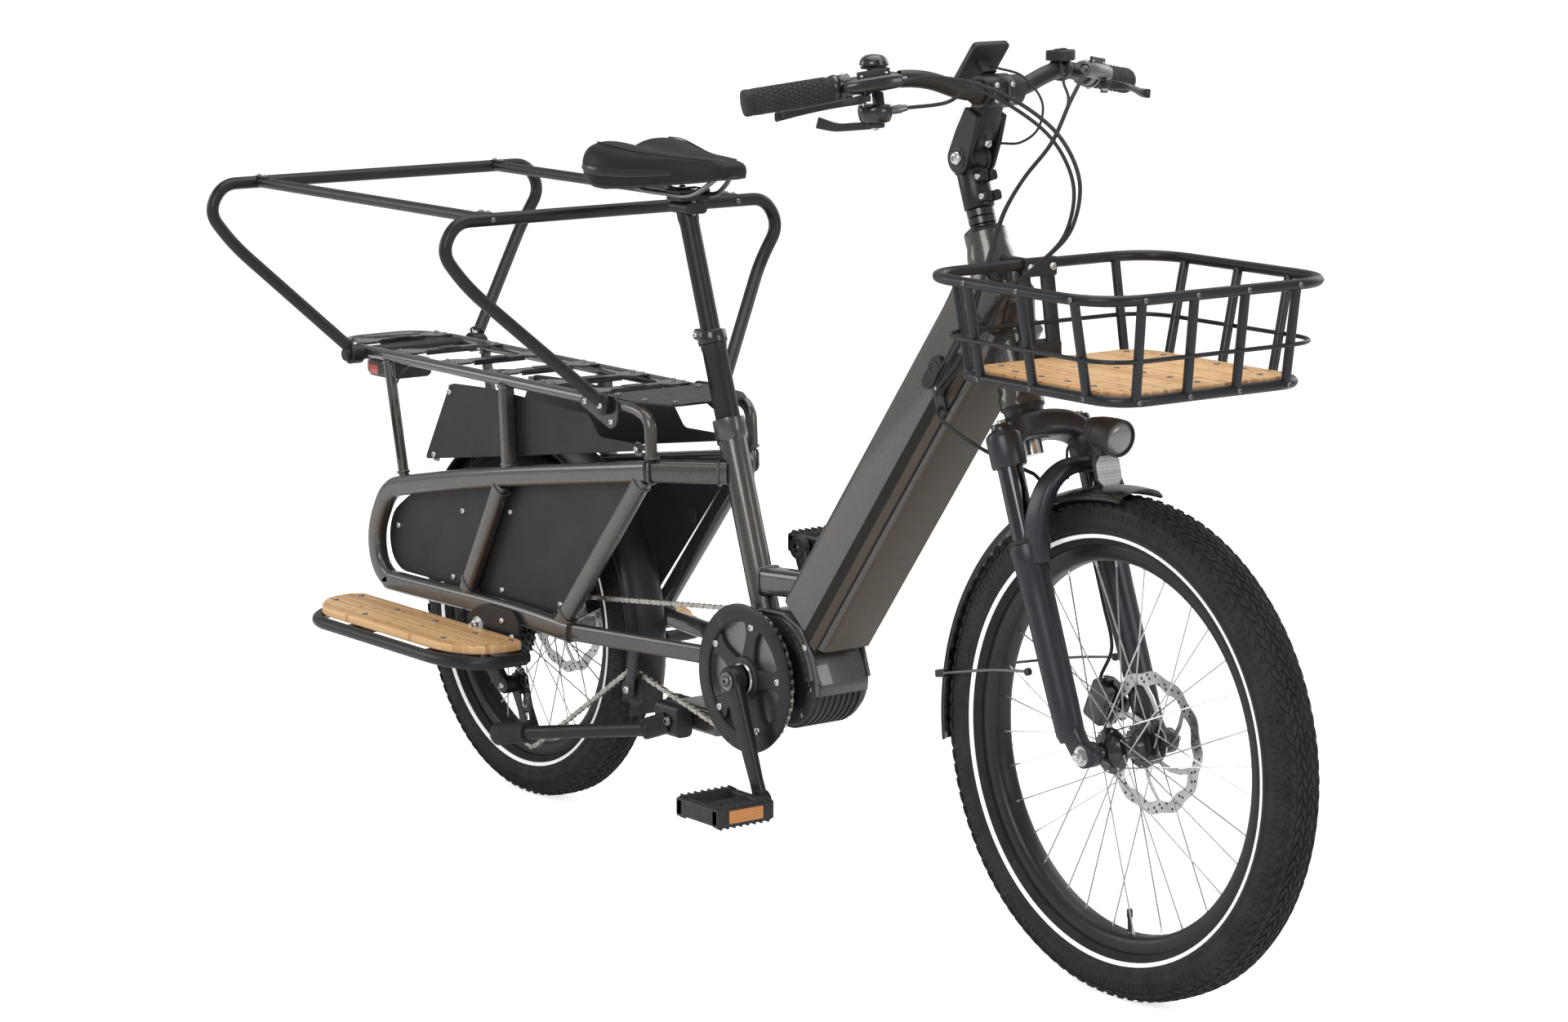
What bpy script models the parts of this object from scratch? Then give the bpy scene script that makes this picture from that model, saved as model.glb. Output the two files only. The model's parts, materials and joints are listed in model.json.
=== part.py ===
"""Longtail electric cargo bicycle with a front basket, a passenger railing and two foot boards.

Units are metres, +X is forwards, +Y is the rider's left and +Z is up.  All the places below are given
from the point on the ground under the rear axle.  The parent empty "bicycle" shifts them, so that the
origin is on the ground at the middle of the bicycle's length.
"""
import bpy
import bmesh
from math import asin, atan2, cos, hypot, pi, radians, sin
from mathutils import Matrix, Vector

# ---------------------------------------------------------------- driving dimensions
WHEELBASE = 1.2946
REAR_BEAD, FRONT_BEAD = 0.203, 0.2535      # bead seat radii of a 406 mm and a 507 mm rim
TYRE_HEIGHT = 0.0625
REAR_R, FRONT_R = REAR_BEAD + TYRE_HEIGHT, FRONT_BEAD + TYRE_HEIGHT
HEAD_TILT = radians(20.0)                  # steering axis, from the vertical
RAKE = 0.0565                              # front axle ahead of the steering axis
RAILING_BACK = -0.4273                     # x of the rear hoop's top tube
HOOP_R = 0.0092
GAP = 0.0003                               # clearance between pieces that touch
MIDDLE_X = ((WHEELBASE + FRONT_R) + (RAILING_BACK - HOOP_R)) / 2

REAR_AXLE = Vector((0, 0, REAR_R))
FRONT_AXLE = Vector((WHEELBASE, 0, FRONT_R))
STEER_UP = Vector((-sin(HEAD_TILT), 0, cos(HEAD_TILT)))
STEER_FORE = Vector((cos(HEAD_TILT), 0, sin(HEAD_TILT)))
STEER_FOOT = FRONT_AXLE - STEER_FORE * RAKE
HEAD_LOW, HEAD_TOP = 0.449, 0.674          # head tube, along the steering axis
LEG_Y, LEG_FORE = 0.065, 0.028             # fork legs beside and ahead of the steering axis

CRANK_AXLE = Vector((0.5905, 0, 0.286))
CHAIN_Y = -0.055
CHAINRING_R, CASSETTE_R, PULLEY_R, IDLER_R = 0.0935, 0.045, 0.020, 0.026
IDLER_AT = Vector((0.322, CHAIN_Y, 0.222))
GUIDE_AT = Vector((0.030, CHAIN_Y, 0.178))
TENSION_AT = Vector((0.062, CHAIN_Y, 0.108))
CRANK_LENGTH, CRANK_ANGLE = 0.170, radians(-63)
SEAT_LOW, SEAT_TOP = Vector((0.5695, 0, 0.330)), Vector((0.4690, 0, 0.622))
SEAT_UP = (SEAT_TOP - SEAT_LOW).normalized()
DOWN_DIR = Vector((-0.6018, 0, -0.7986))   # along the down tube, towards the cranks
DOWN_FORE = Vector((0.7986, 0, -0.6018))   # across the down tube, forwards
DOWN_START = Vector((0.9705, 0, 0.8307))   # on the down tube's upper face
SIDE_Y = 0.087                             # middle of the side frames and the rack's rails
RACK_Z = 0.632
STAND_PIVOT = Vector((0.420, 0, 0.195))
CROSS_TUBE = Vector((-0.328, 0, RACK_Z - 0.0028))

# ---------------------------------------------------------------- scene and helpers
for old in list(bpy.data.objects):
    bpy.data.objects.remove(old, do_unlink=True)
parts = bpy.data.collections.new("cargo_bicycle")
bpy.context.scene.collection.children.link(parts)
root = bpy.data.objects.new("bicycle", None)
root.location = (-MIDDLE_X, 0, 0)
parts.objects.link(root)

COLOURS = {
    "frame_paint": ((0.075, 0.070, 0.066), 0.30, 0.6), "black_metal": ((0.012, 0.013, 0.016), 0.40, 0.3),
    "black_plastic": ((0.014, 0.014, 0.015), 0.55, 0.0), "rubber": ((0.016, 0.016, 0.017), 0.80, 0.0),
    "bamboo": ((0.62, 0.37, 0.15), 0.50, 0.0), "steel": ((0.55, 0.55, 0.56), 0.28, 1.0),
    "red_lens": ((0.55, 0.02, 0.01), 0.20, 0.0), "clear_lens": ((0.75, 0.77, 0.80), 0.10, 0.0),
}


def material(name):
    """The Principled material of one finish, made when it is first asked for."""
    found = bpy.data.materials.get(name)
    if found:
        return found
    colour, roughness, metallic = COLOURS[name]
    made = bpy.data.materials.new(name)
    made.use_nodes = True
    shader = made.node_tree.nodes["Principled BSDF"]
    shader.inputs["Base Color"].default_value = (*colour, 1)
    shader.inputs["Roughness"].default_value = roughness
    shader.inputs["Metallic"].default_value = metallic
    return made


def as_object(mesh, name="piece"):
    thing = bpy.data.objects.new(name, mesh)
    parts.objects.link(thing)
    return thing


def from_bmesh(shape, name="piece"):
    bmesh.ops.recalc_face_normals(shape, faces=shape.faces)
    mesh = bpy.data.meshes.new(name)
    shape.to_mesh(mesh)
    shape.free()
    return as_object(mesh, name)


def along(direction, side=Vector((0, 1, 0))):
    """A rotation whose Z runs along a direction and whose Y lies as near as it can to side."""
    z = Vector(direction).normalized()
    if abs(z.dot(side)) > 0.99:
        side = Vector((0, 0, 1))
    x = side.cross(z).normalized()
    return Matrix((x, z.cross(x), z)).transposed().to_4x4()


def box(low, high):
    shape = bmesh.new()
    low, high = Vector(low), Vector(high)
    bmesh.ops.create_cube(shape, size=1)
    bmesh.ops.transform(shape, verts=shape.verts,
                        matrix=Matrix.Translation((low + high) / 2) @ Matrix.Diagonal((*(high - low), 1)))
    return from_bmesh(shape)


def beam(a, b, wide, tall, past=0.0):
    """A straight bar of rectangular section: wide runs sideways, tall across it."""
    a, b = Vector(a), Vector(b)
    run = (b - a).normalized()
    a, b = a - run * past, b + run * past
    shape = bmesh.new()
    bmesh.ops.create_cube(shape, size=1)
    bmesh.ops.transform(shape, verts=shape.verts,
                        matrix=Matrix.Translation((a + b) / 2) @ along(run)
                        @ Matrix.Diagonal((tall, wide, (b - a).length, 1)))
    return from_bmesh(shape)


def cylinder(a, b, r, sides=16, r_end=None):
    a, b = Vector(a), Vector(b)
    shape = bmesh.new()
    bmesh.ops.create_cone(shape, cap_ends=True, segments=sides, radius1=r,
                          radius2=r if r_end is None else r_end, depth=(b - a).length)
    bmesh.ops.transform(shape, verts=shape.verts,
                        matrix=Matrix.Translation((a + b) / 2) @ along(b - a))
    return from_bmesh(shape)


def sideways(at, low, high, r, sides=16):
    return cylinder((at.x, low, at.z), (at.x, high, at.z), r, sides)


def rod(points, r, sides=8, closed=False):
    """A round bar along points, from a bevelled curve with filled caps, as a welded mesh."""
    curve = bpy.data.curves.new("rod", "CURVE")
    curve.dimensions = "3D"
    curve.bevel_depth = r
    curve.bevel_resolution = sides // 2 - 2
    curve.use_fill_caps = True
    spline = curve.splines.new("POLY")
    spline.points.add(len(points) - 1)
    for spot, place in zip(spline.points, points):
        spot.co = (*place, 1)
    spline.use_cyclic_u = closed
    guide = as_object(curve, "guide")
    mesh = bpy.data.meshes.new_from_object(guide.evaluated_get(bpy.context.evaluated_depsgraph_get()))
    bpy.data.objects.remove(guide)
    bpy.data.curves.remove(curve)
    shape = bmesh.new()
    shape.from_mesh(mesh)
    bpy.data.meshes.remove(mesh)
    bmesh.ops.remove_doubles(shape, verts=shape.verts, dist=0.00001)
    return from_bmesh(shape)


def turned(profile, at, axis, steps=32):
    """A solid of revolution: profile holds (distance along the axis, radius), closed by itself."""
    shape = bmesh.new()
    ring = [shape.verts.new((radius, 0, place)) for place, radius in profile]
    edges = [shape.edges.new((ring[i - 1], ring[i])) for i in range(1, len(ring))]
    if profile[0][1] > 0:
        edges.append(shape.edges.new((ring[-1], ring[0])))
    bmesh.ops.spin(shape, geom=ring + edges, cent=(0, 0, 0), axis=(0, 0, 1), angle=2 * pi,
                   steps=steps, use_merge=True)
    bmesh.ops.remove_doubles(shape, verts=shape.verts, dist=0.00001)
    bmesh.ops.transform(shape, verts=shape.verts, matrix=Matrix.Translation(at) @ along(axis))
    return from_bmesh(shape)


def plate(outline, y, thick):
    """A flat sheet standing lengthways: outline holds (x, z), y is its middle."""
    shape = bmesh.new()
    face = shape.faces.new([shape.verts.new((x, y - thick / 2, z)) for x, z in outline])
    grown = bmesh.ops.extrude_face_region(shape, geom=[face])["geom"]
    bmesh.ops.translate(shape, vec=(0, thick, 0), verts=[g for g in grown if isinstance(g, bmesh.types.BMVert)])
    return from_bmesh(shape)


def deck(outline, z, thick):
    """A flat lying sheet: outline holds (x, y), z is its middle."""
    shape = bmesh.new()
    face = shape.faces.new([shape.verts.new((x, y, z - thick / 2)) for x, y in outline])
    grown = bmesh.ops.extrude_face_region(shape, geom=[face])["geom"]
    bmesh.ops.translate(shape, vec=(0, 0, thick), verts=[g for g in grown if isinstance(g, bmesh.types.BMVert)])
    return from_bmesh(shape)


def mirrored(thing):
    """The same piece on the other side of the bicycle."""
    shape = bmesh.new()
    shape.from_mesh(thing.data)
    bmesh.ops.transform(shape, verts=shape.verts, matrix=Matrix.Diagonal((1, -1, 1, 1)))
    return from_bmesh(shape)


def both(thing):
    return [thing, mirrored(thing)]


def combine(first, others, operation="UNION"):
    """Joins pieces into one solid, or cuts them from the first, and uses them up."""
    for other in others:
        change = first.modifiers.new("combine", "BOOLEAN")
        change.operation = operation
        change.solver = "EXACT"
        change.object = other
    mesh = bpy.data.meshes.new_from_object(first.evaluated_get(bpy.context.evaluated_depsgraph_get()))
    first.modifiers.clear()
    first.data = mesh
    for other in others:
        bpy.data.objects.remove(other)
    return first


def weld(*pieces):
    return combine(pieces[0], list(pieces[1:]))


def cut(thing, *cutters):
    return combine(thing, list(cutters), "DIFFERENCE")


def done(thing, name, finish, pivot=(0, 0, 0)):
    """Names a finished piece and puts its origin on its joint's axis."""
    for merge in (0.00005, 0.00002, 0.000008, 0.000003, 0.000001):
        shape = bmesh.new()
        shape.from_mesh(thing.data)
        bmesh.ops.remove_doubles(shape, verts=shape.verts, dist=merge)
        bmesh.ops.dissolve_degenerate(shape, dist=merge / 2, edges=shape.edges)
        if all(len(edge.link_faces) == 2 for edge in shape.edges) or merge < 0.000002:
            break
        shape.free()
    bmesh.ops.translate(shape, vec=-Vector(pivot), verts=shape.verts)
    shape.to_mesh(thing.data)
    shape.free()
    thing.name = thing.data.name = name
    thing.location = pivot
    thing.parent = root
    thing.data.materials.clear()
    thing.data.materials.append(material(finish))
    thing.data.shade_smooth()
    thing.data.set_sharp_from_angle(angle=radians(35))
    return thing


def steer(height, fore=0.0, y=0.0):
    """A point by its height along the steering axis, from the axle's level, and ahead of the axis."""
    return STEER_FOOT + STEER_UP * height + STEER_FORE * fore + Vector((0, y, 0))


def round_corners(corners, radius, steps=3):
    """A polygon's corners (or an open path's inner corners) turned into short arcs."""
    out = []
    for i, corner in enumerate(corners):
        here = Vector(corner)
        before = (Vector(corners[i - 1]) - here).normalized()
        after = (Vector(corners[(i + 1) % len(corners)]) - here).normalized()
        for k in range(steps + 1):
            t = k / steps
            a, b = here + before * radius, here + after * radius
            out.append(a * (1 - t) ** 2 + here * 2 * t * (1 - t) + b * t ** 2)
    return out


def bent(points, radius, steps=3):
    """An open path with rounded inner corners."""
    return [Vector(points[0])] + round_corners(points, radius, steps)[steps + 1:-steps - 1] + [Vector(points[-1])]


# ---------------------------------------------------------------- wheels
def tyre(name, axle, bead):
    """A balloon tyre with an open inside and a flattened crown that it stands on."""
    out = bead + TYRE_HEIGHT
    side = [(0.019, out), (0.028, out - 0.010), (0.031, out - 0.028), (0.0265, bead + 0.013), (0.017, bead + 0.002)]
    inner = [(0.013, bead + 0.004), (0.0262, bead + 0.030), (0.015, out - 0.007)]
    profile = [(-y, r) for y, r in reversed(side)] + side + inner + [(-y, r) for y, r in reversed(inner)]
    return done(turned(profile, axle, (0, 1, 0), 32), name, "rubber", axle)


def wheel(name, axle, bead, hub_half, rotor_y, spokes=12):
    """Rim, spokes, hub and brake disc of one wheel, built up as one turning piece."""
    rim = turned([(-0.0165, bead - 0.002), (-0.0150, bead - 0.018), (0.0150, bead - 0.018),
                  (0.0165, bead - 0.002), (0.013, bead - 0.002), (0.011, bead - 0.010),
                  (-0.011, bead - 0.010), (-0.013, bead - 0.002)], axle, (0, 1, 0), 32)
    flange = 0.032
    hub = turned([(-hub_half, 0.0), (-hub_half, 0.008), (-flange - 0.006, 0.010), (-flange - 0.003, 0.030),
                  (-flange, 0.030), (-flange + 0.004, 0.016), (flange - 0.004, 0.016), (flange, 0.030),
                  (flange + 0.003, 0.030), (flange + 0.006, 0.010), (hub_half, 0.008), (hub_half, 0.0)],
                 axle, (0, 1, 0), 12)
    disc = turned([(rotor_y - 0.001, 0.009), (rotor_y + 0.001, 0.009), (rotor_y + 0.001, 0.090),
                   (rotor_y - 0.001, 0.090)], axle, (0, 1, 0), 24)
    rays = []
    for k in range(spokes):
        turn = 2 * pi * (k + 1 / 6) / spokes
        out = Vector((cos(turn), 0, sin(turn)))
        y = (flange - 0.002) * (-1) ** k
        rays.append(cylinder(axle + out * 0.023 + Vector((0, y, 0)),
                             axle + out * (bead - 0.014) + Vector((0, y * 0.1, 0)), 0.0013, 4))
    return done(weld(rim, hub, disc, *rays), name, "steel", axle)


REAR_SPAN, FRONT_SPAN = 0.072, 0.048
tyre("rear_tyre", REAR_AXLE, REAR_BEAD)
tyre("front_tyre", FRONT_AXLE, FRONT_BEAD)
wheel("rear_wheel", REAR_AXLE, REAR_BEAD, REAR_SPAN, 0.052)
wheel("front_wheel", FRONT_AXLE, FRONT_BEAD, FRONT_SPAN, 0.0425)


# ---------------------------------------------------------------- main frame
def down_point(length, depth, y=0.0):
    """A point by its length down the down tube and its depth below the upper face."""
    return DOWN_START + DOWN_DIR * length + DOWN_FORE * depth + Vector((0, y, 0))


def main_frame():
    """Head tube, battery down tube, seat tube, link tube, motor cradle, seat collar and stand plates."""
    head = cylinder(steer(HEAD_LOW), steer(HEAD_TOP), 0.0265)
    flare = cylinder(steer(HEAD_TOP - 0.055), steer(HEAD_TOP - 0.015), 0.0300, 16, 0.0268)
    down = beam(down_point(-0.050, 0.052), down_point(0.535, 0.052), 0.090, 0.104)
    gusset = beam(down_point(-0.088, 0.043), down_point(-0.030, 0.043), 0.048, 0.070)
    seat = cylinder(SEAT_LOW, SEAT_TOP, 0.0195)
    collar = cylinder(SEAT_TOP - SEAT_UP * 0.020, SEAT_TOP, 0.0235)
    lug = box(SEAT_TOP + Vector((-0.040, -0.012, -0.018)), SEAT_TOP + Vector((-0.015, 0.012, -0.002)))
    link = beam((0.548, 0, 0.408), (0.665, 0, 0.418), 0.038, 0.036)
    cradle = [beam(a, b, 0.086, 0.010, 0.004) for a, b in
              [((0.552, 0, 0.352), (0.600, 0, 0.374)), ((0.600, 0, 0.374), (0.655, 0, 0.378)),
               ((0.655, 0, 0.378), (0.700, 0, 0.350)), ((0.700, 0, 0.350), (0.722, 0, 0.300))]]
    yoke = beam((0.500, 0, 0.298), (0.556, 0, 0.345), 0.060, 0.026)
    stand = [box((0.385, -0.032, 0.178), (0.480, 0.032, 0.214)),
             beam((0.440, 0, 0.200), (0.520, 0, 0.300), 0.040, 0.022)]
    frame = weld(down, head, flare, gusset, seat, collar, lug, link, *cradle, yoke, *stand)
    hollow = beam(down_point(0.030, 0.062), down_point(0.560, 0.062), 0.082, 0.112)
    bore = cylinder(steer(HEAD_LOW - 0.01), steer(HEAD_TOP + 0.01), 0.0228)
    seat_bore = cylinder(SEAT_TOP - SEAT_UP * 0.190, SEAT_TOP + SEAT_UP * 0.01, 0.0178)
    axle_bore = cylinder(STAND_PIVOT + Vector((0, -0.06, 0)), STAND_PIVOT + Vector((0, 0.06, 0)), 0.0065, 12)
    return done(cut(frame, hollow, bore, seat_bore, axle_bore), "main_frame", "frame_paint")


def battery():
    pack = beam(down_point(0.040, 0.058), down_point(0.440, 0.058), 0.080, 0.094)
    return done(pack, "battery", "frame_paint")


def charge_flap():
    at = down_point(0.068, 0.045, -0.0455 - GAP)
    cap = cylinder(at, at + Vector((0, -0.004, 0)), 0.016, 16)
    return done(cap, "charge_flap", "black_plastic", at + DOWN_DIR * 0.016)


def motor():
    """Mid-mounted drive unit: a gear case round the crank axle and the motor body ahead of it."""
    case = cylinder(CRANK_AXLE + Vector((0, -0.036, 0)), CRANK_AXLE + Vector((0, 0.040, 0)), 0.044, 20)
    body = cylinder((0.645, -0.036, 0.292), (0.645, 0.066, 0.292), 0.068, 24)
    shell = weld(case, body)
    bore = cylinder(CRANK_AXLE + Vector((0, -0.09, 0)), CRANK_AXLE + Vector((0, 0.09, 0)), 0.0125, 16)
    clear = beam((0.500, 0, 0.298), (0.556, 0, 0.345), 0.0612, 0.0272, 0.0006)
    return done(cut(shell, bore, clear), "motor", "black_plastic")


main_frame()
battery()
charge_flap()
motor()


# ---------------------------------------------------------------- side frames and rack
MID_RAIL = [(-0.235, 0.438), (0.049, 0.4915), (0.404, 0.548)]
LOWER_LOOP = [(-0.235, 0.438), (-0.284, 0.404), (-0.3045, 0.352), (-0.295, 0.308), (-0.264, 0.288),
              (0.0465, 0.2935), (0.214, 0.289)]
STRUTS = [((0.038, 0.482), (-0.060, 0.300)), ((0.394, 0.540), (0.184, 0.290))]


def side_frame():
    """The right side's long frame: mid rail, rounded tail, lower rail, two struts, stay and axle plate."""
    def at(spot):
        return (spot[0], -SIDE_Y, spot[1])
    bars = [beam(at(a), at(b), 0.022, 0.034, 0.010) for a, b in zip(MID_RAIL, MID_RAIL[1:])]
    bars += [beam(at(a), at(b), 0.022, 0.028, 0.008) for a, b in zip(LOWER_LOOP, LOWER_LOOP[1:])]
    bars += [beam(at(a), at(b), 0.020, 0.027) for a, b in STRUTS]
    bars.append(beam((0.400, -SIDE_Y + 0.002, 0.548), (0.492, -0.012, 0.551), 0.020, 0.032))
    bars.append(beam((0.208, -SIDE_Y + 0.001, 0.289), (0.515, -0.036, 0.297), 0.014, 0.026))
    bars.append(box((-0.024, -SIDE_Y - 0.007, 0.244), (0.026, -SIDE_Y + 0.009, 0.290)))
    frame = weld(*bars)
    seat = cylinder(SEAT_LOW, SEAT_TOP, 0.0195 + 2 * GAP)
    yoke = beam((0.500, 0, 0.298), (0.556, 0, 0.345), 0.060 + 4 * GAP, 0.026 + 4 * GAP, 2 * GAP)
    middle = box((0.3, -0.0006, 0.2), (0.7, 0.1, 0.7))
    return cut(frame, seat, yoke, middle)


def idler_arm():
    """The bracket that holds the chain idler under the right stay."""
    post = beam((IDLER_AT.x + 0.004, -0.0655, IDLER_AT.z), (IDLER_AT.x + 0.014, -0.0660, 0.2860), 0.005, 0.020)
    pin = sideways(IDLER_AT, -0.0680, CHAIN_Y + 0.0050, 0.0040, 12)
    boss = sideways(IDLER_AT, -0.0680, -0.0630, 0.0140)
    return [boss, post, pin]


right_frame, left_frame = both(side_frame())
done(weld(right_frame, *idler_arm()), "side_frame_right", "frame_paint")
done(left_frame, "side_frame_left", "frame_paint")


def rack():
    """The rack: a U-shaped rail, its uprights, cross plates, the front deck plate and the cross tube."""
    front = [(0.408, 0.567), (0.404, 0.612), (0.372, RACK_Z)]
    ring = [Vector((x, -SIDE_Y, z)) for x, z in front]
    ring += [Vector((-0.375, -SIDE_Y, RACK_Z)), Vector((-0.425, -0.045, RACK_Z))]
    path = ring + [Vector((p.x, -p.y, p.z)) for p in reversed(ring)]
    bars = [rod(path, 0.0085)]
    for side in (-1, 1):
        y = side * SIDE_Y
        bars.append(cylinder((-0.268, y, RACK_Z), (-0.2265, y, 0.4605), 0.008, 8))
        bars.append(beam((0.049, y, RACK_Z), (0.0575, y, 0.5125), 0.018, 0.022))
    for x in (-0.372, -0.235, -0.105, 0.020, 0.145, 0.245):
        bars.append(box((x - 0.022, -SIDE_Y + 0.001, RACK_Z - 0.0021), (x + 0.022, SIDE_Y - 0.001, RACK_Z + 0.0012)))
    bars.append(deck([(0.296, -0.088), (0.385, -0.088), (0.428, -0.062), (0.428, 0.062), (0.385, 0.088), (0.296, 0.088)],
                     0.6380, 0.005))
    bars.append(sideways(CROSS_TUBE, -0.127, 0.127, 0.0100, 14))
    return done(weld(*bars), "rack", "black_metal")


rack()


def hoop(top_x, bulge, foot_x, foot_y):
    """A bent railing hoop: flat top bar, rounded shoulders that stand wide, and legs going forward."""
    foot = Vector((foot_x, -foot_y, RACK_Z))
    right = [foot, Vector((top_x + 0.006, -bulge + 0.026, 0.795)), Vector((top_x, -bulge - 0.007, 0.842)),
             Vector((top_x, -bulge + 0.010, 0.884)), Vector((top_x, -0.215, 0.887)), Vector((top_x, 0, 0.887))]
    bend = bent(right, 0.017, 2)
    path = bend[:-1] + [Vector((p.x, -p.y, p.z)) for p in reversed(bend[:-1])]
    return rod(path, HOOP_R, 8)


def rear_hoop():
    """The rear hoop, whose feet are sleeves on the rack's cross tube."""
    bars = [hoop(RAILING_BACK, 0.286, CROSS_TUBE.x, 0.109)]
    bars += [sideways(CROSS_TUBE, side * 0.0985, side * 0.1195, 0.0150)
             for side in (-1, 1)]
    bore = sideways(CROSS_TUBE, -0.14, 0.14, 0.0100 + 2 * GAP, 14)
    return done(cut(weld(*bars), bore), "rear_hoop", "black_metal")


def front_hoop():
    """The front hoop, whose feet are bolted against the outside of the rack's rails."""
    bars = [hoop(FRONT_HOOP_X, 0.280, FRONT_FOOT.x, FRONT_FOOT.y)]
    for side in (-1, 1):
        bars.append(sideways(FRONT_FOOT, side * 0.0962, side * 0.1080, 0.0150))
    return done(weld(*bars), "front_hoop", "black_metal")


FRONT_HOOP_X = 0.1993
FRONT_FOOT = Vector((0.316, 0.1020, RACK_Z))
rear_hoop()
front_hoop()
for side, word in ((-1, "right"), (1, "left")):
    rail = cylinder((RAILING_BACK + HOOP_R + GAP, side * 0.212, 0.887),
                    (FRONT_HOOP_X - HOOP_R - GAP, side * 0.212, 0.887), 0.0080, 10)
    done(rail, "railing_bar_" + word, "black_metal")


def side_panel():
    """The right side's dark sheets, held behind the rails and joined behind the mid rail."""
    upper = plate([(-0.180, 0.478), (-0.188, 0.492), (-0.115, 0.605), (-0.010, 0.612), (0.240, 0.606),
                   (0.268, 0.575), (0.388, 0.580), (0.388, 0.572), (0.049, 0.518)], -SIDE_Y + 0.0136, 0.002)
    lower = plate([(-0.222, 0.430), (-0.282, 0.392), (-0.292, 0.352), (-0.282, 0.318), (-0.255, 0.303),
                   (0.180, 0.305), (0.375, 0.527), (0.049, 0.480)], -SIDE_Y + 0.0136, 0.002)
    joiner = plate([(0.060, 0.470), (0.110, 0.478), (0.110, 0.540), (0.060, 0.530)], -SIDE_Y + 0.0136, 0.002)
    return weld(upper, lower, joiner)


for thing, side in zip(both(side_panel()), ("right", "left")):
    done(thing, "side_panel_" + side, "black_plastic")


def mudguard(name, axle, radius, half, start, end, extra=(), pivot=(0, 0, 0), steps=14):
    """A curved guard over a tyre: an arc of shallow channel section."""
    shape = bmesh.new()
    section = [(-half, -0.010), (-half * 0.75, 0.0), (half * 0.75, 0.0), (half, -0.010),
               (half - 0.0025, -0.0105), (half * 0.70, -0.003), (-half * 0.70, -0.003), (-half + 0.0025, -0.0105)]
    rows = []
    for k in range(steps + 1):
        turn = radians(start + (end - start) * k / steps)
        out = Vector((cos(turn), 0, sin(turn)))
        rows.append([shape.verts.new(axle + out * (radius + rise) + Vector((0, y, 0))) for y, rise in section])
    for low, high in zip(rows, rows[1:]):
        for i in range(len(section)):
            shape.faces.new((low[i - 1], low[i], high[i], high[i - 1]))
    shape.faces.new(rows[0])
    shape.faces.new(rows[-1])
    return done(weld(from_bmesh(shape), *extra), name, "black_plastic", pivot)


mudguard("rear_mudguard", REAR_AXLE, 0.286, 0.034, -16, 165)


def tail_light():
    body = box((-0.412, -0.040, 0.580), (-0.342, 0.040, 0.612))
    stem = box((-0.352, -0.008, 0.600), (-0.334, 0.008, 0.6215))
    return done(weld(body, stem), "tail_light", "red_lens")


tail_light()

# ---------------------------------------------------------------- foot boards
BOARD_OUTLINE = [(-0.299, -0.113), (0.118, -0.113), (0.140, -0.122), (0.131, -0.192), (0.076, -0.220),
                 (-0.256, -0.222), (-0.310, -0.170), (-0.314, -0.130)]
BOARD_Z, BOARD_THICK = 0.2595, 0.012


def foot_frame():
    """The right foot board's carrier: a bent tube under the board's edge and a bracket at the axle."""
    edge = [(-0.308, -0.126), (-0.308, -0.168), (-0.250, -0.226), (0.080, -0.226), (0.138, -0.193), (0.148, -0.126)]
    pipe = rod([Vector((x, y, 0.2435)) for x, y in edge], 0.0090, 8)
    bars = [box((-0.312, -0.138, 0.237), (0.150, -0.116, 0.2515)),
            box((-0.030, -0.1190, 0.2400), (0.105, -0.1160, 0.2515)),
            box((-0.030, -0.1125, 0.2400), (0.105, -0.0995, 0.300)),
            box((-0.030, -0.1180, 0.2400), (0.105, -0.1000, 0.2520)),
            box((0.0300, -0.226, 0.2385), (0.060, -0.130, 0.2515)),
            box((-0.180, -0.226, 0.2385), (-0.150, -0.130, 0.2515))]
    return weld(pipe, *bars)


for thing, side in zip(both(foot_frame()), ("right", "left")):
    done(thing, "foot_frame_" + side, "black_metal")
board = deck([Vector((x, y)) for x, y in BOARD_OUTLINE], BOARD_Z, BOARD_THICK)
for thing, side in zip(both(board), ("right", "left")):
    done(thing, "foot_board_" + side, "bamboo")


# ---------------------------------------------------------------- drive
def wrap(wheels, band, steps=7):
    """The centre line of a belt round circles of (middle, radius, turn): turn is 1 for anticlockwise."""
    spots = []
    for i, (here, r1, s1) in enumerate(wheels):
        there, r2, s2 = wheels[(i + 1) % len(wheels)]
        a, b = r1 + band, r2 + band
        gap = Vector((there.x - here.x, there.z - here.z))
        lean = atan2(gap.y, gap.x) + asin((-s1 * a + s2 * b) / gap.length) * -1
        normal = Vector((sin(lean), -cos(lean)))
        spots.append((Vector((here.x, here.z)) + normal * s1 * a, Vector((there.x, there.z)) + normal * s2 * b))
    path = []
    for i, (here, r1, s1) in enumerate(wheels):
        start, end = spots[i - 1][1], spots[i][0]
        middle = Vector((here.x, here.z))
        first = atan2(*(start - middle).yx)
        turn = (atan2(*(end - middle).yx) - first) * s1 % (2 * pi)
        count = max(1, round(steps * turn / pi))
        for k in range(count + 1):
            angle = first + s1 * turn * k / count
            path.append(middle + Vector((cos(angle), sin(angle))) * (r1 + band) / cos(turn / count / 2))
    return path


CHAIN_HALF = 0.0042
CHAIN_WHEELS = [(CRANK_AXLE, CHAINRING_R + GAP, 1), (REAR_AXLE, CASSETTE_R + GAP, 1),
                (GUIDE_AT, PULLEY_R + GAP, -1), (TENSION_AT, PULLEY_R + GAP, 1), (IDLER_AT, IDLER_R + GAP, -1)]


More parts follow.
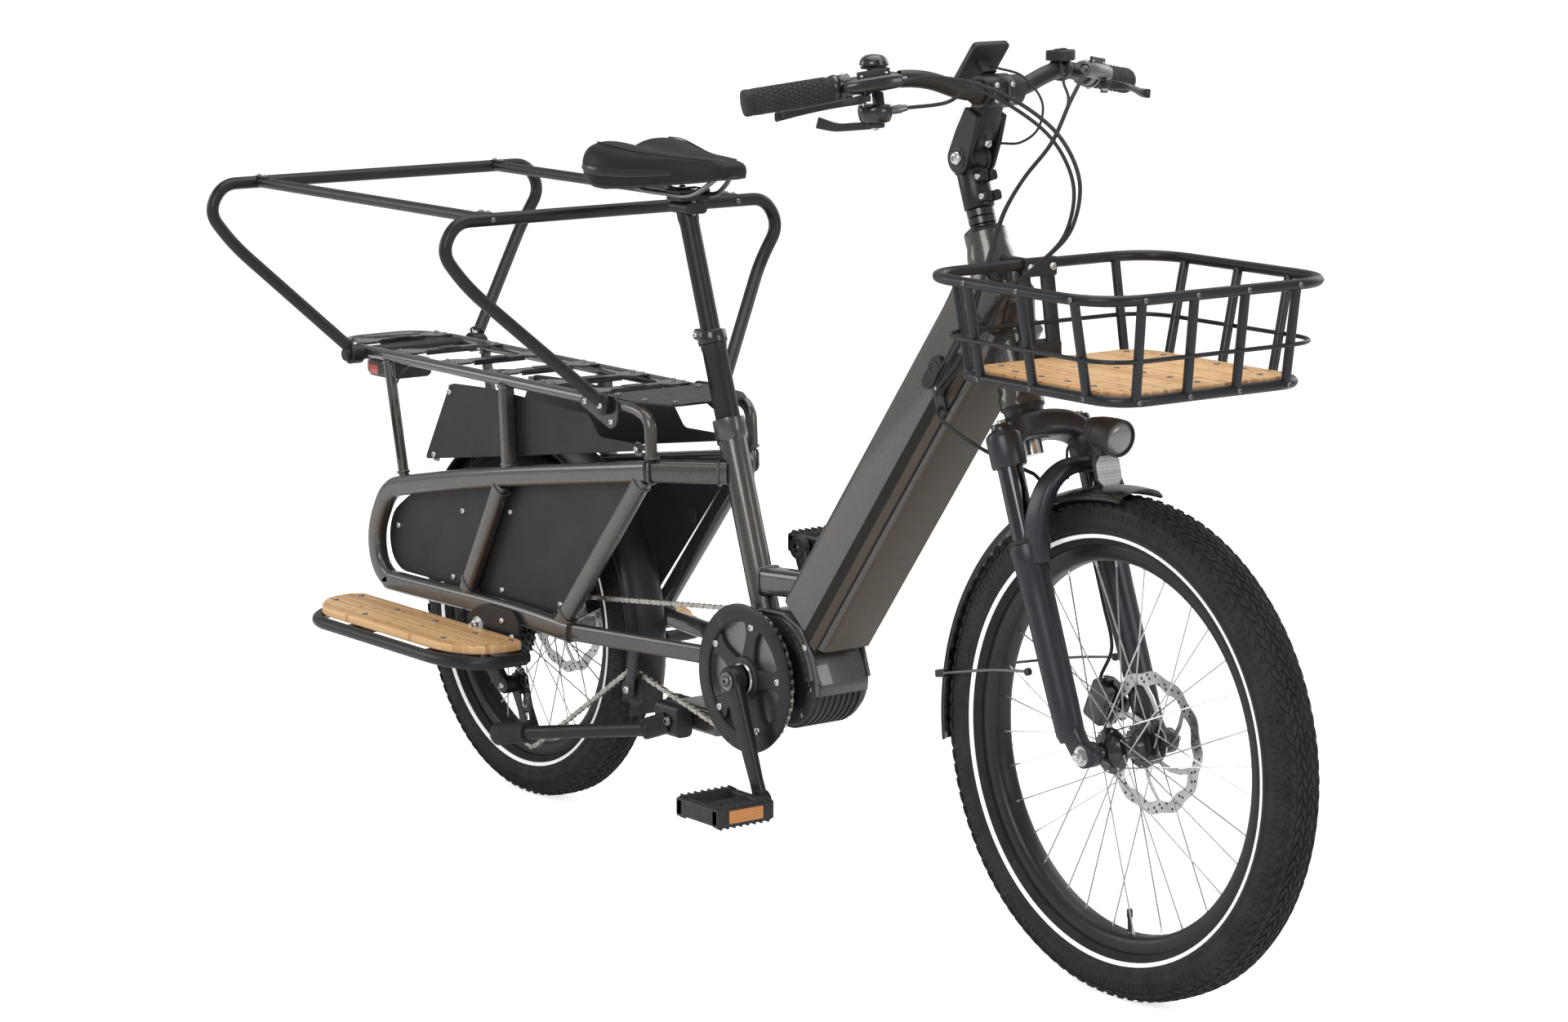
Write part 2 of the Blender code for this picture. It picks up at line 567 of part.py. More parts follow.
def chain():
    """The whole chain as one closed band round its wheels."""
    path = wrap(CHAIN_WHEELS, CHAIN_HALF)
    shape = bmesh.new()
    rows = []
    for i, spot in enumerate(path):
        a = (spot - path[i - 1]).normalized()
        b = (path[(i + 1) % len(path)] - spot).normalized()
        out = Vector((a.y + b.y, -a.x - b.x)).normalized()
        rows.append([shape.verts.new((spot.x + out.x * d, CHAIN_Y + y, spot.y + out.y * d))
                     for d, y in ((-CHAIN_HALF, -0.003), (CHAIN_HALF, -0.003),
                                  (CHAIN_HALF, 0.003), (-CHAIN_HALF, 0.003))])
    for i, row in enumerate(rows):
        last = rows[i - 1]
        for k in range(4):
            shape.faces.new((last[k - 1], last[k], row[k], row[k - 1]))
    return done(from_bmesh(shape), "chain", "steel")


def chainring():
    """The toothed ring and its outer guard, on five arms that run in to the spindle."""
    at = Vector((CRANK_AXLE.x, CHAIN_Y, CRANK_AXLE.z))
    ring = turned([(-0.0105, 0.078), (0.003, 0.078), (0.003, CHAINRING_R), (-0.0036, CHAINRING_R),
                   (-0.0062, 0.103), (-0.0105, 0.103)], at, (0, 1, 0), 28)
    rays = [turned([(-0.011, 0.015), (0.0015, 0.015), (0.0015, 0.030), (-0.011, 0.030)], at, (0, 1, 0), 16)]
    for k in range(5):
        out = Vector((cos(2 * pi * k / 5 + 0.1), 0, sin(2 * pi * k / 5 + 0.1)))
        middle = at + Vector((0, -0.0042, 0))
        rays.append(beam(middle + out * 0.026, middle + out * 0.082, 0.0066, 0.018))
    return done(weld(ring, *rays), "chainring", "black_metal", CRANK_AXLE)


def crankset():
    """Both crank arms on the spindle that passes through the motor."""
    swing = Vector((cos(CRANK_ANGLE), 0, sin(CRANK_ANGLE))) * CRANK_LENGTH
    pieces = [cylinder(CRANK_AXLE + Vector((0, -0.094, 0)), CRANK_AXLE + Vector((0, 0.094, 0)), 0.0120)]
    for side, reach in ((-1, swing), (1, -swing)):
        inner, outer = side * 0.084, side * 0.092
        a, b = CRANK_AXLE + Vector((0, inner, 0)), CRANK_AXLE + reach + Vector((0, outer, 0))
        pieces.append(sideways(CRANK_AXLE, side * 0.0725, side * 0.0945, 0.0185))
        pieces.append(beam(a, b, 0.013, 0.027))
        pieces.append(sideways(CRANK_AXLE + reach, side * 0.0845, side * 0.0985, 0.0150))
    arms = weld(*pieces)
    bores = [sideways(CRANK_AXLE + reach, side * 0.080, side * 0.102, 0.0062, 12)
             for side, reach in ((-1, swing), (1, -swing))]
    return done(cut(arms, *bores), "crankset", "black_metal", CRANK_AXLE)


def pedal(side):
    """A flat platform pedal with its own axle in the crank's end."""
    reach = Vector((cos(CRANK_ANGLE), 0, sin(CRANK_ANGLE))) * CRANK_LENGTH * -side
    at = CRANK_AXLE + reach
    axle = sideways(at, side * 0.088, side * 0.120, 0.0055, 12)
    body = box((at.x - 0.047, min(side * 0.106, side * 0.200), at.z - 0.013),
               (at.x + 0.047, max(side * 0.106, side * 0.200), at.z + 0.013))
    windows = [box((at.x + x - 0.014, min(side * 0.120, side * 0.186), at.z - 0.03),
                   (at.x + x + 0.014, max(side * 0.120, side * 0.186), at.z + 0.03)) for x in (-0.024, 0.024)]
    return done(weld(cut(body, *windows), axle), "pedal_" + ("right" if side < 0 else "left"),
                "black_plastic", at)


def pulley(name, at, r):
    wheel_body = turned([(-0.003, 0.0045), (0.003, 0.0045), (0.003, r), (-0.003, r)], at, (0, 1, 0), 18)
    return done(wheel_body, name, "black_plastic", at)


def cassette():
    steps = [(-0.0725, 0.0115), (-0.0725, 0.026), (-0.0690, 0.026), (-0.0650, 0.034), (-0.0600, 0.034),
             (-0.0600, CASSETTE_R), (-0.0500, CASSETTE_R), (-0.0500, 0.058), (-0.0440, 0.062), (-0.0440, 0.0115)]
    return done(turned(steps, REAR_AXLE, (0, 1, 0), 20), "cassette", "steel", REAR_AXLE)


def derailleur():
    """The gear changer's fixed arm, from the axle plate down to the cage pivot."""
    hanger = box((-0.018, -0.0935, 0.205), (0.014, -0.0815, 0.2435))
    arm = beam((0.0, -0.0875, 0.212), (0.022, -0.0785, 0.176), 0.012, 0.030)
    nose = sideways(GUIDE_AT, -0.0850, -0.0662, 0.0130)
    return done(weld(hanger, arm, nose), "derailleur", "black_metal")


def cage():
    """Two thin side plates that carry the two pulleys, joined by their axles."""
    pieces = []
    for y in (CHAIN_Y - 0.0085, CHAIN_Y + 0.0085):
        pieces.append(beam((GUIDE_AT.x, y, GUIDE_AT.z), (TENSION_AT.x, y, TENSION_AT.z), 0.0025, 0.022, 0.010))
    for at in (GUIDE_AT, TENSION_AT):
        pieces.append(sideways(at, CHAIN_Y - 0.0095, CHAIN_Y + 0.0095, 0.0040, 12))
    return done(weld(*pieces), "derailleur_cage", "black_metal", GUIDE_AT)


chain()
chainring()
crankset()
pedal(-1)
pedal(1)
pulley("guide_pulley", GUIDE_AT, PULLEY_R)
pulley("tension_pulley", TENSION_AT, PULLEY_R)
pulley("chain_idler", IDLER_AT, IDLER_R)
cassette()
derailleur()
cage()


def kickstand():
    """The double-legged stand, folded up under the foot boards."""
    pieces = [cylinder(STAND_PIVOT + Vector((0, -0.062, 0)), STAND_PIVOT + Vector((0, 0.062, 0)), 0.0060, 12)]
    for side in (-1, 1):
        knee = STAND_PIVOT + Vector((-0.020, side * 0.075, -0.014))
        foot = Vector((0.145, side * 0.152, 0.137))
        pieces.append(box(STAND_PIVOT + Vector((-0.034, side * 0.052 - 0.014, -0.024)),
                          STAND_PIVOT + Vector((0.018, side * 0.052 + 0.014, 0.018))))
        pieces.append(beam(STAND_PIVOT + Vector((-0.010, side * 0.060, -0.006)), knee, 0.024, 0.030, 0.006))
        pieces.append(cylinder(knee, foot, 0.0095, 10))
        run = (foot - knee).normalized()
        pieces.append(cylinder(foot - run * 0.035, foot + run * 0.022, 0.0150, 12, 0.0170))
    return done(weld(*pieces), "kickstand", "black_metal", STAND_PIVOT)


kickstand()


def caliper(name, axle, y, turn, r=0.086, pivot=(0, 0, 0), room=()):
    """A disc brake caliper: a block with a slot for the disc."""
    out = Vector((cos(turn), 0, sin(turn)))
    at = axle + out * r
    block = beam(at - out * 0.020 + Vector((0, y, 0)), at + out * 0.022 + Vector((0, y, 0)), 0.034, 0.052)
    slot = beam(at - out * 0.060 + Vector((0, y, 0)), at + out * 0.008 + Vector((0, y, 0)), 0.005, 0.080)
    return done(cut(block, slot, *room), name, "black_metal", pivot)


caliper("rear_caliper", REAR_AXLE, 0.052, radians(25))


# ---------------------------------------------------------------- seat
POST_TOP = Vector((0.3745, 0, 0.8965))
SLEEVE_TOP = SEAT_TOP + SEAT_UP * 0.124


def seat_pieces():
    """Telescopic sleeve with its collar, the seat post with its clamp, and the saddle."""
    sleeve = cylinder(SEAT_TOP - SEAT_UP * 0.150, SLEEVE_TOP, 0.0173)
    collar = cylinder(SLEEVE_TOP - SEAT_UP * 0.018, SLEEVE_TOP, 0.0205)
    lug = box(SLEEVE_TOP + Vector((-0.034, -0.011, -0.014)), SLEEVE_TOP + Vector((-0.013, 0.011, 0.000)))
    bore = cylinder(SEAT_TOP - SEAT_UP * 0.160, SLEEVE_TOP + SEAT_UP * 0.01, 0.0141)
    slit = beam(SLEEVE_TOP - SEAT_UP * 0.060 + Vector((-0.02, 0, 0)), SLEEVE_TOP + SEAT_UP * 0.01
                + Vector((-0.02, 0, 0)), 0.002, 0.030)
    done(cut(weld(sleeve, collar, lug), bore, slit), "seat_sleeve", "black_metal", SEAT_TOP)
    post = cylinder(SLEEVE_TOP - SEAT_UP * 0.150, POST_TOP, 0.0137)
    yoke = beam(POST_TOP + Vector((-0.022, 0, 0.008)), POST_TOP + Vector((0.022, 0, 0.012)), 0.036, 0.024)
    done(weld(post, yoke), "seat_post", "black_metal", SLEEVE_TOP)


def saddle():
    """A comfort saddle: wide rear lobes, a narrow nose, with its two steel rails underneath."""
    stations = [(0.222, 0.062, 0.945, 0.980), (0.239, 0.084, 0.931, 0.990), (0.282, 0.092, 0.928, 0.989),
                (0.337, 0.076, 0.932, 0.983), (0.397, 0.044, 0.942, 0.980), (0.460, 0.028, 0.950, 0.979),
                (0.490, 0.020, 0.956, 0.974)]
    shape = bmesh.new()
    rings = []
    for x, half, low, high in stations:
        middle = (low + high) / 2
        outline = [(-half, middle), (-half * 0.8, high - 0.005), (-half * 0.3, high), (half * 0.3, high),
                   (half * 0.8, high - 0.005), (half, middle), (half * 0.75, low + 0.002), (-half * 0.75, low + 0.002)]
        rings.append([shape.verts.new((x, y, z)) for y, z in outline])
    for a, b in zip(rings, rings[1:]):
        for i in range(8):
            shape.faces.new((a[i - 1], a[i], b[i], b[i - 1]))
    shape.faces.new(rings[0])
    shape.faces.new(rings[-1])
    rails = [rod([Vector((0.262, side * 0.030, 0.942)), Vector((0.305, side * 0.023, 0.9245)),
                  Vector((0.405, side * 0.022, 0.9250)), Vector((0.460, side * 0.010, 0.958))], 0.0035, 6)
             for side in (-1, 1)]
    body = weld(from_bmesh(shape), *rails)
    return done(body, "saddle", "black_plastic", POST_TOP)


seat_pieces()
saddle()

# ---------------------------------------------------------------- fork and front wheel guard
LEG_TOP, LEG_SPLIT = 0.412, 0.272


def fork_crown():
    """Steerer with its bearing rings, the crown and the two stanchions."""
    steerer = cylinder(steer(0.385), steer(HEAD_TOP), 0.0143, 12)
    races = [cylinder(steer(HEAD_LOW + GAP), steer(HEAD_LOW + 0.012), 0.0222),
             cylinder(steer(HEAD_TOP - 0.012), steer(HEAD_TOP - GAP), 0.0222)]
    boss = cylinder(steer(0.388), steer(HEAD_LOW - GAP), 0.0265)
    bridge = beam(steer(0.403, 0.013, -0.058), steer(0.403, 0.013, 0.058), 0.034, 0.045)
    pieces = [steerer, *races, boss, bridge]
    for side in (-1, 1):
        pieces.append(cylinder(steer(LEG_SPLIT - 0.075, LEG_FORE, side * LEG_Y),
                               steer(LEG_TOP - 0.010, LEG_FORE, side * LEG_Y), 0.0162, 14))
        pieces.append(cylinder(steer(0.372, LEG_FORE, side * LEG_Y), steer(LEG_TOP, LEG_FORE, side * LEG_Y),
                               0.0225, 16))
        pieces.append(cylinder(steer(LEG_TOP - 0.004, LEG_FORE, side * LEG_Y),
                               steer(LEG_TOP + 0.012, LEG_FORE, side * LEG_Y), 0.0130, 12))
    return done(weld(*pieces), "fork_crown", "black_metal", steer(HEAD_LOW))


def fork_lowers():
    """Both lower legs, the arch that joins them, the axle and the axle's clamps."""
    pieces = []
    for side in (-1, 1):
        top, low = steer(LEG_SPLIT, LEG_FORE, side * LEG_Y), steer(0.020, LEG_FORE + 0.006, side * LEG_Y)
        drop = FRONT_AXLE + Vector((0, side * 0.0625, 0))
        pieces += [cylinder(low, top, 0.0195, 16, 0.0215),
                   beam(low + Vector((-0.006, 0, 0.012)), drop, 0.022, 0.036, 0.006),
                   sideways(FRONT_AXLE, side * 0.0535, side * 0.0750, 0.0150)]
    arch = [steer(LEG_SPLIT - 0.022, LEG_FORE + 0.012, -LEG_Y), steer(LEG_SPLIT + 0.050, LEG_FORE + 0.040, -0.0605),
            steer(LEG_SPLIT + 0.080, LEG_FORE + 0.055, -0.030)]
    path = arch + [Vector((p.x, -p.y, p.z)) for p in reversed(arch)]
    pieces += [beam(a, b, 0.018, 0.024, 0.006) for a, b in zip(path, path[1:])]
    legs = weld(*pieces)
    bores = [cylinder(steer(0.150, LEG_FORE, side * LEG_Y), steer(LEG_SPLIT + 0.08, LEG_FORE, side * LEG_Y),
                      0.0166) for side in (-1, 1)]
    return done(cut(legs, *bores), "fork_lowers", "black_metal", FRONT_AXLE)


LAMP_FOOT = steer(LEG_SPLIT + 0.080, LEG_FORE + 0.055) + Vector((0.0125, 0, 0.0115))


def headlight():
    """Round lamp on a bracket from the fork arch."""
    at = Vector((1.2560, 0, 0.7080))
    nose = Vector((cos(radians(-6)), 0, sin(radians(-6))))
    shell = turned([(-0.028, 0.0), (-0.028, 0.016), (0.018, 0.0238), (0.026, 0.0238), (0.026, 0.0)], at, nose, 20)
    foot = beam(at + Vector((-0.012, 0, -0.012)), LAMP_FOOT, 0.012, 0.008)
    return done(weld(shell, foot), "headlight", "black_plastic", at)


leg_room = cylinder(steer(0.010, LEG_FORE + 0.006, LEG_Y), steer(LEG_SPLIT, LEG_FORE, LEG_Y), 0.0200, 16, 0.0220)
fork_crown()
fork_lowers()
headlight()
mudguard("front_mudguard", FRONT_AXLE, 0.3275, 0.036, 83, 188, pivot=FRONT_AXLE)
caliper("front_caliper", FRONT_AXLE, 0.0425, radians(157), 0.092, pivot=FRONT_AXLE, room=[leg_room])

# ---------------------------------------------------------------- stem and handlebar
STEM_PIVOT = Vector((0.984, 0, 1.024))
BAR_MIDDLE = Vector((1.021, 0, 1.110))
BAR_R, BAR_FAT = 0.0111, 0.0159
BAR_KNEE, BAR_END = 0.130, 0.309
BAR_KNEE_X, BAR_KNEE_Z = 1.0025, 1.131
SWEEP, DROP = 0.445, 0.154                 # how far the outer bar runs back and down, for each metre out
BAR_FORE = Vector((1, -SWEEP, 0)).normalized()


def bar_at(y, fore=0.0, rise=0.0):
    """A point on or near the handlebar's straight outer length, by its distance y to one side."""
    reach = abs(y) - BAR_KNEE
    ahead = Vector((BAR_FORE.x, BAR_FORE.y * (1 if y < 0 else -1), 0))
    return Vector((BAR_KNEE_X - SWEEP * reach, y, BAR_KNEE_Z - DROP * reach + rise)) + ahead * fore


def bar_piece(side, low, high, r, bore=BAR_R + GAP, sides=16):
    """A ring on the handlebar, between two distances from the middle."""
    ring = cylinder(bar_at(side * low), bar_at(side * high), r, sides)
    return cut(ring, cylinder(bar_at(side * (low - 0.02)), bar_at(side * (high + 0.02)), bore, sides))


def stem_base():
    """Spacers and the lower half of the stem, clamped on the steerer."""
    spacers = [cylinder(steer(HEAD_TOP + GAP + 0.0105 * k), steer(HEAD_TOP + 0.0005 + 0.0105 * (k + 1)),
                        0.0178 - 0.0006 * (k % 2)) for k in range(3)]
    post = cylinder(steer(HEAD_TOP + 0.030), steer(HEAD_TOP + 0.082), 0.0195)
    neck = beam(steer(HEAD_TOP + 0.070), STEM_PIVOT - Vector((0, 0, 0.012)), 0.034, 0.034)
    lugs = [sideways(STEM_PIVOT, side * 0.0175, side * 0.0105, 0.0185) for side in (-1, 1)]
    base = weld(post, *spacers, neck)
    room = sideways(STEM_PIVOT, -0.03, 0.03, 0.0195)
    return done(weld(cut(base, room), *[beam(steer(HEAD_TOP + 0.075, 0, s * 0.014), STEM_PIVOT
                                             + Vector((0, s * 0.014, 0)), 0.006, 0.024) for s in (-1, 1)],
                     *lugs), "stem_base", "black_metal", steer(HEAD_TOP))


def stem_arm():
    """The upper half of the stem: a hub between the base's cheeks and a clamp round the handlebar."""
    hub = sideways(STEM_PIVOT, -0.0100, 0.0100, 0.0175)
    lift = (BAR_MIDDLE - STEM_PIVOT).normalized()
    arm = [beam(STEM_PIVOT, STEM_PIVOT + lift * 0.030, 0.0198, 0.028),
           beam(STEM_PIVOT + lift * 0.024, BAR_MIDDLE, 0.036, 0.030),
           sideways(BAR_MIDDLE, -0.0230, 0.0230, 0.0215)]
    solid = weld(hub, *arm)
    return done(cut(solid, sideways(BAR_MIDDLE, -0.04, 0.04, BAR_FAT + GAP)), "stem_arm", "black_metal",
                STEM_PIVOT)


def handlebar():
    half = [BAR_MIDDLE, BAR_MIDDLE + Vector((0, -0.040, 0)), bar_at(-0.118, 0.002, 0.0), bar_at(-0.150),
            bar_at(-BAR_END)]
    right = bent(half, 0.014, 2)
    path = [Vector((p.x, -p.y, p.z)) for p in reversed(right[1:])] + right[1:]
    bar = weld(rod(path, BAR_R, 10), sideways(BAR_MIDDLE, -0.036, 0.036, BAR_FAT))
    return done(bar, "handlebar", "black_metal", BAR_MIDDLE)


def grip(side):
    sleeve = cylinder(bar_at(side * 0.209), bar_at(side * 0.315), 0.0165, 16)
    bore = cylinder(bar_at(side * 0.190), bar_at(side * 0.3105), BAR_R + 2 * GAP, 16)
    return done(cut(sleeve, bore), "grip_" + ("right" if side < 0 else "left"), "rubber", bar_at(side * 0.209))


def lever_pivot(side):
    return bar_at(side * 0.183, 0.036, -0.0135)


def lever_mount(side):
    """Brake master cylinder and its clamp; the right one carries the gear shifter's case as well."""
    ring = bar_piece(side, 0.192, 0.206, 0.0160)
    tank = beam(bar_at(side * 0.146, 0.031, 0.002), bar_at(side * 0.200, 0.031, 0.002), 0.018, 0.018)
    neck = beam(bar_at(side * 0.199, 0.0135), bar_at(side * 0.199, 0.032), 0.012, 0.012)
    at = lever_pivot(side)
    pin = [cylinder(at + Vector((0, 0, -0.0075)), at + Vector((0, 0, 0.012)), 0.0026, 8),
           cylinder(at + Vector((0, 0, -0.0085)), at + Vector((0, 0, -0.0060)), 0.0050, 10)]
    body = [ring, tank, neck, *pin]
    if side < 0:
        body += [cylinder(bar_at(-0.164, 0.010, -0.026), bar_at(-0.164, 0.010, -0.048), 0.022, 20, 0.019),
                 beam(bar_at(-0.158, 0.028, 0.000), bar_at(-0.160, 0.014, -0.032), 0.010, 0.010)]
    return done(weld(*body), "brake_mount_" + ("right" if side < 0 else "left"), "black_metal",
                bar_at(side * 0.199))


def brake_lever(side):
    """A short two-finger lever that swings towards the grip."""
    at = lever_pivot(side)
    blade = [at, bar_at(side * 0.214, 0.050, -0.0135), bar_at(side * 0.282, 0.043, -0.017)]
    pieces = [cylinder(at + Vector((0, 0, -0.0035)), at + Vector((0, 0, 0.0035)), 0.0080, 14)]
    pieces += [beam(a, b, 0.0068, 0.0072, 0.002) for a, b in zip(blade, blade[1:])]
    bore = cylinder(at + Vector((0, 0, -0.012)), at + Vector((0, 0, 0.012)), 0.0032, 10)
    return done(cut(weld(*pieces), bore), "brake_lever_" + ("right" if side < 0 else "left"), "black_metal", at)


def shifter_lever():
    at = bar_at(-0.164, 0.010, -0.0515)
    hub = cylinder(at + Vector((0, 0, -0.0025)), at + Vector((0, 0, 0.0030)), 0.0120, 14)
    blade = [at, bar_at(-0.200, -0.016, -0.051), bar_at(-0.218, -0.030, -0.040)]
    return done(weld(hub, *[beam(a, b, 0.009, 0.004, 0.002) for a, b in zip(blade, blade[1:])]),
                "shifter_lever", "black_plastic", at)


def bell():
    ring = bar_piece(-1, 0.1595, 0.1675, 0.0150)
    post = cylinder(bar_at(-0.1635, 0, 0.013), bar_at(-0.1635, 0, 0.022), 0.005, 8)
    dome = turned([(0.018, 0.0), (0.018, 0.0165), (0.024, 0.0180), (0.030, 0.0160), (0.0345, 0.0085),
                   (0.0355, 0.0)], bar_at(-0.1635), (0, 0, 1), 12)
    return done(weld(ring, post, dome), "bell", "black_metal", bar_at(-0.1635))


def display():
    """The flat bike computer, tilted to the rider, on a bracket over the stem."""
    tilt = Vector((0.62, 0, 0.78)).normalized()
    middle = BAR_MIDDLE + Vector((-0.022, 0, 0.034))
    panel = beam(middle - tilt * 0.034, middle + tilt * 0.034, 0.058, 0.008)
    arm = beam(middle, BAR_MIDDLE + Vector((-0.006, 0, 0.0260)), 0.020, 0.008)
    return done(weld(panel, arm), "display", "black_plastic", middle)


stem_base()
stem_arm()
handlebar()
for hand in (-1, 1):
    grip(hand)
    lever_mount(hand)
    brake_lever(hand)
shifter_lever()
bell()
display()


# ---------------------------------------------------------------- basket
RIM_LOW_X, RIM_HIGH_X, RIM_Y, RIM_Z = 1.110, 1.450, 0.193, 0.901
FLOOR_LOW_X, FLOOR_HIGH_X, FLOOR_Y, FLOOR_Z = 1.1360, 1.4381, 0.1530, 0.7787
BASKET_R, RIM_R = 0.0060, 0.0068


def rectangle(low_x, high_x, y, z, corner):
    corners = [(low_x, -y, z), (high_x, -y, z), (high_x, y, z), (low_x, y, z)]
    return round_corners(corners, corner, 3)


def basket():
    """Tube basket: rim, floor frame, middle wire and uprights, on two straps from the head tube."""
    bars = [rod(rectangle(RIM_LOW_X, RIM_HIGH_X, RIM_Y, RIM_Z, 0.075), RIM_R, 6, True),
            rod(rectangle(FLOOR_LOW_X, FLOOR_HIGH_X, FLOOR_Y, FLOOR_Z, 0.050), RIM_R, 6, True)]
    middle = 0.45
    mix_x = [FLOOR_LOW_X + (RIM_LOW_X - FLOOR_LOW_X) * middle - 0.004,
             FLOOR_HIGH_X + (RIM_HIGH_X - FLOOR_HIGH_X) * middle + 0.004]
    mix_y = FLOOR_Y + (RIM_Y - FLOOR_Y) * middle + 0.004
    bars.append(rod(rectangle(*mix_x, mix_y, 0.828, 0.062), 0.0028, 4, True))
    for side, spots in ((-1, (1.2095, 1.3065, 1.4035)), (1, (1.1780, 1.2750, 1.3650))):
        for x in spots:
            bars.append(cylinder((x + 0.005, side * FLOOR_Y, FLOOR_Z), (x - 0.003, side * RIM_Y, RIM_Z), BASKET_R, 6))
    for y in (-0.127, -0.046, 0.034, 0.116):
        bars.append(cylinder((FLOOR_HIGH_X, y, FLOOR_Z), (RIM_HIGH_X, y, RIM_Z), BASKET_R, 6))
    for y in (-0.128, 0.128):
        bars.append(cylinder((FLOOR_LOW_X, y, FLOOR_Z), (RIM_LOW_X, y, RIM_Z), BASKET_R, 6))
    for y in (-0.020, 0.020):
        bars.append(beam((FLOOR_LOW_X - 0.002, y, FLOOR_Z), (RIM_LOW_X - 0.001, y, RIM_Z), 0.022, 0.005))
    for x in (1.200, 1.362):
        bars.append(box((x - 0.010, -FLOOR_Y, FLOOR_Z - 0.004), (x + 0.010, FLOOR_Y, FLOOR_Z - 0.001)))
    for height in (0.520, 0.630):
        start = steer(height, 0.026)
        bars.append(cylinder(start, Vector((RIM_LOW_X + 0.008, 0, start.z + 0.006)), 0.0085, 10))
        strap_x = FLOOR_LOW_X + (RIM_LOW_X - FLOOR_LOW_X) * (start.z - FLOOR_Z) / (RIM_Z - FLOOR_Z)
        bars.append(box((1.1090, -0.026, start.z - 0.004), (max(1.1200, strap_x), 0.026, start.z + 0.016)))
    frame = weld(*bars)
    room = cylinder(steer(HEAD_LOW - 0.02), steer(HEAD_TOP - 0.03), 0.0265 + 2 * GAP)
    flare = cylinder(steer(HEAD_TOP - 0.0556), steer(HEAD_TOP - 0.010), 0.0307, 16, 0.0277)
    return done(cut(frame, room, flare), "basket", "black_metal")


basket()
floor_line = rectangle(FLOOR_LOW_X + 0.009, FLOOR_HIGH_X - 0.009, FLOOR_Y - 0.009, 0, 0.044)
floor = deck([(p.x, p.y) for p in floor_line], FLOOR_Z + 0.0045, 0.0090)
done(floor, "basket_floor", "bamboo")


# ---------------------------------------------------------------- cables that cross the steering
def smooth_path(points, steps=2):
    """A smooth curve through hand-picked points."""
    out = []
    spots = [Vector(p) for p in points]
    ends = [spots[0] * 2 - spots[1], *spots, spots[-1] * 2 - spots[-2]]
    for a, b, c, d in zip(ends, ends[1:], ends[2:], ends[3:]):
        for k in range(steps):
            t = k / steps
            out.append((b * 2 + (c - a) * t + (a * 2 - b * 5 + c * 4 - d) * t ** 2
                        + (b * 3 - a - c * 3 + d) * t ** 3) / 2)
    return out + [spots[-1]]


RIGHT_CABLE = [(1.030, -0.1535, 1.1295), (1.047, -0.115, 1.134), (1.076, -0.066, 1.124), (1.122, -0.034, 1.100),
               (1.178, -0.022, 1.064), (1.212, -0.020, 1.012), (1.209, -0.030, 0.955), (1.176, -0.045, 0.915),
               (1.126, -0.056, 0.875), (1.084, -0.060, 0.825), (1.048, -0.064, 0.775), (1.012, -0.062, 0.742),
               (0.990, -0.0505, 0.725)]
LEFT_CABLE = [(1.030, 0.1535, 1.1275), (1.062, 0.115, 1.124), (1.094, 0.066, 1.098), (1.102, 0.030, 1.050),
              (1.078, 0.006, 1.005), (1.064, -0.012, 0.965), (1.062, -0.028, 0.925), (1.066, -0.048, 0.885),
              (1.062, -0.062, 0.835), (1.036, -0.066, 0.790), (1.005, -0.062, 0.756), (0.981, -0.0505, 0.735)]
done(rod(smooth_path(RIGHT_CABLE), 0.0026, 6), "cables_right", "rubber")
done(rod(smooth_path(LEFT_CABLE), 0.0026, 6), "cables_left", "rubber")
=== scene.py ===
import json
from math import asin, atan2, cos, pi, radians, sin
import bmesh
import bpy
from mathutils import Matrix, Vector


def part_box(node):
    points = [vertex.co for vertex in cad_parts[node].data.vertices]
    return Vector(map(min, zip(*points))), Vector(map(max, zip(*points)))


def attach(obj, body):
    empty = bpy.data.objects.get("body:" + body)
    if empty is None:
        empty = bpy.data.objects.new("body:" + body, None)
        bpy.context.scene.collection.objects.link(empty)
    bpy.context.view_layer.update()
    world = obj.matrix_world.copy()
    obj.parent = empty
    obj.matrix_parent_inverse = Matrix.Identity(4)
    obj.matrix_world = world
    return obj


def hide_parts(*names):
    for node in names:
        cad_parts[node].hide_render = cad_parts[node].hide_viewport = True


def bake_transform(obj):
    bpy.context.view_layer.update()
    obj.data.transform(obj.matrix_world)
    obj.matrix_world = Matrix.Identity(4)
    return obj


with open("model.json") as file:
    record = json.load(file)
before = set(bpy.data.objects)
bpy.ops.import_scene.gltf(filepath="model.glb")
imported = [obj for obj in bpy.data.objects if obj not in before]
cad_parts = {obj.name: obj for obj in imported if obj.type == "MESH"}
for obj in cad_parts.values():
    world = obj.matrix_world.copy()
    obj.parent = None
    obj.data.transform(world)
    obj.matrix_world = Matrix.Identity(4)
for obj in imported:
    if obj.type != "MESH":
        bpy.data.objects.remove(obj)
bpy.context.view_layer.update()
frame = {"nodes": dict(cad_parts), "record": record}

# Places below are in metres from the ground under the rear axle, +X forwards, +Y left, +Z up.
low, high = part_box("rear_tyre")
SHIFT = Vector(((low[0] + high[0]) / 2, 0, 0))

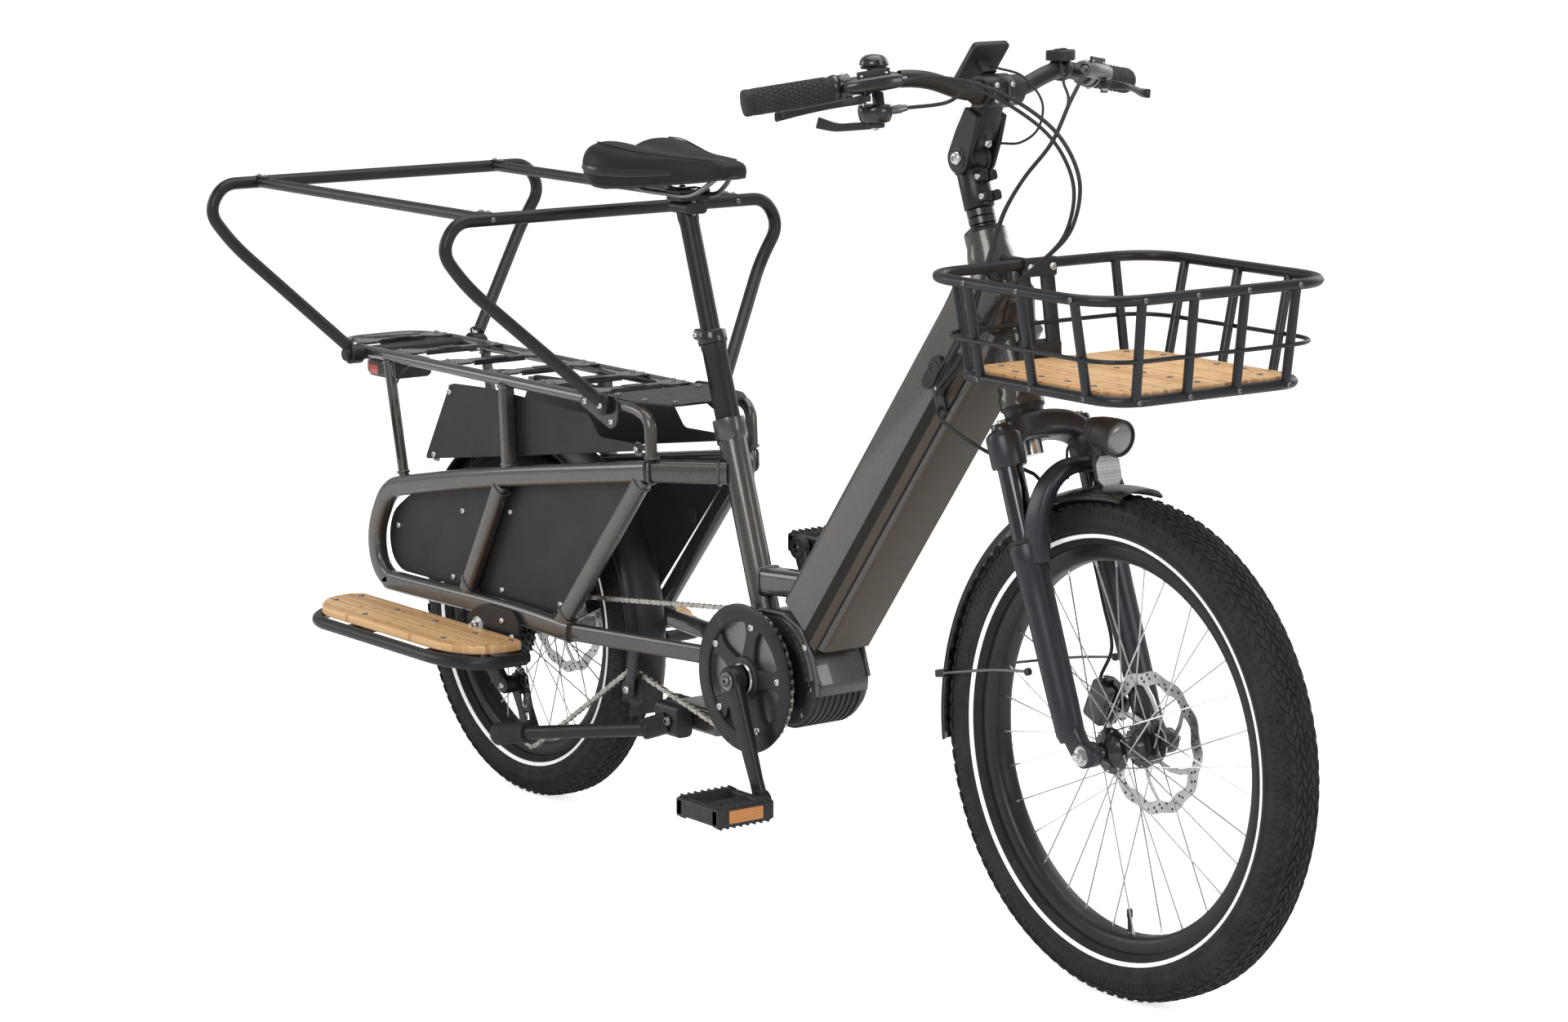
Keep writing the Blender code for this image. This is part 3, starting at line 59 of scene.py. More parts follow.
WHEELBASE, REAR_R, FRONT_R, REAR_BEAD, FRONT_BEAD = 1.2946, 0.2655, 0.316, 0.203, 0.2535
HEAD_TILT = radians(20.0)
STEER_UP = Vector((-sin(HEAD_TILT), 0, cos(HEAD_TILT)))
STEER_FORE = Vector((cos(HEAD_TILT), 0, sin(HEAD_TILT)))
REAR_AXLE, FRONT_AXLE = Vector((0, 0, REAR_R)), Vector((WHEELBASE, 0, FRONT_R))
STEER_FOOT = FRONT_AXLE - STEER_FORE * 0.0565
HEAD_LOW, HEAD_TOP = 0.449, 0.674
CRANK_AXLE, CHAIN_Y = Vector((0.5905, 0, 0.286)), -0.055
SEAT_LOW, SEAT_TOP = Vector((0.5695, 0, 0.33)), Vector((0.469, 0, 0.622))
SEAT_UP = (SEAT_TOP - SEAT_LOW).normalized()
SLEEVE_TOP, POST_TOP = SEAT_TOP + SEAT_UP * 0.124, Vector((0.3745, 0, 0.8965))
DOWN_DIR, DOWN_FORE = Vector((-0.6018, 0, -0.7986)), Vector((0.7986, 0, -0.6018))
DOWN_START = Vector((0.9705, 0, 0.8307))
SIDE_Y, RACK_Z = 0.087, 0.632
X, Y, Z = Vector((1, 0, 0)), Vector((0, 1, 0)), Vector((0, 0, 1))


def steer(height, fore=0.0, y=0.0):
    return STEER_FOOT + STEER_UP * height + STEER_FORE * fore + Vector((0, y, 0))


def down(length, depth, y=0.0):
    return DOWN_START + DOWN_DIR * length + DOWN_FORE * depth + Vector((0, y, 0))


# ------------------------------------------------------------------ materials
def graph(name, colour, rough, metal=0.0, coat=0.0, coat_rough=0.05, spec=0.5):
    """A Principled material with the numbers that are the same all over set on its own sockets."""
    made = bpy.data.materials.new(name)
    made.use_nodes = True
    tree = made.node_tree
    shader = tree.nodes["Principled BSDF"]
    shader.inputs["Base Color"].default_value = (*colour, 1)
    shader.inputs["Roughness"].default_value = rough
    shader.inputs["Metallic"].default_value = metal
    shader.inputs["Coat Weight"].default_value = coat
    shader.inputs["Coat Roughness"].default_value = coat_rough
    shader.inputs["Specular IOR Level"].default_value = spec
    return made, tree, shader


def node(tree, kind, **values):
    made = tree.nodes.new(kind)
    for key, value in values.items():
        if key in made.inputs:
            made.inputs[key].default_value = value
        else:
            setattr(made, key, value)
    return made


def place(tree, scale=(1, 1, 1)):
    """Object coordinates, stretched along the axes."""
    where = node(tree, "ShaderNodeTexCoord")
    mapping = node(tree, "ShaderNodeMapping")
    mapping.inputs["Scale"].default_value = scale
    tree.links.new(where.outputs["Object"], mapping.inputs["Vector"])
    return mapping.outputs["Vector"]


def noise(tree, where, scale, detail=3.0, rough=0.5):
    made = node(tree, "ShaderNodeTexNoise", Scale=scale, Detail=detail, Roughness=rough)
    tree.links.new(where, made.inputs["Vector"])
    return made.outputs["Fac"]


def ramp(tree, source, *stops):
    """A colour ramp through (place, colour or grey) stops."""
    made = node(tree, "ShaderNodeValToRGB")
    line = made.color_ramp
    while len(line.elements) < len(stops):
        line.elements.new(0.5)
    for element, (spot, tone) in zip(line.elements, stops):
        element.position = spot
        element.color = (*(tone if isinstance(tone, tuple) else (tone,) * 3), 1)
    tree.links.new(source, made.inputs["Fac"])
    return made.outputs["Color"]


def mix(tree, factor, a, b, kind="MIX"):
    made = node(tree, "ShaderNodeMix", data_type="RGBA", blend_type=kind)
    for value, at in ((factor, 0), (a, 6), (b, 7)):
        if isinstance(value, bpy.types.NodeSocket):
            tree.links.new(value, made.inputs[at])
        else:
            made.inputs[at].default_value = value if at == 0 else (*value, 1)
    return made.outputs[2]


def bump(tree, shader, height, strength, distance=0.001):
    made = node(tree, "ShaderNodeBump", Strength=strength, Distance=distance)
    tree.links.new(height, made.inputs["Height"])
    tree.links.new(made.outputs["Normal"], shader.inputs["Normal"])
    return made.outputs["Normal"]


def coated(name, colour, light, rough, metal, coat, grain, depth, coat_rough=0.06, patch=8.0, spec=0.5):
    """Paint, powder coat or moulded plastic: uneven gloss, a grain, slightly lighter patches, and a painted
    highlight that makes convex edges lighter.
    """
    made, tree, shader = graph(name, colour, rough, metal, coat, coat_rough, spec)
    where = place(tree)
    big = noise(tree, where, patch, 4.0)
    tone = ramp(tree, big, (0.35, colour), (0.7, light))
    # Painted highlight: convex edges, found from pointiness, are painted a lighter colour as if they caught
    # the light.
    shape = node(tree, "ShaderNodeNewGeometry")
    edge = ramp(tree, shape.outputs["Pointiness"], (0.53, 0.0), (0.62, 0.35))
    tree.links.new(mix(tree, edge, tone, tuple(min(1.0, c * 1.8 + 0.01) for c in light)),
            shader.inputs["Base Color"])
    tree.links.new(ramp(tree, noise(tree, where, patch * 7, 5.0), (0.3, rough * 0.86),
            (0.75, min(1.0, rough * 1.16))),
                   shader.inputs["Roughness"])
    bump(tree, shader, noise(tree, where, grain, 2.0), depth)
    return made


def metal(name, colour, rough, scratch=(1, 1, 1), depth=0.06, dark=0.75):
    """Bare metal with fine brushing and faint smudges."""
    made, tree, shader = graph(name, colour, rough, 1.0)
    where = place(tree, scratch)
    lines = noise(tree, where, 420.0, 3.0, 0.7)
    tree.links.new(ramp(tree, lines, (0.3, tuple(c * dark for c in colour)), (0.65, colour)),
            shader.inputs["Base Color"])
    tree.links.new(ramp(tree, noise(tree, place(tree), 30.0, 4.0), (0.3, rough * 0.8),
            (0.8, min(1, rough * 1.5))),
                   shader.inputs["Roughness"])
    bump(tree, shader, lines, depth)
    return made


def flake_paint():
    """Warm dark grey metallic paint under clear lacquer, with small bright flakes."""
    made, tree, shader = graph("frame_paint", (0.062, 0.056, 0.05), 0.3, 0.6, 1.0, 0.05)
    where = place(tree)
    flakes = node(tree, "ShaderNodeTexVoronoi", Scale=1500.0)
    tree.links.new(where, flakes.inputs["Vector"])
    base = ramp(tree, noise(tree, where, 5.0, 3.0), (0.35, (0.056, 0.051, 0.046)),
            (0.7, (0.07, 0.064, 0.058)))
    spark = ramp(tree, flakes.outputs["Color"], (0.55, 0.0), (0.98, 0.65))
    tree.links.new(mix(tree, spark, base, (0.18, 0.168, 0.15)), shader.inputs["Base Color"])
    tree.links.new(ramp(tree, noise(tree, where, 24.0, 4.0), (0.3, 0.3), (0.8, 0.4)),
            shader.inputs["Roughness"])
    bump(tree, shader, noise(tree, where, 140.0, 2.0), 0.05)
    return made


def bamboo():
    """Glued bamboo strips that run along X, each in its own tone, with fibres and the darker nodes."""
    made, tree, shader = graph("bamboo", (0.62, 0.4, 0.19), 0.48, 0.0, 0.15, 0.25)
    where = place(tree)
    split = node(tree, "ShaderNodeSeparateXYZ")
    tree.links.new(where, split.inputs["Vector"])
    count = node(tree, "ShaderNodeMath", operation="MULTIPLY")
    tree.links.new(split.outputs["Y"], count.inputs[0])
    count.inputs[1].default_value = 1 / 0.0062
    strip = node(tree, "ShaderNodeMath", operation="FLOOR")
    tree.links.new(count.outputs[0], strip.inputs[0])
    spin = node(tree, "ShaderNodeTexWhiteNoise", noise_dimensions="1D")
    tree.links.new(strip.outputs[0], spin.inputs["W"])
    base = ramp(tree, spin.outputs["Value"], (0.0, (0.7, 0.4, 0.17)), (0.5, (0.84, 0.52, 0.24)),
                (1.0, (0.95, 0.625, 0.32)))
    fibre = noise(tree, place(tree, (6, 420, 420)), 1.0, 6.0, 0.65)
    toned = mix(tree, 0.55, base, ramp(tree, fibre, (0.3, (0.62, 0.52, 0.42)), (0.65, (1.0, 1.0, 1.0))),
            "MULTIPLY")
    shift = node(tree, "ShaderNodeMath", operation="MULTIPLY_ADD")
    tree.links.new(spin.outputs["Value"], shift.inputs[0])
    shift.inputs[1].default_value = 5.0
    tree.links.new(split.outputs["X"], shift.inputs[2])
    wave = node(tree, "ShaderNodeMath", operation="PINGPONG")
    tree.links.new(shift.outputs[0], wave.inputs[0])
    wave.inputs[1].default_value = 0.085
    ring = ramp(tree, wave.outputs[0], (0.0, (0.55, 0.42, 0.3)), (0.0035, (0.86, 0.76, 0.62)),
            (0.007, (1.0, 1.0, 1.0)))
    toned = mix(tree, 0.8, toned, ring, "MULTIPLY")
    edge = node(tree, "ShaderNodeMath", operation="FRACT")
    tree.links.new(count.outputs[0], edge.inputs[0])
    seam = ramp(tree, edge.outputs[0], (0.0, 0.55), (0.05, 1.0), (0.95, 1.0), (1.0, 0.55))
    toned = mix(tree, 0.6, toned, seam, "MULTIPLY")
    tree.links.new(toned, shader.inputs["Base Color"])
    tree.links.new(ramp(tree, fibre, (0.3, 0.58), (0.7, 0.42)), shader.inputs["Roughness"])
    bump(tree, shader, fibre, 0.25, 0.0006)
    return made


def lens(name, colour, rough=0.08, through=0.0, cell=0.0):
    """A coloured lens, with a prism pattern under the surface when cell is set; the prism cells are painted
    lighter in the middle and darker at their rims, a painted reflection of the prisms.
    """
    made, tree, shader = graph(name, colour, rough, 0.0, 1.0, 0.03)
    shader.inputs["Transmission Weight"].default_value = through
    where = place(tree)
    if cell:
        prisms = node(tree, "ShaderNodeTexVoronoi", Scale=1.0 / cell, distance="CHEBYCHEV", Randomness=0.0)
        tree.links.new(where, prisms.inputs["Vector"])
        # Painted reflection: each prism cell is painted bright in its middle and dark at its rim.
        tree.links.new(ramp(tree, prisms.outputs["Distance"],
                (0.0, tuple(min(1, c * 1.5 + 0.05) for c in colour)),
                            (0.6, tuple(c * 0.55 for c in colour))), shader.inputs["Base Color"])
        bump(tree, shader, prisms.outputs["Distance"], 0.8, 0.002)
    else:
        tree.links.new(ramp(tree, noise(tree, where, 60.0), (0.3, colour),
                (0.8, tuple(c * 0.8 for c in colour))),
                       shader.inputs["Base Color"])
    return made


def tread_rubber():
    """Tyre rubber: dull black, with fine mould lines on the walls and a greyer, dusty bloom."""
    made, tree, shader = graph("tyre_rubber", (0.017, 0.017, 0.018), 0.72, spec=0.35)
    where = place(tree)
    tree.links.new(ramp(tree, noise(tree, where, 26.0, 5.0), (0.35, (0.011, 0.0112, 0.013)),
            (0.75, (0.022, 0.0224, 0.0245))),
                   shader.inputs["Base Color"])
    tree.links.new(ramp(tree, noise(tree, where, 90.0, 4.0), (0.3, 0.6), (0.8, 0.84)),
            shader.inputs["Roughness"])
    bump(tree, shader, noise(tree, where, 520.0, 3.0), 0.3, 0.0006)
    return made


def saddle_skin():
    """Soft black synthetic leather with a close pebbled grain, the creases between the pebbles painted darker
    as painted shade.
    """
    made, tree, shader = graph("saddle_skin", (0.01, 0.01, 0.012), 0.56, spec=0.3)
    where = place(tree)
    pebbles = node(tree, "ShaderNodeTexVoronoi", Scale=950.0, feature="DISTANCE_TO_EDGE")
    tree.links.new(where, pebbles.inputs["Vector"])
    # Painted shade: the creases between the pebbles are painted darker than their tops.
    tree.links.new(ramp(tree, pebbles.outputs["Distance"], (0.0, (0.005, 0.0052, 0.0062)),
            (0.25, (0.0115, 0.012, 0.0135))),
                   shader.inputs["Base Color"])
    tree.links.new(ramp(tree, noise(tree, where, 40.0, 3.0), (0.3, 0.46), (0.8, 0.6)),
            shader.inputs["Roughness"])
    bump(tree, shader, pebbles.outputs["Distance"], 0.22, 0.0006)
    return made


PAINT = flake_paint()
SATIN = coated("black_satin", (0.013, 0.014, 0.017), (0.019, 0.02, 0.0235), 0.36, 0.25, 0.0, 700.0, 0.05,
        spec=0.45)
GLOSS = coated("black_gloss", (0.009, 0.0095, 0.011), (0.013, 0.0135, 0.015), 0.26, 0.1, 0.6, 220.0, 0.03)
FORK = coated("fork_finish", (0.015, 0.017, 0.023), (0.021, 0.023, 0.03), 0.38, 0.2, 0.15, 600.0, 0.04, 0.2)
BRONZE = coated("bar_finish", (0.03, 0.027, 0.024), (0.042, 0.038, 0.034), 0.42, 0.5, 0.0, 650.0, 0.06)
PLASTIC = coated("black_plastic", (0.0145, 0.015, 0.0165), (0.02, 0.0205, 0.022), 0.5, 0.0, 0.0, 900.0, 0.14)
SHEET = coated("panel_sheet", (0.0135, 0.0137, 0.0155), (0.018, 0.0182, 0.0205), 0.46, 0.0, 0.0, 1300.0, 0.22,
        patch=3.0, spec=0.35)
CASE = coated("battery_case", (0.005, 0.0044, 0.0038), (0.007, 0.0062, 0.0055), 0.34, 0.0, 0.0, 300.0, 0.03,
        spec=0.18)
BEVEL = coated("battery_face", (0.056, 0.046, 0.033), (0.066, 0.055, 0.04), 0.4, 0.2, 0.0, 500.0, 0.04,
        spec=0.25)
RUBBER = coated("rubber", (0.016, 0.016, 0.0175), (0.023, 0.023, 0.0245), 0.72, 0.0, 0.0, 800.0, 0.25)
SILVER = metal("silver", (0.72, 0.72, 0.73), 0.2)
DISC = metal("disc_steel", (0.62, 0.62, 0.62), 0.26, (1, 1, 1), 0.1)
LINK = metal("chain_steel", (0.55, 0.53, 0.49), 0.3, depth=0.08, dark=0.6)
GREYS = metal("grey_metal", (0.24, 0.24, 0.25), 0.34)
DARK_CHROME = metal("dark_chrome", (0.085, 0.087, 0.095), 0.09, depth=0.0, dark=0.95)
TYRE = tread_rubber()
STRIPE = coated("reflective_stripe", (0.88, 0.9, 0.92), (0.97, 0.98, 1.0), 0.35, 0.0, 0.0, 1200.0, 0.1)
# The reflective stripe gets a faint white emission: a painted glow, though the stripe is no lamp.
STRIPE_PAINTED_GLOW = STRIPE.node_tree.nodes["Principled BSDF"].inputs
STRIPE_PAINTED_GLOW["Emission Color"].default_value = (1, 1, 1, 1)
STRIPE_PAINTED_GLOW["Emission Strength"].default_value = 0.3
BAMBOO = bamboo()
SKIN = saddle_skin()
RED = lens("red_lens", (0.62, 0.045, 0.015), 0.12, cell=0.0035)
ORANGE = lens("orange_reflector", (0.78, 0.235, 0.012), 0.12, cell=0.004)
PRISM = lens("white_reflector", (0.6, 0.61, 0.62), 0.1, cell=0.0038)
GLASS = lens("lamp_glass", (0.85, 0.88, 0.92), 0.03, 0.75)
MIRROR = metal("lamp_mirror", (0.8, 0.8, 0.8), 0.08, depth=0.0, dark=0.97)
SCREEN = coated("screen", (0.006, 0.007, 0.008), (0.008, 0.009, 0.01), 0.08, 0.0, 1.0, 400.0, 0.0)


# ------------------------------------------------------------------ shapes as (points, faces)
def join(*shapes):
    points, faces = [], []
    for some_points, some_faces in shapes:
        start = len(points)
        points += some_points
        faces += [tuple(i + start for i in face) for face in some_faces]
    return points, faces


def mirrored(shape):
    return [Vector((p[0], -p[1], p[2])) for p in shape[0]], [tuple(reversed(f)) for f in shape[1]]


def both(shape):
    return join(shape, mirrored(shape))


def side_of(shape, side):
    """The right side's shape as it is, or mirrored for the left."""
    return shape if side < 0 else mirrored(shape)


def sweep(path, section, side=None, closed=False, scale=None, caps=True):
    """A closed section (list of (across, up)) carried along a path without twisting."""
    path = [Vector(p) for p in path]
    count = len(path)
    runs = []
    for i in range(count):
        before = path[i] - path[i - 1] if (i or closed) else Vector()
        after = path[(i + 1) % count] - path[i] if (i < count - 1 or closed) else Vector()
        runs.append((before.normalized() + after.normalized()).normalized())
    across = Vector(side) if side is not None else runs[0].orthogonal()
    points, faces, n = [], [], len(section)
    for i, (spot, run) in enumerate(zip(path, runs)):
        if side is not None:
            across = Vector(side)
        across = (across - run * across.dot(run)).normalized()
        up = run.cross(across)
        grow = scale(i / max(1, count - 1)) if scale else 1.0
        points += [spot + across * a * grow + up * b * grow for a, b in section]
    last = count if closed else count - 1
    for i in range(last):
        a, b = i * n, (i + 1) % count * n
        faces += [(a + k, a + (k + 1) % n, b + (k + 1) % n, b + k) for k in range(n)]
    if not closed and caps:
        faces += [tuple(reversed(range(n))), tuple(range((count - 1) * n, count * n))]
    return points, faces


def circle(r, n=20):
    return [(r * cos(2 * pi * k / n), r * sin(2 * pi * k / n)) for k in range(n)]


def rounded(wide, tall, corner, steps=4):
    """The outline of a rectangle with round corners, as (across, up)."""
    out = []
    for sx, sy, turn in ((1, 1, 0), (-1, 1, 90), (-1, -1, 180), (1, -1, 270)):
        for k in range(steps + 1):
            a = radians(turn + 90 * k / steps)
            out.append((sx * (wide / 2 - corner) + corner * cos(a),
                    sy * (tall / 2 - corner) + corner * sin(a)))
    return out


def pipe(path, r, n=20, closed=False):
    return sweep(path, circle(r, n), None, closed)


def rod(a, b, r, n=20):
    return sweep([a, b], circle(r, n))


def bar(a, b, wide, tall, corner=0.004, side=(0, 1, 0), steps=4):
    return sweep([a, b], rounded(wide, tall, corner, steps), side)


def lathe(profile, at, axis, n=40, closed=False):
    """A turned shape from (distance along the axis, radius); a radius of 0 closes it."""
    axis = Vector(axis).normalized()
    u = axis.orthogonal().normalized()
    v = axis.cross(u)
    at = Vector(at)
    points, faces, rings = [], [], []
    for place_, r in profile:
        if r < 1e-7:
            rings.append([len(points)])
            points.append(at + axis * place_)
        else:
            rings.append(list(range(len(points), len(points) + n)))
            points += [at + axis * place_ + (u * cos(2 * pi * k / n) + v * sin(2 * pi * k / n)) * r
                    for k in range(n)]
    pairs = list(zip(rings, rings[1:])) + ([(rings[-1], rings[0])] if closed else [])
    for a, b in pairs:
        for k in range(n):
            m = (k + 1) % n
            if len(a) == 1 and len(b) == 1:
                continue
            if len(a) == 1:
                faces.append((a[0], b[m], b[k]))
            elif len(b) == 1:
                faces.append((a[k], a[m], b[0]))
            else:
                faces.append((a[k], a[m], b[m], b[k]))
    return points, faces


def slab(outline, at, thick, u=(1, 0, 0), v=(0, 0, 1)):
    """A flat plate from an outline (along u, along v) about a point."""
    u, v, at = Vector(u), Vector(v), Vector(at)
    w = u.cross(v).normalized() * thick / 2
    n = len(outline)
    points = [at + u * a + v * b - w for a, b in outline] + [at + u * a + v * b + w for a, b in outline]
    faces = [tuple(reversed(range(n))), tuple(range(n, 2 * n))]
    faces += [(k, (k + 1) % n, n + (k + 1) % n, n + k) for k in range(n)]
    return points, faces


def arcs(corners, radius, steps=6, closed=True):
    """A path with its corners turned into arcs; radius is a number or one for each corner."""
    out = []
    for i, corner in enumerate(corners):
        here = Vector(corner)
        if not closed and i in (0, len(corners) - 1):
            out.append(here)
            continue
        r = radius[i] if isinstance(radius, (list, tuple)) else radius
        before = Vector(corners[i - 1]) - here
        after = Vector(corners[(i + 1) % len(corners)]) - here
        r = min(r, before.length * 0.49, after.length * 0.49)
        a, b = here + before.normalized() * r, here + after.normalized() * r
        for k in range(steps + 1):
            t = k / steps
            out.append(a * (1 - t) ** 2 + here * 2 * t * (1 - t) + b * t ** 2)
    return out


def smooth(points, steps=6):
    """A smooth curve through given points."""
    spots = [Vector(p) for p in points]
    ends = [spots[0] * 2 - spots[1], *spots, spots[-1] * 2 - spots[-2]]
    out = []
    for a, b, c, d in zip(ends, ends[1:], ends[2:], ends[3:]):
        for k in range(steps):
            t = k / steps
            out.append((b * 2 + (c - a) * t + (a * 2 - b * 5 + c * 4 - d) * t ** 2 + (b * 3 - a - c * 3 + d)
                    * t ** 3) / 2)
    return out + [spots[-1]]


def screw(at, out, r=0.0042, n=14):
    """A button-head screw with a socket, standing on a surface."""
    return lathe([(-0.0006, r), (r * 0.25, r), (r * 0.55, r * 0.8), (r * 0.68, r * 0.5), (r * 0.66, r * 0.4),
                  (r * 0.2, r * 0.36), (r * 0.2, 0)], at, out, n)


def nut(at, out, r=0.005, h=0.004):
    return lathe([(0, r * 1.3), (h * 0.25, r * 1.3), (h * 0.25, r), (h * 0.9, r), (h, r * 0.85), (h, 0)], at,
            out, 6)


WELD_PITCH = 0.0034


def bead(path, r=0.0026, closed=True, ripple=0.16):
    """A weld bead: a thick line of small overlapping drops along a seam."""
    spots = [Vector(p) for p in path]
    if closed:
        spots = spots + [spots[0]]
    fine = []
    for a, b in zip(spots, spots[1:]):
        steps = max(1, round((b - a).length / (WELD_PITCH / 3)))
        fine += [a.lerp(b, k / steps) for k in range(steps)]
    if not closed:
        fine.append(spots[-1])
    count = len(fine)
    return sweep(fine, circle(r, 8), None, closed, lambda t: 1 + ripple * sin(t * (count - 1) * 2 * pi / 3),
            True)


def ringed(at, axis, r, wide=None, tall=None, corner=0.006, side=(0, 1, 0)):
    """The path of a seam round a tube: round, or round a rectangular bar."""
    axis = Vector(axis).normalized()
    if wide is None:
        u = axis.orthogonal().normalized()
        v = axis.cross(u)
        return [Vector(at) + u * r * cos(2 * pi * k / 40) + v * r * sin(2 * pi * k / 40) for k in range(40)]
    u = (Vector(side) - axis * Vector(side).dot(axis)).normalized()
    v = axis.cross(u)
    return [Vector(at) + u * a + v * b for a, b in rounded(wide, tall, corner, 5)]


def piece(name, body, slot, look, *shapes, hides=(), bevel=0.0, sharp=38, fine=0, segments=2):
    """Makes one object of the bicycle from shapes, gives it its look, and lets it ride on its CAD body."""
    points, faces = join(*shapes)
    mesh = bpy.data.meshes.new(name)
    mesh.from_pydata([p + SHIFT for p in points], [], faces)
    shape = bmesh.new()
    shape.from_mesh(mesh)
    bmesh.ops.recalc_face_normals(shape, faces=shape.faces)
    shape.to_mesh(mesh)
    shape.free()
    mesh.shade_smooth()
    mesh.set_sharp_from_angle(angle=radians(sharp))
    thing = bpy.data.objects.new(name, mesh)
    bpy.context.scene.collection.objects.link(thing)
    thing.data.materials.append(look)
    if bevel:
        change = thing.modifiers.new("edges", "BEVEL")
        change.width = bevel
        change.segments = segments
        change.limit_method = "ANGLE"
        change.angle_limit = radians(sharp)
        change.harden_normals = True
        change.use_clamp_overlap = True
    if fine:
        change = thing.modifiers.new("smooth", "SUBSURF")
        change.levels = change.render_levels = fine
    if hides:
        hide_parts(*hides)
    if body:
        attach(thing, body)
    return thing


# ------------------------------------------------------------------ camera, light and floor
def camera():
    """The photograph's viewing place and direction."""
    eye = bpy.data.objects.new("camera", bpy.data.cameras.new("camera"))
    bpy.context.scene.collection.objects.link(eye)
    yaw, pitch, roll = 2.4864, -0.1804, 0.0039
    ahead = Vector((cos(yaw) * cos(pitch), sin(yaw) * cos(pitch), sin(pitch)))
    right = Vector((sin(yaw), -cos(yaw), 0))
    up = right.cross(ahead)
    right, up = right * cos(roll) + up * sin(roll), up * cos(roll) - right * sin(roll)
    turn = Matrix((right, up, -ahead)).transposed().to_4x4()
    eye.matrix_world = Matrix.Translation(Vector((5.0692, -3.4374, 1.5405)) + SHIFT) @ turn
    eye.data.lens = 96.88
    eye.data.sensor_width = 36
    eye.data.sensor_fit = "HORIZONTAL"
    eye.data.clip_end = 60
    bpy.context.scene.camera = eye


def lamp(name, at, target, size, power):
    light = bpy.data.lights.new(name, "AREA")
    light.shape = "RECTANGLE"
    light.size = light.size_y = size
    light.energy = power
    thing = bpy.data.objects.new(name, light)
    thing.location = at
    thing.rotation_euler = (Vector(target) - Vector(at)).to_track_quat("-Z", "Y").to_euler()
    bpy.context.scene.collection.objects.link(thing)


camera()
lamp("key_light", (2.6, -3.6, 3.0), (0.1, 0, 0.5), 2.4, 85)
lamp("side_light", (-3.4, -2.8, 1.8), (0, 0, 0.5), 2.2, 40)
lamp("front_light", (4.4, 1.2, 1.6), (0.3, 0, 0.6), 1.8, 34)
lamp("top_light", (0, 0.4, 4.0), (0, 0, 0.4), 3.4, 80)
lamp("back_light", (-0.4, 4.2, 2.2), (0, 0, 0.5), 2.8, 40)
world = bpy.data.worlds.new("studio")
bpy.context.scene.world = world
world.use_nodes = True
sky = world.node_tree.nodes["Background"]
sky.inputs["Color"].default_value = (1.0, 1.0, 1.0, 1)
ray = world.node_tree.nodes.new("ShaderNodeLightPath")
level = world.node_tree.nodes.new("ShaderNodeMapRange")
level.inputs["To Min"].default_value, level.inputs["To Max"].default_value = 0.42, 1.05
world.node_tree.links.new(ray.outputs["Is Camera Ray"], level.inputs["Value"])
world.node_tree.links.new(level.outputs["Result"], sky.inputs["Strength"])
floor_mesh = bpy.data.meshes.new("floor")
floor_mesh.from_pydata([(-20, -20, 0), (20, -20, 0), (20, 20, 0), (-20, 20, 0)], [], [(0, 1, 2, 3)])
ground = bpy.data.objects.new("floor", floor_mesh)
bpy.context.scene.collection.objects.link(ground)
plain, plain_tree, plain_shader = graph("floor_white", (0.93, 0.93, 0.93), 0.85)
plain_shader.inputs["Emission Color"].default_value = (1, 1, 1, 1)
glow = plain_tree.nodes.new("ShaderNodeMapRange")
glow.inputs["To Max"].default_value = 0.72
plain_tree.links.new(plain_tree.nodes.new("ShaderNodeLightPath").outputs["Is Camera Ray"],
        glow.inputs["Value"])
plain_tree.links.new(glow.outputs["Result"], plain_shader.inputs["Emission Strength"])
floor_mesh.materials.append(plain)
bpy.context.scene.view_settings.view_transform = "Standard"


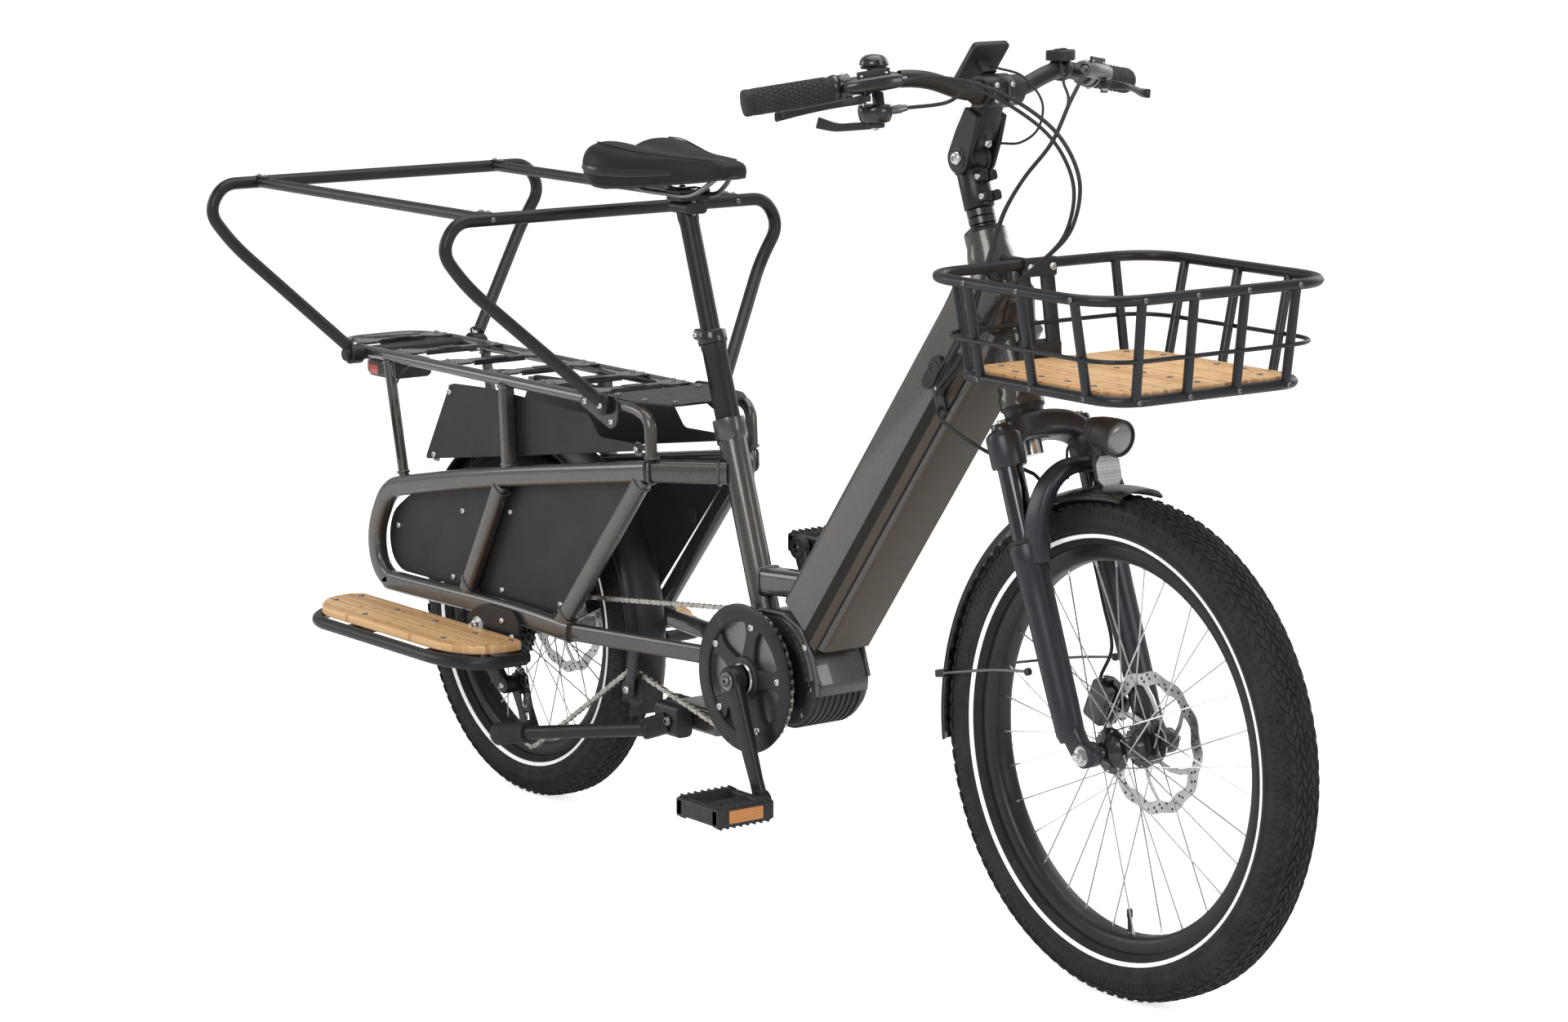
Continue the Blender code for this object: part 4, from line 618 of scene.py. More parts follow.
# ------------------------------------------------------------------ wheels
def tyre(name, body, axle, bead, blocks, hides):
    """A balloon tyre: a round carcass, moulded wall lines, and a tread of small raised blocks."""
    out = bead + 0.0625
    wall = [(0.0, out - 0.0016), (0.012, out - 0.0019), (0.0185, out - 0.0032), (0.024, out - 0.0068),
            (0.0282, out - 0.013), (0.0303, out - 0.021), (0.0308, bead + 0.034), (0.0301, bead + 0.0255),
            (0.0306, bead + 0.025), (0.0298, bead + 0.0235), (0.0288, bead + 0.019), (0.027, bead + 0.0135),
            (0.0273, bead + 0.0128), (0.0262, bead + 0.012), (0.0235, bead + 0.008), (0.0205, bead + 0.0052),
            (0.02, bead + 0.003), (0.017, bead + 0.0018)]
    profile = [(-y, r) for y, r in reversed(wall[1:])] + wall
    shapes = [lathe(profile, axle, Y, 120, True)]

    def at(y, r, turn):
        return axle + Vector((cos(turn) * r, y, sin(turn) * r))
    rows = [(-0.0268, 0.0052, out - 0.0095, 0.62, 0.5, 12), (-0.0195, 0.0062, out - 0.0036, 0.66, 0.0, -14),
            (-0.011, 0.0066, out - 0.0017, 0.7, 0.5, 18), (-0.003, 0.0062, out - 0.0013, 0.62, 0.0, -20),
            (0.0045, 0.006, out - 0.0013, 0.62, 0.5, 20), (0.012, 0.0066, out - 0.0018, 0.7, 0.0, -18),
            (0.02, 0.0062, out - 0.0038, 0.66, 0.5, 14), (0.0268, 0.0052, out - 0.0095, 0.62, 0.0, -12)]
    step = 2 * pi / blocks
    for y, wide, base, fill, lag, skew in rows:
        lean = max(-1.0, min(1.0, y / 0.03)) * 0.9
        rise = 0.0013 if abs(y) < 0.015 else 0.002
        points, faces = [], []
        for k in range(blocks):
            turn = (k + lag) * step
            for r_add, shrink in ((-0.001, 1.0), (rise, 0.84)):
                for a, b in ((-1, -1), (1, -1), (1, 1), (-1, 1)):
                    across = y + a * wide / 2 * shrink
                    angle = turn + b * step * fill / 2 * shrink + a * radians(skew) * step * 0.9
                    drop = abs(across) - abs(y)
                    points.append(at(across + sin(lean) * r_add,
                            base + r_add * cos(lean) - drop * max(0, lean * (1 if y > 0 else -1)) * 0.9,
                                     angle))
            s = k * 8
            faces += [(s + 4, s + 5, s + 6, s + 7)] + [(s + i, s + (i + 1) % 4, s + 4 + (i + 1) % 4,
                    s + 4 + i) for i in range(4)]
        shapes.append((points, faces))
    ribs = ([], [])
    for side in (-1, 1):
        for k in range(blocks * 2):
            turn = k * step / 2
            start = len(ribs[0])
            for y, r in ((0.0309, bead + 0.037), (0.031, out - 0.022), (0.0302, out - 0.0165)):
                ribs[0].extend([at(side * y, r, turn - 0.0012), at(side * (y + 0.0006), r, turn),
                        at(side * y, r, turn + 0.0012)])
            for i in (0, 3):
                for j in (0, 1):
                    ribs[1].append((start + i + j, start + i + j + 1, start + i + j + 4, start + i + j + 3))
    shapes.append(ribs)
    piece(name + "_rubber", body, "tyre", TYRE, *shapes, hides=hides, sharp=32)
    band = [(0.0262, bead + 0.0112), (0.028, bead + 0.012), (0.0291, bead + 0.016), (0.0281, bead + 0.0164)]
    piece(name + "_stripe", body, "tyre", STRIPE, both(lathe(band, axle, Y, 120, True)), sharp=60)
    piece(name + "_wall_lines", body, "tyre", RUBBER,
          both(lathe([(0.0288, bead + 0.0205), (0.0297, bead + 0.0208), (0.03, bead + 0.0216),
          (0.0288, bead + 0.0222)], axle, Y, 120, True)))


def wheel(name, body, axle, bead, span, rotor_y, hides, spokes=32, valve=-90):
    rim = [(0.017, bead + 0.0018), (0.0178, bead - 0.001), (0.0178, bead - 0.006), (0.017, bead - 0.012),
           (0.014, bead - 0.0168), (0.009, bead - 0.0188), (-0.009, bead - 0.0188), (-0.014, bead - 0.0168),
           (-0.017, bead - 0.012), (-0.0178, bead - 0.006), (-0.0178, bead - 0.001), (-0.017, bead + 0.0018),
           (-0.014, bead + 0.001), (-0.013, bead - 0.006), (0.013, bead - 0.006), (0.014, bead + 0.001)]
    piece(name + "_rim", body, "black_metal", SATIN, lathe(rim, axle, Y, 120, True), hides=hides, sharp=50)
    flange, wide = span * 0.52, 0.029
    hub = [(-span, 0), (-span, 0.0075), (-span + 0.006, 0.0085), (-span + 0.006, 0.0125),
            (-flange - 0.01, 0.015),
           (-flange - 0.003, 0.021), (-flange - 0.0018, wide), (-flange + 0.0016, wide),
           (-flange + 0.003, 0.02),
           (-flange + 0.012, 0.015), (0, 0.0138), (flange - 0.012, 0.015), (flange - 0.003, 0.02),
           (flange - 0.0016, wide), (flange + 0.0018, wide), (flange + 0.003, 0.021), (flange + 0.008, 0.018),
           (span - 0.006, 0.0125), (span - 0.006, 0.0085), (span, 0.0075), (span, 0)]
    piece(name + "_hub", body, "black_metal", GLOSS, lathe(hub, axle, Y, 48), sharp=40)
    wires, nipples, heads = [], [], []
    for k in range(spokes):
        side = 1 if k % 2 else -1
        out = 2 * pi * (k + 0.5) / spokes
        lead = radians(58) * (1 if (k // 2) % 2 else -1)
        foot = axle + Vector((cos(out + lead) * (wide - 0.004),
                side * (flange + (0.002 if (k // 2) % 2 else -0.002)),
                              sin(out + lead) * (wide - 0.004)))
        tip = axle + Vector((cos(out) * (bead - 0.017), side * 0.003, sin(out) * (bead - 0.017)))
        run = (tip - foot).normalized()
        wires.append(rod(foot, tip, 0.001, 8))
        nipples.append(lathe([(0, 0), (0, 0.0014), (0.009, 0.0018), (0.013, 0.0022), (0.014, 0)],
                tip - run * 0.01, run, 10))
        heads.append(lathe([(-0.0024, 0), (-0.0022, 0.0014), (-0.001, 0.002), (0.001, 0.002)], foot,
                Y * -side, 8))
    piece(name + "_spokes", body, "alloy", SILVER, *wires, *heads)
    piece(name + "_nipples", body, "alloy", SILVER, *nipples)
    stem = Vector((cos(radians(valve)), 0, sin(radians(valve))))
    foot = axle + stem * (bead - 0.018)
    piece(name + "_valve", body, "rubber", RUBBER,
          lathe([(0, 0.0042), (0.004, 0.004), (0.006, 0.0031), (0.02, 0.003), (0.0215, 0.004), (0.03, 0.0038),
          (0.0315, 0.003), (0.0315, 0)],
                foot, -stem, 20))
    piece(name + "_valve_core", body, "alloy", SILVER, lathe([(0, 0.0046), (0.003, 0.0046), (0.003, 0)], foot,
            -stem, 6))
    disc(name, body, axle, rotor_y)


def disc(name, body, axle, y):
    """The brake disc: a wavy braking ring with slots and holes, on curved arms with six bolts; the holes are
    black plugs, painted shade in place of open holes.
    """
    at = axle + Vector((0, y, 0))
    n, outer, inner = 216, 0.0895, 0.0735
    points, faces = [], []
    for face in (-0.0009, 0.0009):
        for k in range(n):
            a = 2 * pi * k / n
            points.append(at + Vector((cos(a) * (outer + 0.0018 * cos(12 * a)), face,
                    sin(a) * (outer + 0.0018 * cos(12 * a)))))
        for k in range(n):
            a = 2 * pi * k / n
            points.append(at + Vector((cos(a) * (inner + 0.0022 * cos(12 * a + 1)), face,
                    sin(a) * (inner + 0.0022 * cos(12 * a + 1)))))
    for k in range(n):
        m = (k + 1) % n
        low, up = 0, 2 * n
        faces += [(low + k, low + m, low + n + m, low + n + k), (up + n + k, up + n + m, up + m, up + k),
                  (low + m, low + k, up + k, up + m), (low + n + k, low + n + m, up + n + m, up + n + k)]
    arms = []
    for k in range(6):
        a = 2 * pi * k / 6
        path = [at + Vector((cos(a + t * 0.75) * r, 0, sin(a + t * 0.75) * r))
                for t, r in ((0, 0.02), (0.25, 0.032), (0.5, 0.044), (0.75, 0.058), (1.0, 0.0745))]
        arms.append(sweep(path, rounded(0.0016, 0.0075, 0.0006, 1), Y))
    carrier = lathe([(-0.001, 0.0115), (-0.001, 0.0265), (0.0012, 0.0265), (0.0012, 0.0115)], at, Y, 60, True)
    piece(name + "_disc", body, "alloy", DISC, (points, faces), *arms, carrier, sharp=30)
    holes, bolts = [], []
    for k in range(36):
        a = 2 * pi * k / 36 + 0.04
        for j, r in enumerate((0.077, 0.0815, 0.086)):
            if (k + j) % 3:
                continue_at = at + Vector((cos(a + j * 0.045) * r, 0, sin(a + j * 0.045) * r))
                holes.append(lathe([(-0.00105, 0), (-0.00105, 0.0019), (0.00105, 0.0019), (0.00105, 0)],
                        continue_at, Y, 10))
    for k in range(6):
        a = 2 * pi * (k + 0.5) / 6
        bolts.append(screw(at + Vector((cos(a) * 0.022, 0.0012, sin(a) * 0.022)), Y, 0.004, 12))
    # The disc's holes are black plugs: painted shade in place of open holes.
    piece(name + "_disc_hole_shade", body, "black_metal", RUBBER, *holes)
    piece(name + "_disc_bolts", body, "alloy", GREYS, *bolts)


tyre("front_tyre", "wheel_front", FRONT_AXLE, FRONT_BEAD, 104, ["front_tyre"])
tyre("rear_tyre", "wheel_rear", REAR_AXLE, REAR_BEAD, 88, ["rear_tyre"])
wheel("front", "wheel_front", FRONT_AXLE, FRONT_BEAD, 0.048, 0.0425, ["front_wheel"], 32, -87)
wheel("rear", "wheel_rear", REAR_AXLE, REAR_BEAD, 0.072, 0.052, ["rear_wheel"], 36, 150)


# ------------------------------------------------------------------ main frame
def main_frame():
    head = lathe([(HEAD_LOW, 0.0228), (HEAD_LOW, 0.0285), (HEAD_LOW + 0.012, 0.0288),
            (HEAD_LOW + 0.018, 0.0262),
                  (HEAD_LOW + 0.05, 0.026), (HEAD_TOP - 0.062, 0.0262), (HEAD_TOP - 0.052, 0.03),
                  (HEAD_TOP - 0.03, 0.0296),
                  (HEAD_TOP - 0.016, 0.0268), (HEAD_TOP - 0.01, 0.0272), (HEAD_TOP, 0.0272),
                  (HEAD_TOP, 0.0228)],
                 STEER_FOOT, STEER_UP, 64)
    shell_low, shell_high = -0.045, 0.532
    body = sweep([down(shell_high, 0.052), down(shell_low + 0.03, 0.052), down(shell_low, 0.05)],
                 rounded(0.104, 0.09, 0.013, 6), DOWN_FORE)
    nose = sweep([down(-0.04, 0.048), down(-0.062, 0.044), down(-0.086, 0.04)],
            rounded(0.096, 0.082, 0.02, 6), DOWN_FORE,
                 scale=lambda t: 1 - 0.3 * t)
    long = (SEAT_TOP - SEAT_LOW).length - 0.002
    seat = lathe([(0, 0.018), (0, 0.0195), (long, 0.0195), (long, 0.018)], SEAT_LOW, SEAT_UP, 48, True)
    collar = lathe([(-0.03, 0.0197), (-0.026, 0.0225), (0, 0.0225), (0, 0.0182)], SEAT_TOP, SEAT_UP, 48)
    link = bar((0.5612, 0, 0.4101), (0.672, 0, 0.4185), 0.038, 0.036, 0.009)
    piece("frame_tubes", "frame", "frame_paint", PAINT, head, body, nose, seat, collar, link,
            hides=["main_frame"], sharp=42)
    cradle = sweep(smooth([(0.548, 0, 0.35), (0.575, 0, 0.366), (0.605, 0, 0.3745), (0.65, 0, 0.3765),
            (0.685, 0, 0.364),
                           (0.708, 0, 0.335), (0.722, 0, 0.3), (0.7235, 0, 0.282)], 4),
                           rounded(0.086, 0.012, 0.003, 2), Y)
    lip = both(sweep(smooth([(0.552, -0.041, 0.338), (0.575, -0.041, 0.354), (0.605, -0.041, 0.363),
            (0.648, -0.041, 0.3645),
                             (0.676, -0.041, 0.353), (0.696, -0.041, 0.33), (0.708, -0.041, 0.3)], 4),
                             rounded(0.005, 0.024, 0.002, 2), Y))
    yoke = bar((0.5, 0, 0.298), (0.556, 0, 0.345), 0.06, 0.026, 0.006)
    stand = [bar((0.385, 0, 0.196), (0.48, 0, 0.196), 0.064, 0.036, 0.006),
             bar((0.44, 0, 0.2), (0.52, 0, 0.3), 0.04, 0.022, 0.006)]
    piece("motor_cradle", "frame", "frame_paint", PAINT, cradle, lip, yoke, *stand, sharp=42)
    seams = [bead(ringed((0.564, 0, 0.4103), (0.132, 0, 0.01), 0, 0.0385, 0.0365, 0.009)),
             bead(ringed((0.661, 0, 0.4177), (0.132, 0, 0.01), 0, 0.0385, 0.0365, 0.009)),
             bead(ringed(down(-0.043, 0.05), DOWN_DIR, 0, 0.1, 0.086, 0.016, DOWN_FORE), 0.0032),
             bead(ringed(down(-0.085, 0.04), DOWN_DIR, 0, 0.07, 0.06, 0.014, DOWN_FORE), 0.0034),
             both(bead([(0.575, -0.043, 0.372), (0.605, -0.0435, 0.381), (0.65, -0.0435, 0.383),
             (0.69, -0.0435, 0.369),
                        (0.716, -0.0435, 0.337), (0.729, -0.0435, 0.3)], 0.0028, False)),
             bead(ringed(SEAT_LOW + SEAT_UP * 0.012, SEAT_UP, 0.0196))]
    piece("frame_welds", "frame", "frame_paint", PAINT, *seams, sharp=60)
    rings = [lathe([(HEAD_LOW - 0.004, 0.0225), (HEAD_LOW - 0.004, 0.0282), (HEAD_LOW - 0.0006, 0.0286),
            (HEAD_LOW - 0.0006, 0.0225)],
                   STEER_FOOT, STEER_UP, 48, True),
             lathe([(HEAD_TOP + 0.0002, 0.019), (HEAD_TOP + 0.0002, 0.027), (HEAD_TOP + 0.0035, 0.0262),
             (HEAD_TOP + 0.0075, 0.0205), (HEAD_TOP + 0.0075, 0.019)],
                   STEER_FOOT, STEER_UP, 48, True)]
    piece("headset_low", "frame", "black_metal", SATIN, rings[0])
    piece("headset_top", "steering", "black_metal", SATIN, rings[1])


def battery_face():
    """The battery in the down tube: a dark groove, drawn as a near-black strip whose dark is partly the black
    battery case and partly painted shade, a bevelled cover with round ends and a light seam.
    """
    def strip(low, high, tall, depth, proud, corner):
        outline = [(a, b) for a, b in rounded(high - low, tall, corner, 8)]
        middle = (low + high) / 2
        return slab(outline, down(middle, depth, -0.0452 - proud / 2 + 0.0015), proud, DOWN_DIR, DOWN_FORE)
    for word, flip in (("right", False), ("left", True)):
        turn = mirrored if flip else (lambda shape: shape)
        # The groove is a near-black strip laid on the tube: painted shade of the groove over the black
        # battery case.
        piece("battery_groove_shade_" + word, "frame", "battery_case", CASE,
                turn(strip(0.012, 0.545, 0.02, 0.0725, 0.0016, 0.004)),
              hides=["battery"] if not flip else (), bevel=0.0006)
        piece("battery_cover_" + word, "frame", "battery_case", BEVEL,
                turn(strip(0.016, 0.538, 0.015, 0.088, 0.0026, 0.003)), bevel=0.0012)
        piece("battery_seam_" + word, "frame", "battery_case", CASE,
                turn(strip(0.012, 0.541, 0.0022, 0.0964, 0.0024, 0.0008)))
    pack = bar(down(0.01, 0.103), down(0.53, 0.103), 0.076, 0.006, 0.0025, Y)
    piece("battery_belly", "frame", "battery_case", BEVEL, pack, sharp=50)
    latch = lathe([(0, 0.0085), (0.0012, 0.0085), (0.0016, 0.007), (0.001, 0.005), (0.001, 0)],
            down(0.47, 0.03, -0.0452), -Y, 32)
    piece("battery_lock", "frame", "black_plastic", PLASTIC, mirrored(latch))


def charge_cap():
    """The charging port's rubber cap: two round lobes joined by a waist, with a pull tab."""
    up, across = -DOWN_DIR, DOWN_FORE
    middle = down(0.068, 0.045, -0.0458)
    outline = []
    for k in range(48):
        a = 2 * pi * k / 48
        r = 0.0165 + 0.0065 * cos(2 * a) + (0.0015 * cos(a))
        outline.append((cos(a) * r * 1.15, sin(a) * r * 0.92))
    piece("charge_cap_body", "charge_cap", "rubber", RUBBER,
          slab(outline, middle + Vector((0, -0.002, 0)), 0.0036, up, across), hides=["charge_flap"],
          bevel=0.001)
    piece("charge_cap_ring", "charge_cap", "rubber", PLASTIC,
          lathe([(0, 0.0098), (0.001, 0.0098), (0.001, 0.0078), (0, 0.0078)],
          middle + up * 0.009 + Vector((0, -0.0037, 0)), -Y, 36, True))


def motor():
    """The drive unit: a ribbed black case round the crank axle with a smooth cover on each side."""
    front = Vector((0.645, 0, 0.292))
    case = lathe([(-0.036, 0), (-0.036, 0.058), (-0.033, 0.064), (-0.026, 0.0668), (0.052, 0.0668),
            (0.062, 0.06), (0.066, 0.05), (0.066, 0)],
                 front, Y, 72)
    hub = lathe([(-0.0362, 0.0135), (-0.0362, 0.04), (-0.03, 0.0438), (0.034, 0.0438), (0.04, 0.038),
            (0.04, 0.0135)], CRANK_AXLE, Y, 56, True)
    piece("motor_case", "frame", "black_plastic", PLASTIC, case, hub, hides=["motor"], sharp=35)
    ribs = []
    for y in (-0.026, -0.016, -0.006, 0.004, 0.014, 0.024, 0.034, 0.044):
        ribs.append(lathe([(y - 0.0016, 0.0662), (y - 0.0012, 0.069), (y + 0.0012, 0.069),
                (y + 0.0016, 0.0662)], front, Y, 72, True))
    piece("motor_ribs", "frame", "black_plastic", PLASTIC, *ribs, sharp=35)
    cover = lathe([(-0.0385, 0), (-0.0385, 0.03), (-0.0375, 0.046), (-0.0355, 0.05), (-0.035, 0.05)],
            front + Vector((0.006, 0, 0)), Y, 56)
    bolts = [screw(front + Vector((cos(a) * 0.057, -0.0352, sin(a) * 0.057)), -Y, 0.0042)
            for a in (radians(t) for t in (-95, -50, -5, 40, 85))]
    piece("motor_cover", "frame", "black_plastic", GLOSS, cover)
    piece("motor_bolts", "frame", "steel", GREYS, *bolts)
    piece("cradle_bolts", "frame", "steel", SILVER, *[both(screw(at, -Y, 0.005)) for at in
          (Vector((0.7, -0.0436, 0.345)), Vector((0.612, -0.0436, 0.366)), Vector((0.56, -0.0436, 0.347)))])


main_frame()
battery_face()
charge_cap()
motor()


# ------------------------------------------------------------------ side frames
TAIL = [(0.404, 0.548), (0.049, 0.4915), (-0.2, 0.445), (-0.262, 0.427), (-0.292, 0.39), (-0.3045, 0.352),
        (-0.298, 0.314),
        (-0.272, 0.291), (-0.235, 0.2886), (0.0465, 0.2935), (0.214, 0.289)]


def flat(spot):
    return Vector((spot[0], -SIDE_Y, spot[1]))


def side_frame(side):
    word = "right" if side < 0 else "left"
    rail = sweep(smooth([flat(p) for p in TAIL], 8), rounded(0.022, 0.03, 0.008), Y)
    bars = [bar(flat((0.038, 0.48)), flat((-0.056, 0.306)), 0.0195, 0.027, 0.007),
            bar(flat((0.392, 0.538)), flat((0.19, 0.298)), 0.0195, 0.027, 0.007),
            bar((0.4, -SIDE_Y + 0.002, 0.548), (0.489, -0.0145, 0.551), 0.02, 0.032, 0.008),
            bar((0.208, -SIDE_Y + 0.001, 0.289), (0.513, -0.037, 0.297), 0.014, 0.026, 0.006)]
    piece("side_rail_" + word, "frame", "frame_paint", PAINT, side_of(join(rail, *bars), side),
            hides=["side_frame_" + word], sharp=45)
    drop = slab([(-0.03, -0.026), (0.024, -0.03), (0.034, -0.018), (0.034, 0.018), (0.022, 0.028),
            (-0.024, 0.028), (-0.034, 0.014), (-0.034, -0.016)],
                (0.001, -SIDE_Y - 0.0005, 0.2665), 0.012)
    piece("dropout_" + word, "frame", "frame_paint", PAINT, side_of(drop, side), bevel=0.002)
    run = (flat((0.038, 0.48)) - flat((-0.056, 0.306))).normalized()
    brace = (flat((0.392, 0.538)) - flat((0.19, 0.298))).normalized()
    seams = [bead(ringed(flat((0.0345, 0.4725)), run + Vector((0.25, 0, 0)), 0, 0.0205, 0.03, 0.008), 0.0022),
             bead(ringed(flat((-0.049, 0.318)), run + Vector((0.5, 0, 0)), 0, 0.0205, 0.031, 0.008), 0.0022),
             bead(ringed(flat((0.383, 0.53)), brace, 0, 0.0205, 0.03, 0.008), 0.0022),
             bead(ringed(flat((0.203, 0.313)), brace, 0, 0.0205, 0.03, 0.008), 0.0022),
             bead(ringed(Vector((0.479, -0.0222, 0.5507)), Vector((0.089, 0.0725, 0.003)), 0, 0.0205, 0.0325,
             0.008), 0.0024),
             bead(ringed(flat((0.404, 0.548)) + Vector((0.004, 0.002, 0)), Vector((1, 0.3, 0.05)), 0, 0.0215,
             0.0325, 0.008), 0.0022)]
    piece("side_welds_" + word, "frame", "frame_paint", PAINT, side_of(join(*seams), side), sharp=60)


side_frame(-1)
side_frame(1)
IDLER_AT, GUIDE_AT, TENSION_AT = Vector((0.322, CHAIN_Y, 0.222)), Vector((0.03, CHAIN_Y,
        0.178)), Vector((0.062, CHAIN_Y, 0.108))
piece("idler_bracket", "frame", "black_metal", SATIN,
      bar((0.326, -0.0655, 0.222), (0.336, -0.066, 0.2845), 0.0045, 0.02, 0.0018),
      lathe([(-0.068, 0), (-0.068, 0.0125), (-0.067, 0.014), (-0.0635, 0.014), (-0.063, 0.013),
      (-0.063, 0.0042), (-0.05, 0.0042), (-0.05, 0)],
            (IDLER_AT.x, 0, IDLER_AT.z), Y, 36), sharp=40)
piece("idler_bolt", "frame", "steel", SILVER, screw((IDLER_AT.x, -0.068, IDLER_AT.z), -Y, 0.006))


def panels(side):
    """The dark sheets behind the rails, with their silver screws."""
    word = "right" if side < 0 else "left"
    y = -SIDE_Y + 0.0136
    upper = slab(arcs([(-0.188, 0.484), (-0.118, 0.607), (-0.01, 0.612), (0.24, 0.606), (0.266, 0.577),
            (0.388, 0.58), (0.388, 0.574), (0.049, 0.52)],
                      [0.01, 0.012, 0.01, 0.008, 0.008, 0.005, 0.003, 0.002], 4), (0, y, 0), 0.0024)
    lower = slab(arcs([(-0.225, 0.428), (-0.28, 0.392), (-0.292, 0.352), (-0.281, 0.318), (-0.255, 0.303),
            (0.18, 0.305), (0.375, 0.527), (0.049, 0.48)],
                      [0.02, 0.02, 0.02, 0.02, 0.012, 0.012, 0.01, 0.002], 4), (0, y, 0), 0.0024)
    piece("panel_sheets_" + word, "frame", "black_plastic", SHEET, side_of(join(upper, lower), side),
            hides=["side_panel_" + word], bevel=0.0007)
    spots = [(-0.118, 0.594), (-0.162, 0.494), (0.046, 0.598), (0.356, 0.5715), (-0.262, 0.372),
            (-0.085, 0.42), (-0.112, 0.316), (0.04, 0.437),
             (0.29, 0.452), (0.018, 0.317), (0.168, 0.32)]
    piece("panel_screws_" + word, "frame", "steel", SILVER, side_of(join(*[screw((x, y - 0.0012, z), -Y,
            0.005, 16) for x, z in spots]), side))
    tabs = [slab(rounded(0.016, 0.02, 0.004), (x, y + 0.0024, z), 0.002) for x, z in spots]
    piece("panel_tabs_" + word, "frame", "frame_paint", PAINT, side_of(join(*tabs), side), bevel=0.0004)


panels(-1)
panels(1)


# ------------------------------------------------------------------ rack
def rack():
    ring = [Vector((0.409, -SIDE_Y, 0.566)), Vector((0.405, -SIDE_Y, 0.622)),
            Vector((0.372, -SIDE_Y, RACK_Z)), Vector((-0.372, -SIDE_Y, RACK_Z)),
            Vector((-0.43, -0.06, RACK_Z)), Vector((-0.43, 0.06, RACK_Z)), Vector((-0.372, SIDE_Y, RACK_Z)),
            Vector((0.372, SIDE_Y, RACK_Z)),
            Vector((0.405, SIDE_Y, 0.622)), Vector((0.409, SIDE_Y, 0.566))]
    rail = pipe(arcs(ring, [0, 0.03, 0.022, 0.04, 0.03, 0.03, 0.04, 0.022, 0.03, 0], 7, False), 0.0085, 24)
    legs = both(join(rod((-0.268, -SIDE_Y, RACK_Z - 0.002), (-0.2265, -SIDE_Y, 0.452), 0.008, 20),
                     bar((0.049, -SIDE_Y, RACK_Z - 0.004), (0.0575, -SIDE_Y, 0.506), 0.018, 0.0215, 0.006,
                     X)))
    piece("rack_rails", "frame", "frame_paint", PAINT, rail, legs, hides=["rack"], sharp=45)
    seams = both(join(bead(ringed((0.0493, -SIDE_Y, RACK_Z - 0.009), Z, 0, 0.0225, 0.019, 0.006, X), 0.0018),
                      bead(ringed((0.057, -SIDE_Y, 0.5105), Z, 0, 0.0225, 0.019, 0.006, X), 0.002),
                      bead(ringed((-0.266, -SIDE_Y, RACK_Z - 0.0098), (0.04, 0, -0.18), 0.0085), 0.0017),
                      bead(ringed((-0.2285, -SIDE_Y, 0.46), (0.04, 0, -0.18), 0.0085), 0.0018),
                      bead(ringed((0.409, -SIDE_Y, 0.568), (0.0, 0, 1), 0.009), 0.0018)))
    piece("rack_welds", "frame", "frame_paint", PAINT, seams, sharp=60)
    plates, bolts, lips = [], [], []
    for k, x in enumerate((-0.372, -0.235, -0.105, 0.02, 0.145, 0.245)):
        half = 0.0865 if k else 0.082
        outline = arcs([(-0.022, -half), (0.022, -half), (0.022, -half + 0.028), (0.01, -half + 0.04),
                (0.01, half - 0.04), (0.022, half - 0.028),
                        (0.022, half), (-0.022, half), (-0.022, half - 0.028), (-0.01, half - 0.04),
                        (-0.01, -half + 0.04), (-0.022, -half + 0.028)],
                       0.004, 3)
        plates.append(slab([(p[0], p[1]) for p in outline], (x, 0, RACK_Z + 0.0072), 0.003, X, Y))
        for s in (-1, 1):
            lips.append(bar((x + s * 0.0085, -half + 0.042, RACK_Z + 0.0052),
                    (x + s * 0.0085, half - 0.042, RACK_Z + 0.0052), 0.0022, 0.008, 0.0008, X))
            for j in (-0.012, 0.012):
                bolts.append(screw((x + j, s * (half - 0.008), RACK_Z + 0.0087), Z, 0.004, 12))
        lips.append(bar((x - 0.01, 0, RACK_Z + 0.0087), (x + 0.01, 0, RACK_Z + 0.0087), 0.03, 0.0024, 0.0008,
                Y))
    piece("rack_plates", "frame", "black_metal", GLOSS, *plates, bevel=0.0006)
    piece("rack_plate_ribs", "frame", "black_metal", SATIN, *lips, sharp=50)
    deck = arcs([(0.292, -0.089), (0.384, -0.089), (0.428, -0.064), (0.428, 0.064), (0.384, 0.089),
            (0.292, 0.089)], [0.006, 0.012, 0.012, 0.012, 0.012, 0.006], 5)
    piece("rack_deck", "frame", "black_metal", SATIN, slab(deck, (0, 0, 0.6402), 0.0034, X, Y), bevel=0.001)
    bolts += [screw((x, y, 0.6419), Z, 0.0052, 16) for x, y in ((0.306, -0.07), (0.306, 0.07), (0.368, -0.07),
            (0.368, 0.07), (0.408, -0.046), (0.408, 0.046))]
    piece("rack_bolts", "frame", "steel", GREYS, *bolts)
    cross = lathe([(-0.127, 0), (-0.127, 0.0085), (-0.1258, 0.01), (0.1258, 0.01), (0.127, 0.0085),
            (0.127, 0)], (-0.328, 0, 0.6292), Y, 32)
    piece("cross_tube", "frame", "black_metal", SATIN, cross)
    piece("cross_tube_caps", "frame", "black_plastic", RUBBER,
          both(lathe([(-0.1274, 0), (-0.1274, 0.0062), (-0.1262, 0.0075)], (-0.328, 0, 0.6292), Y, 32)))


rack()


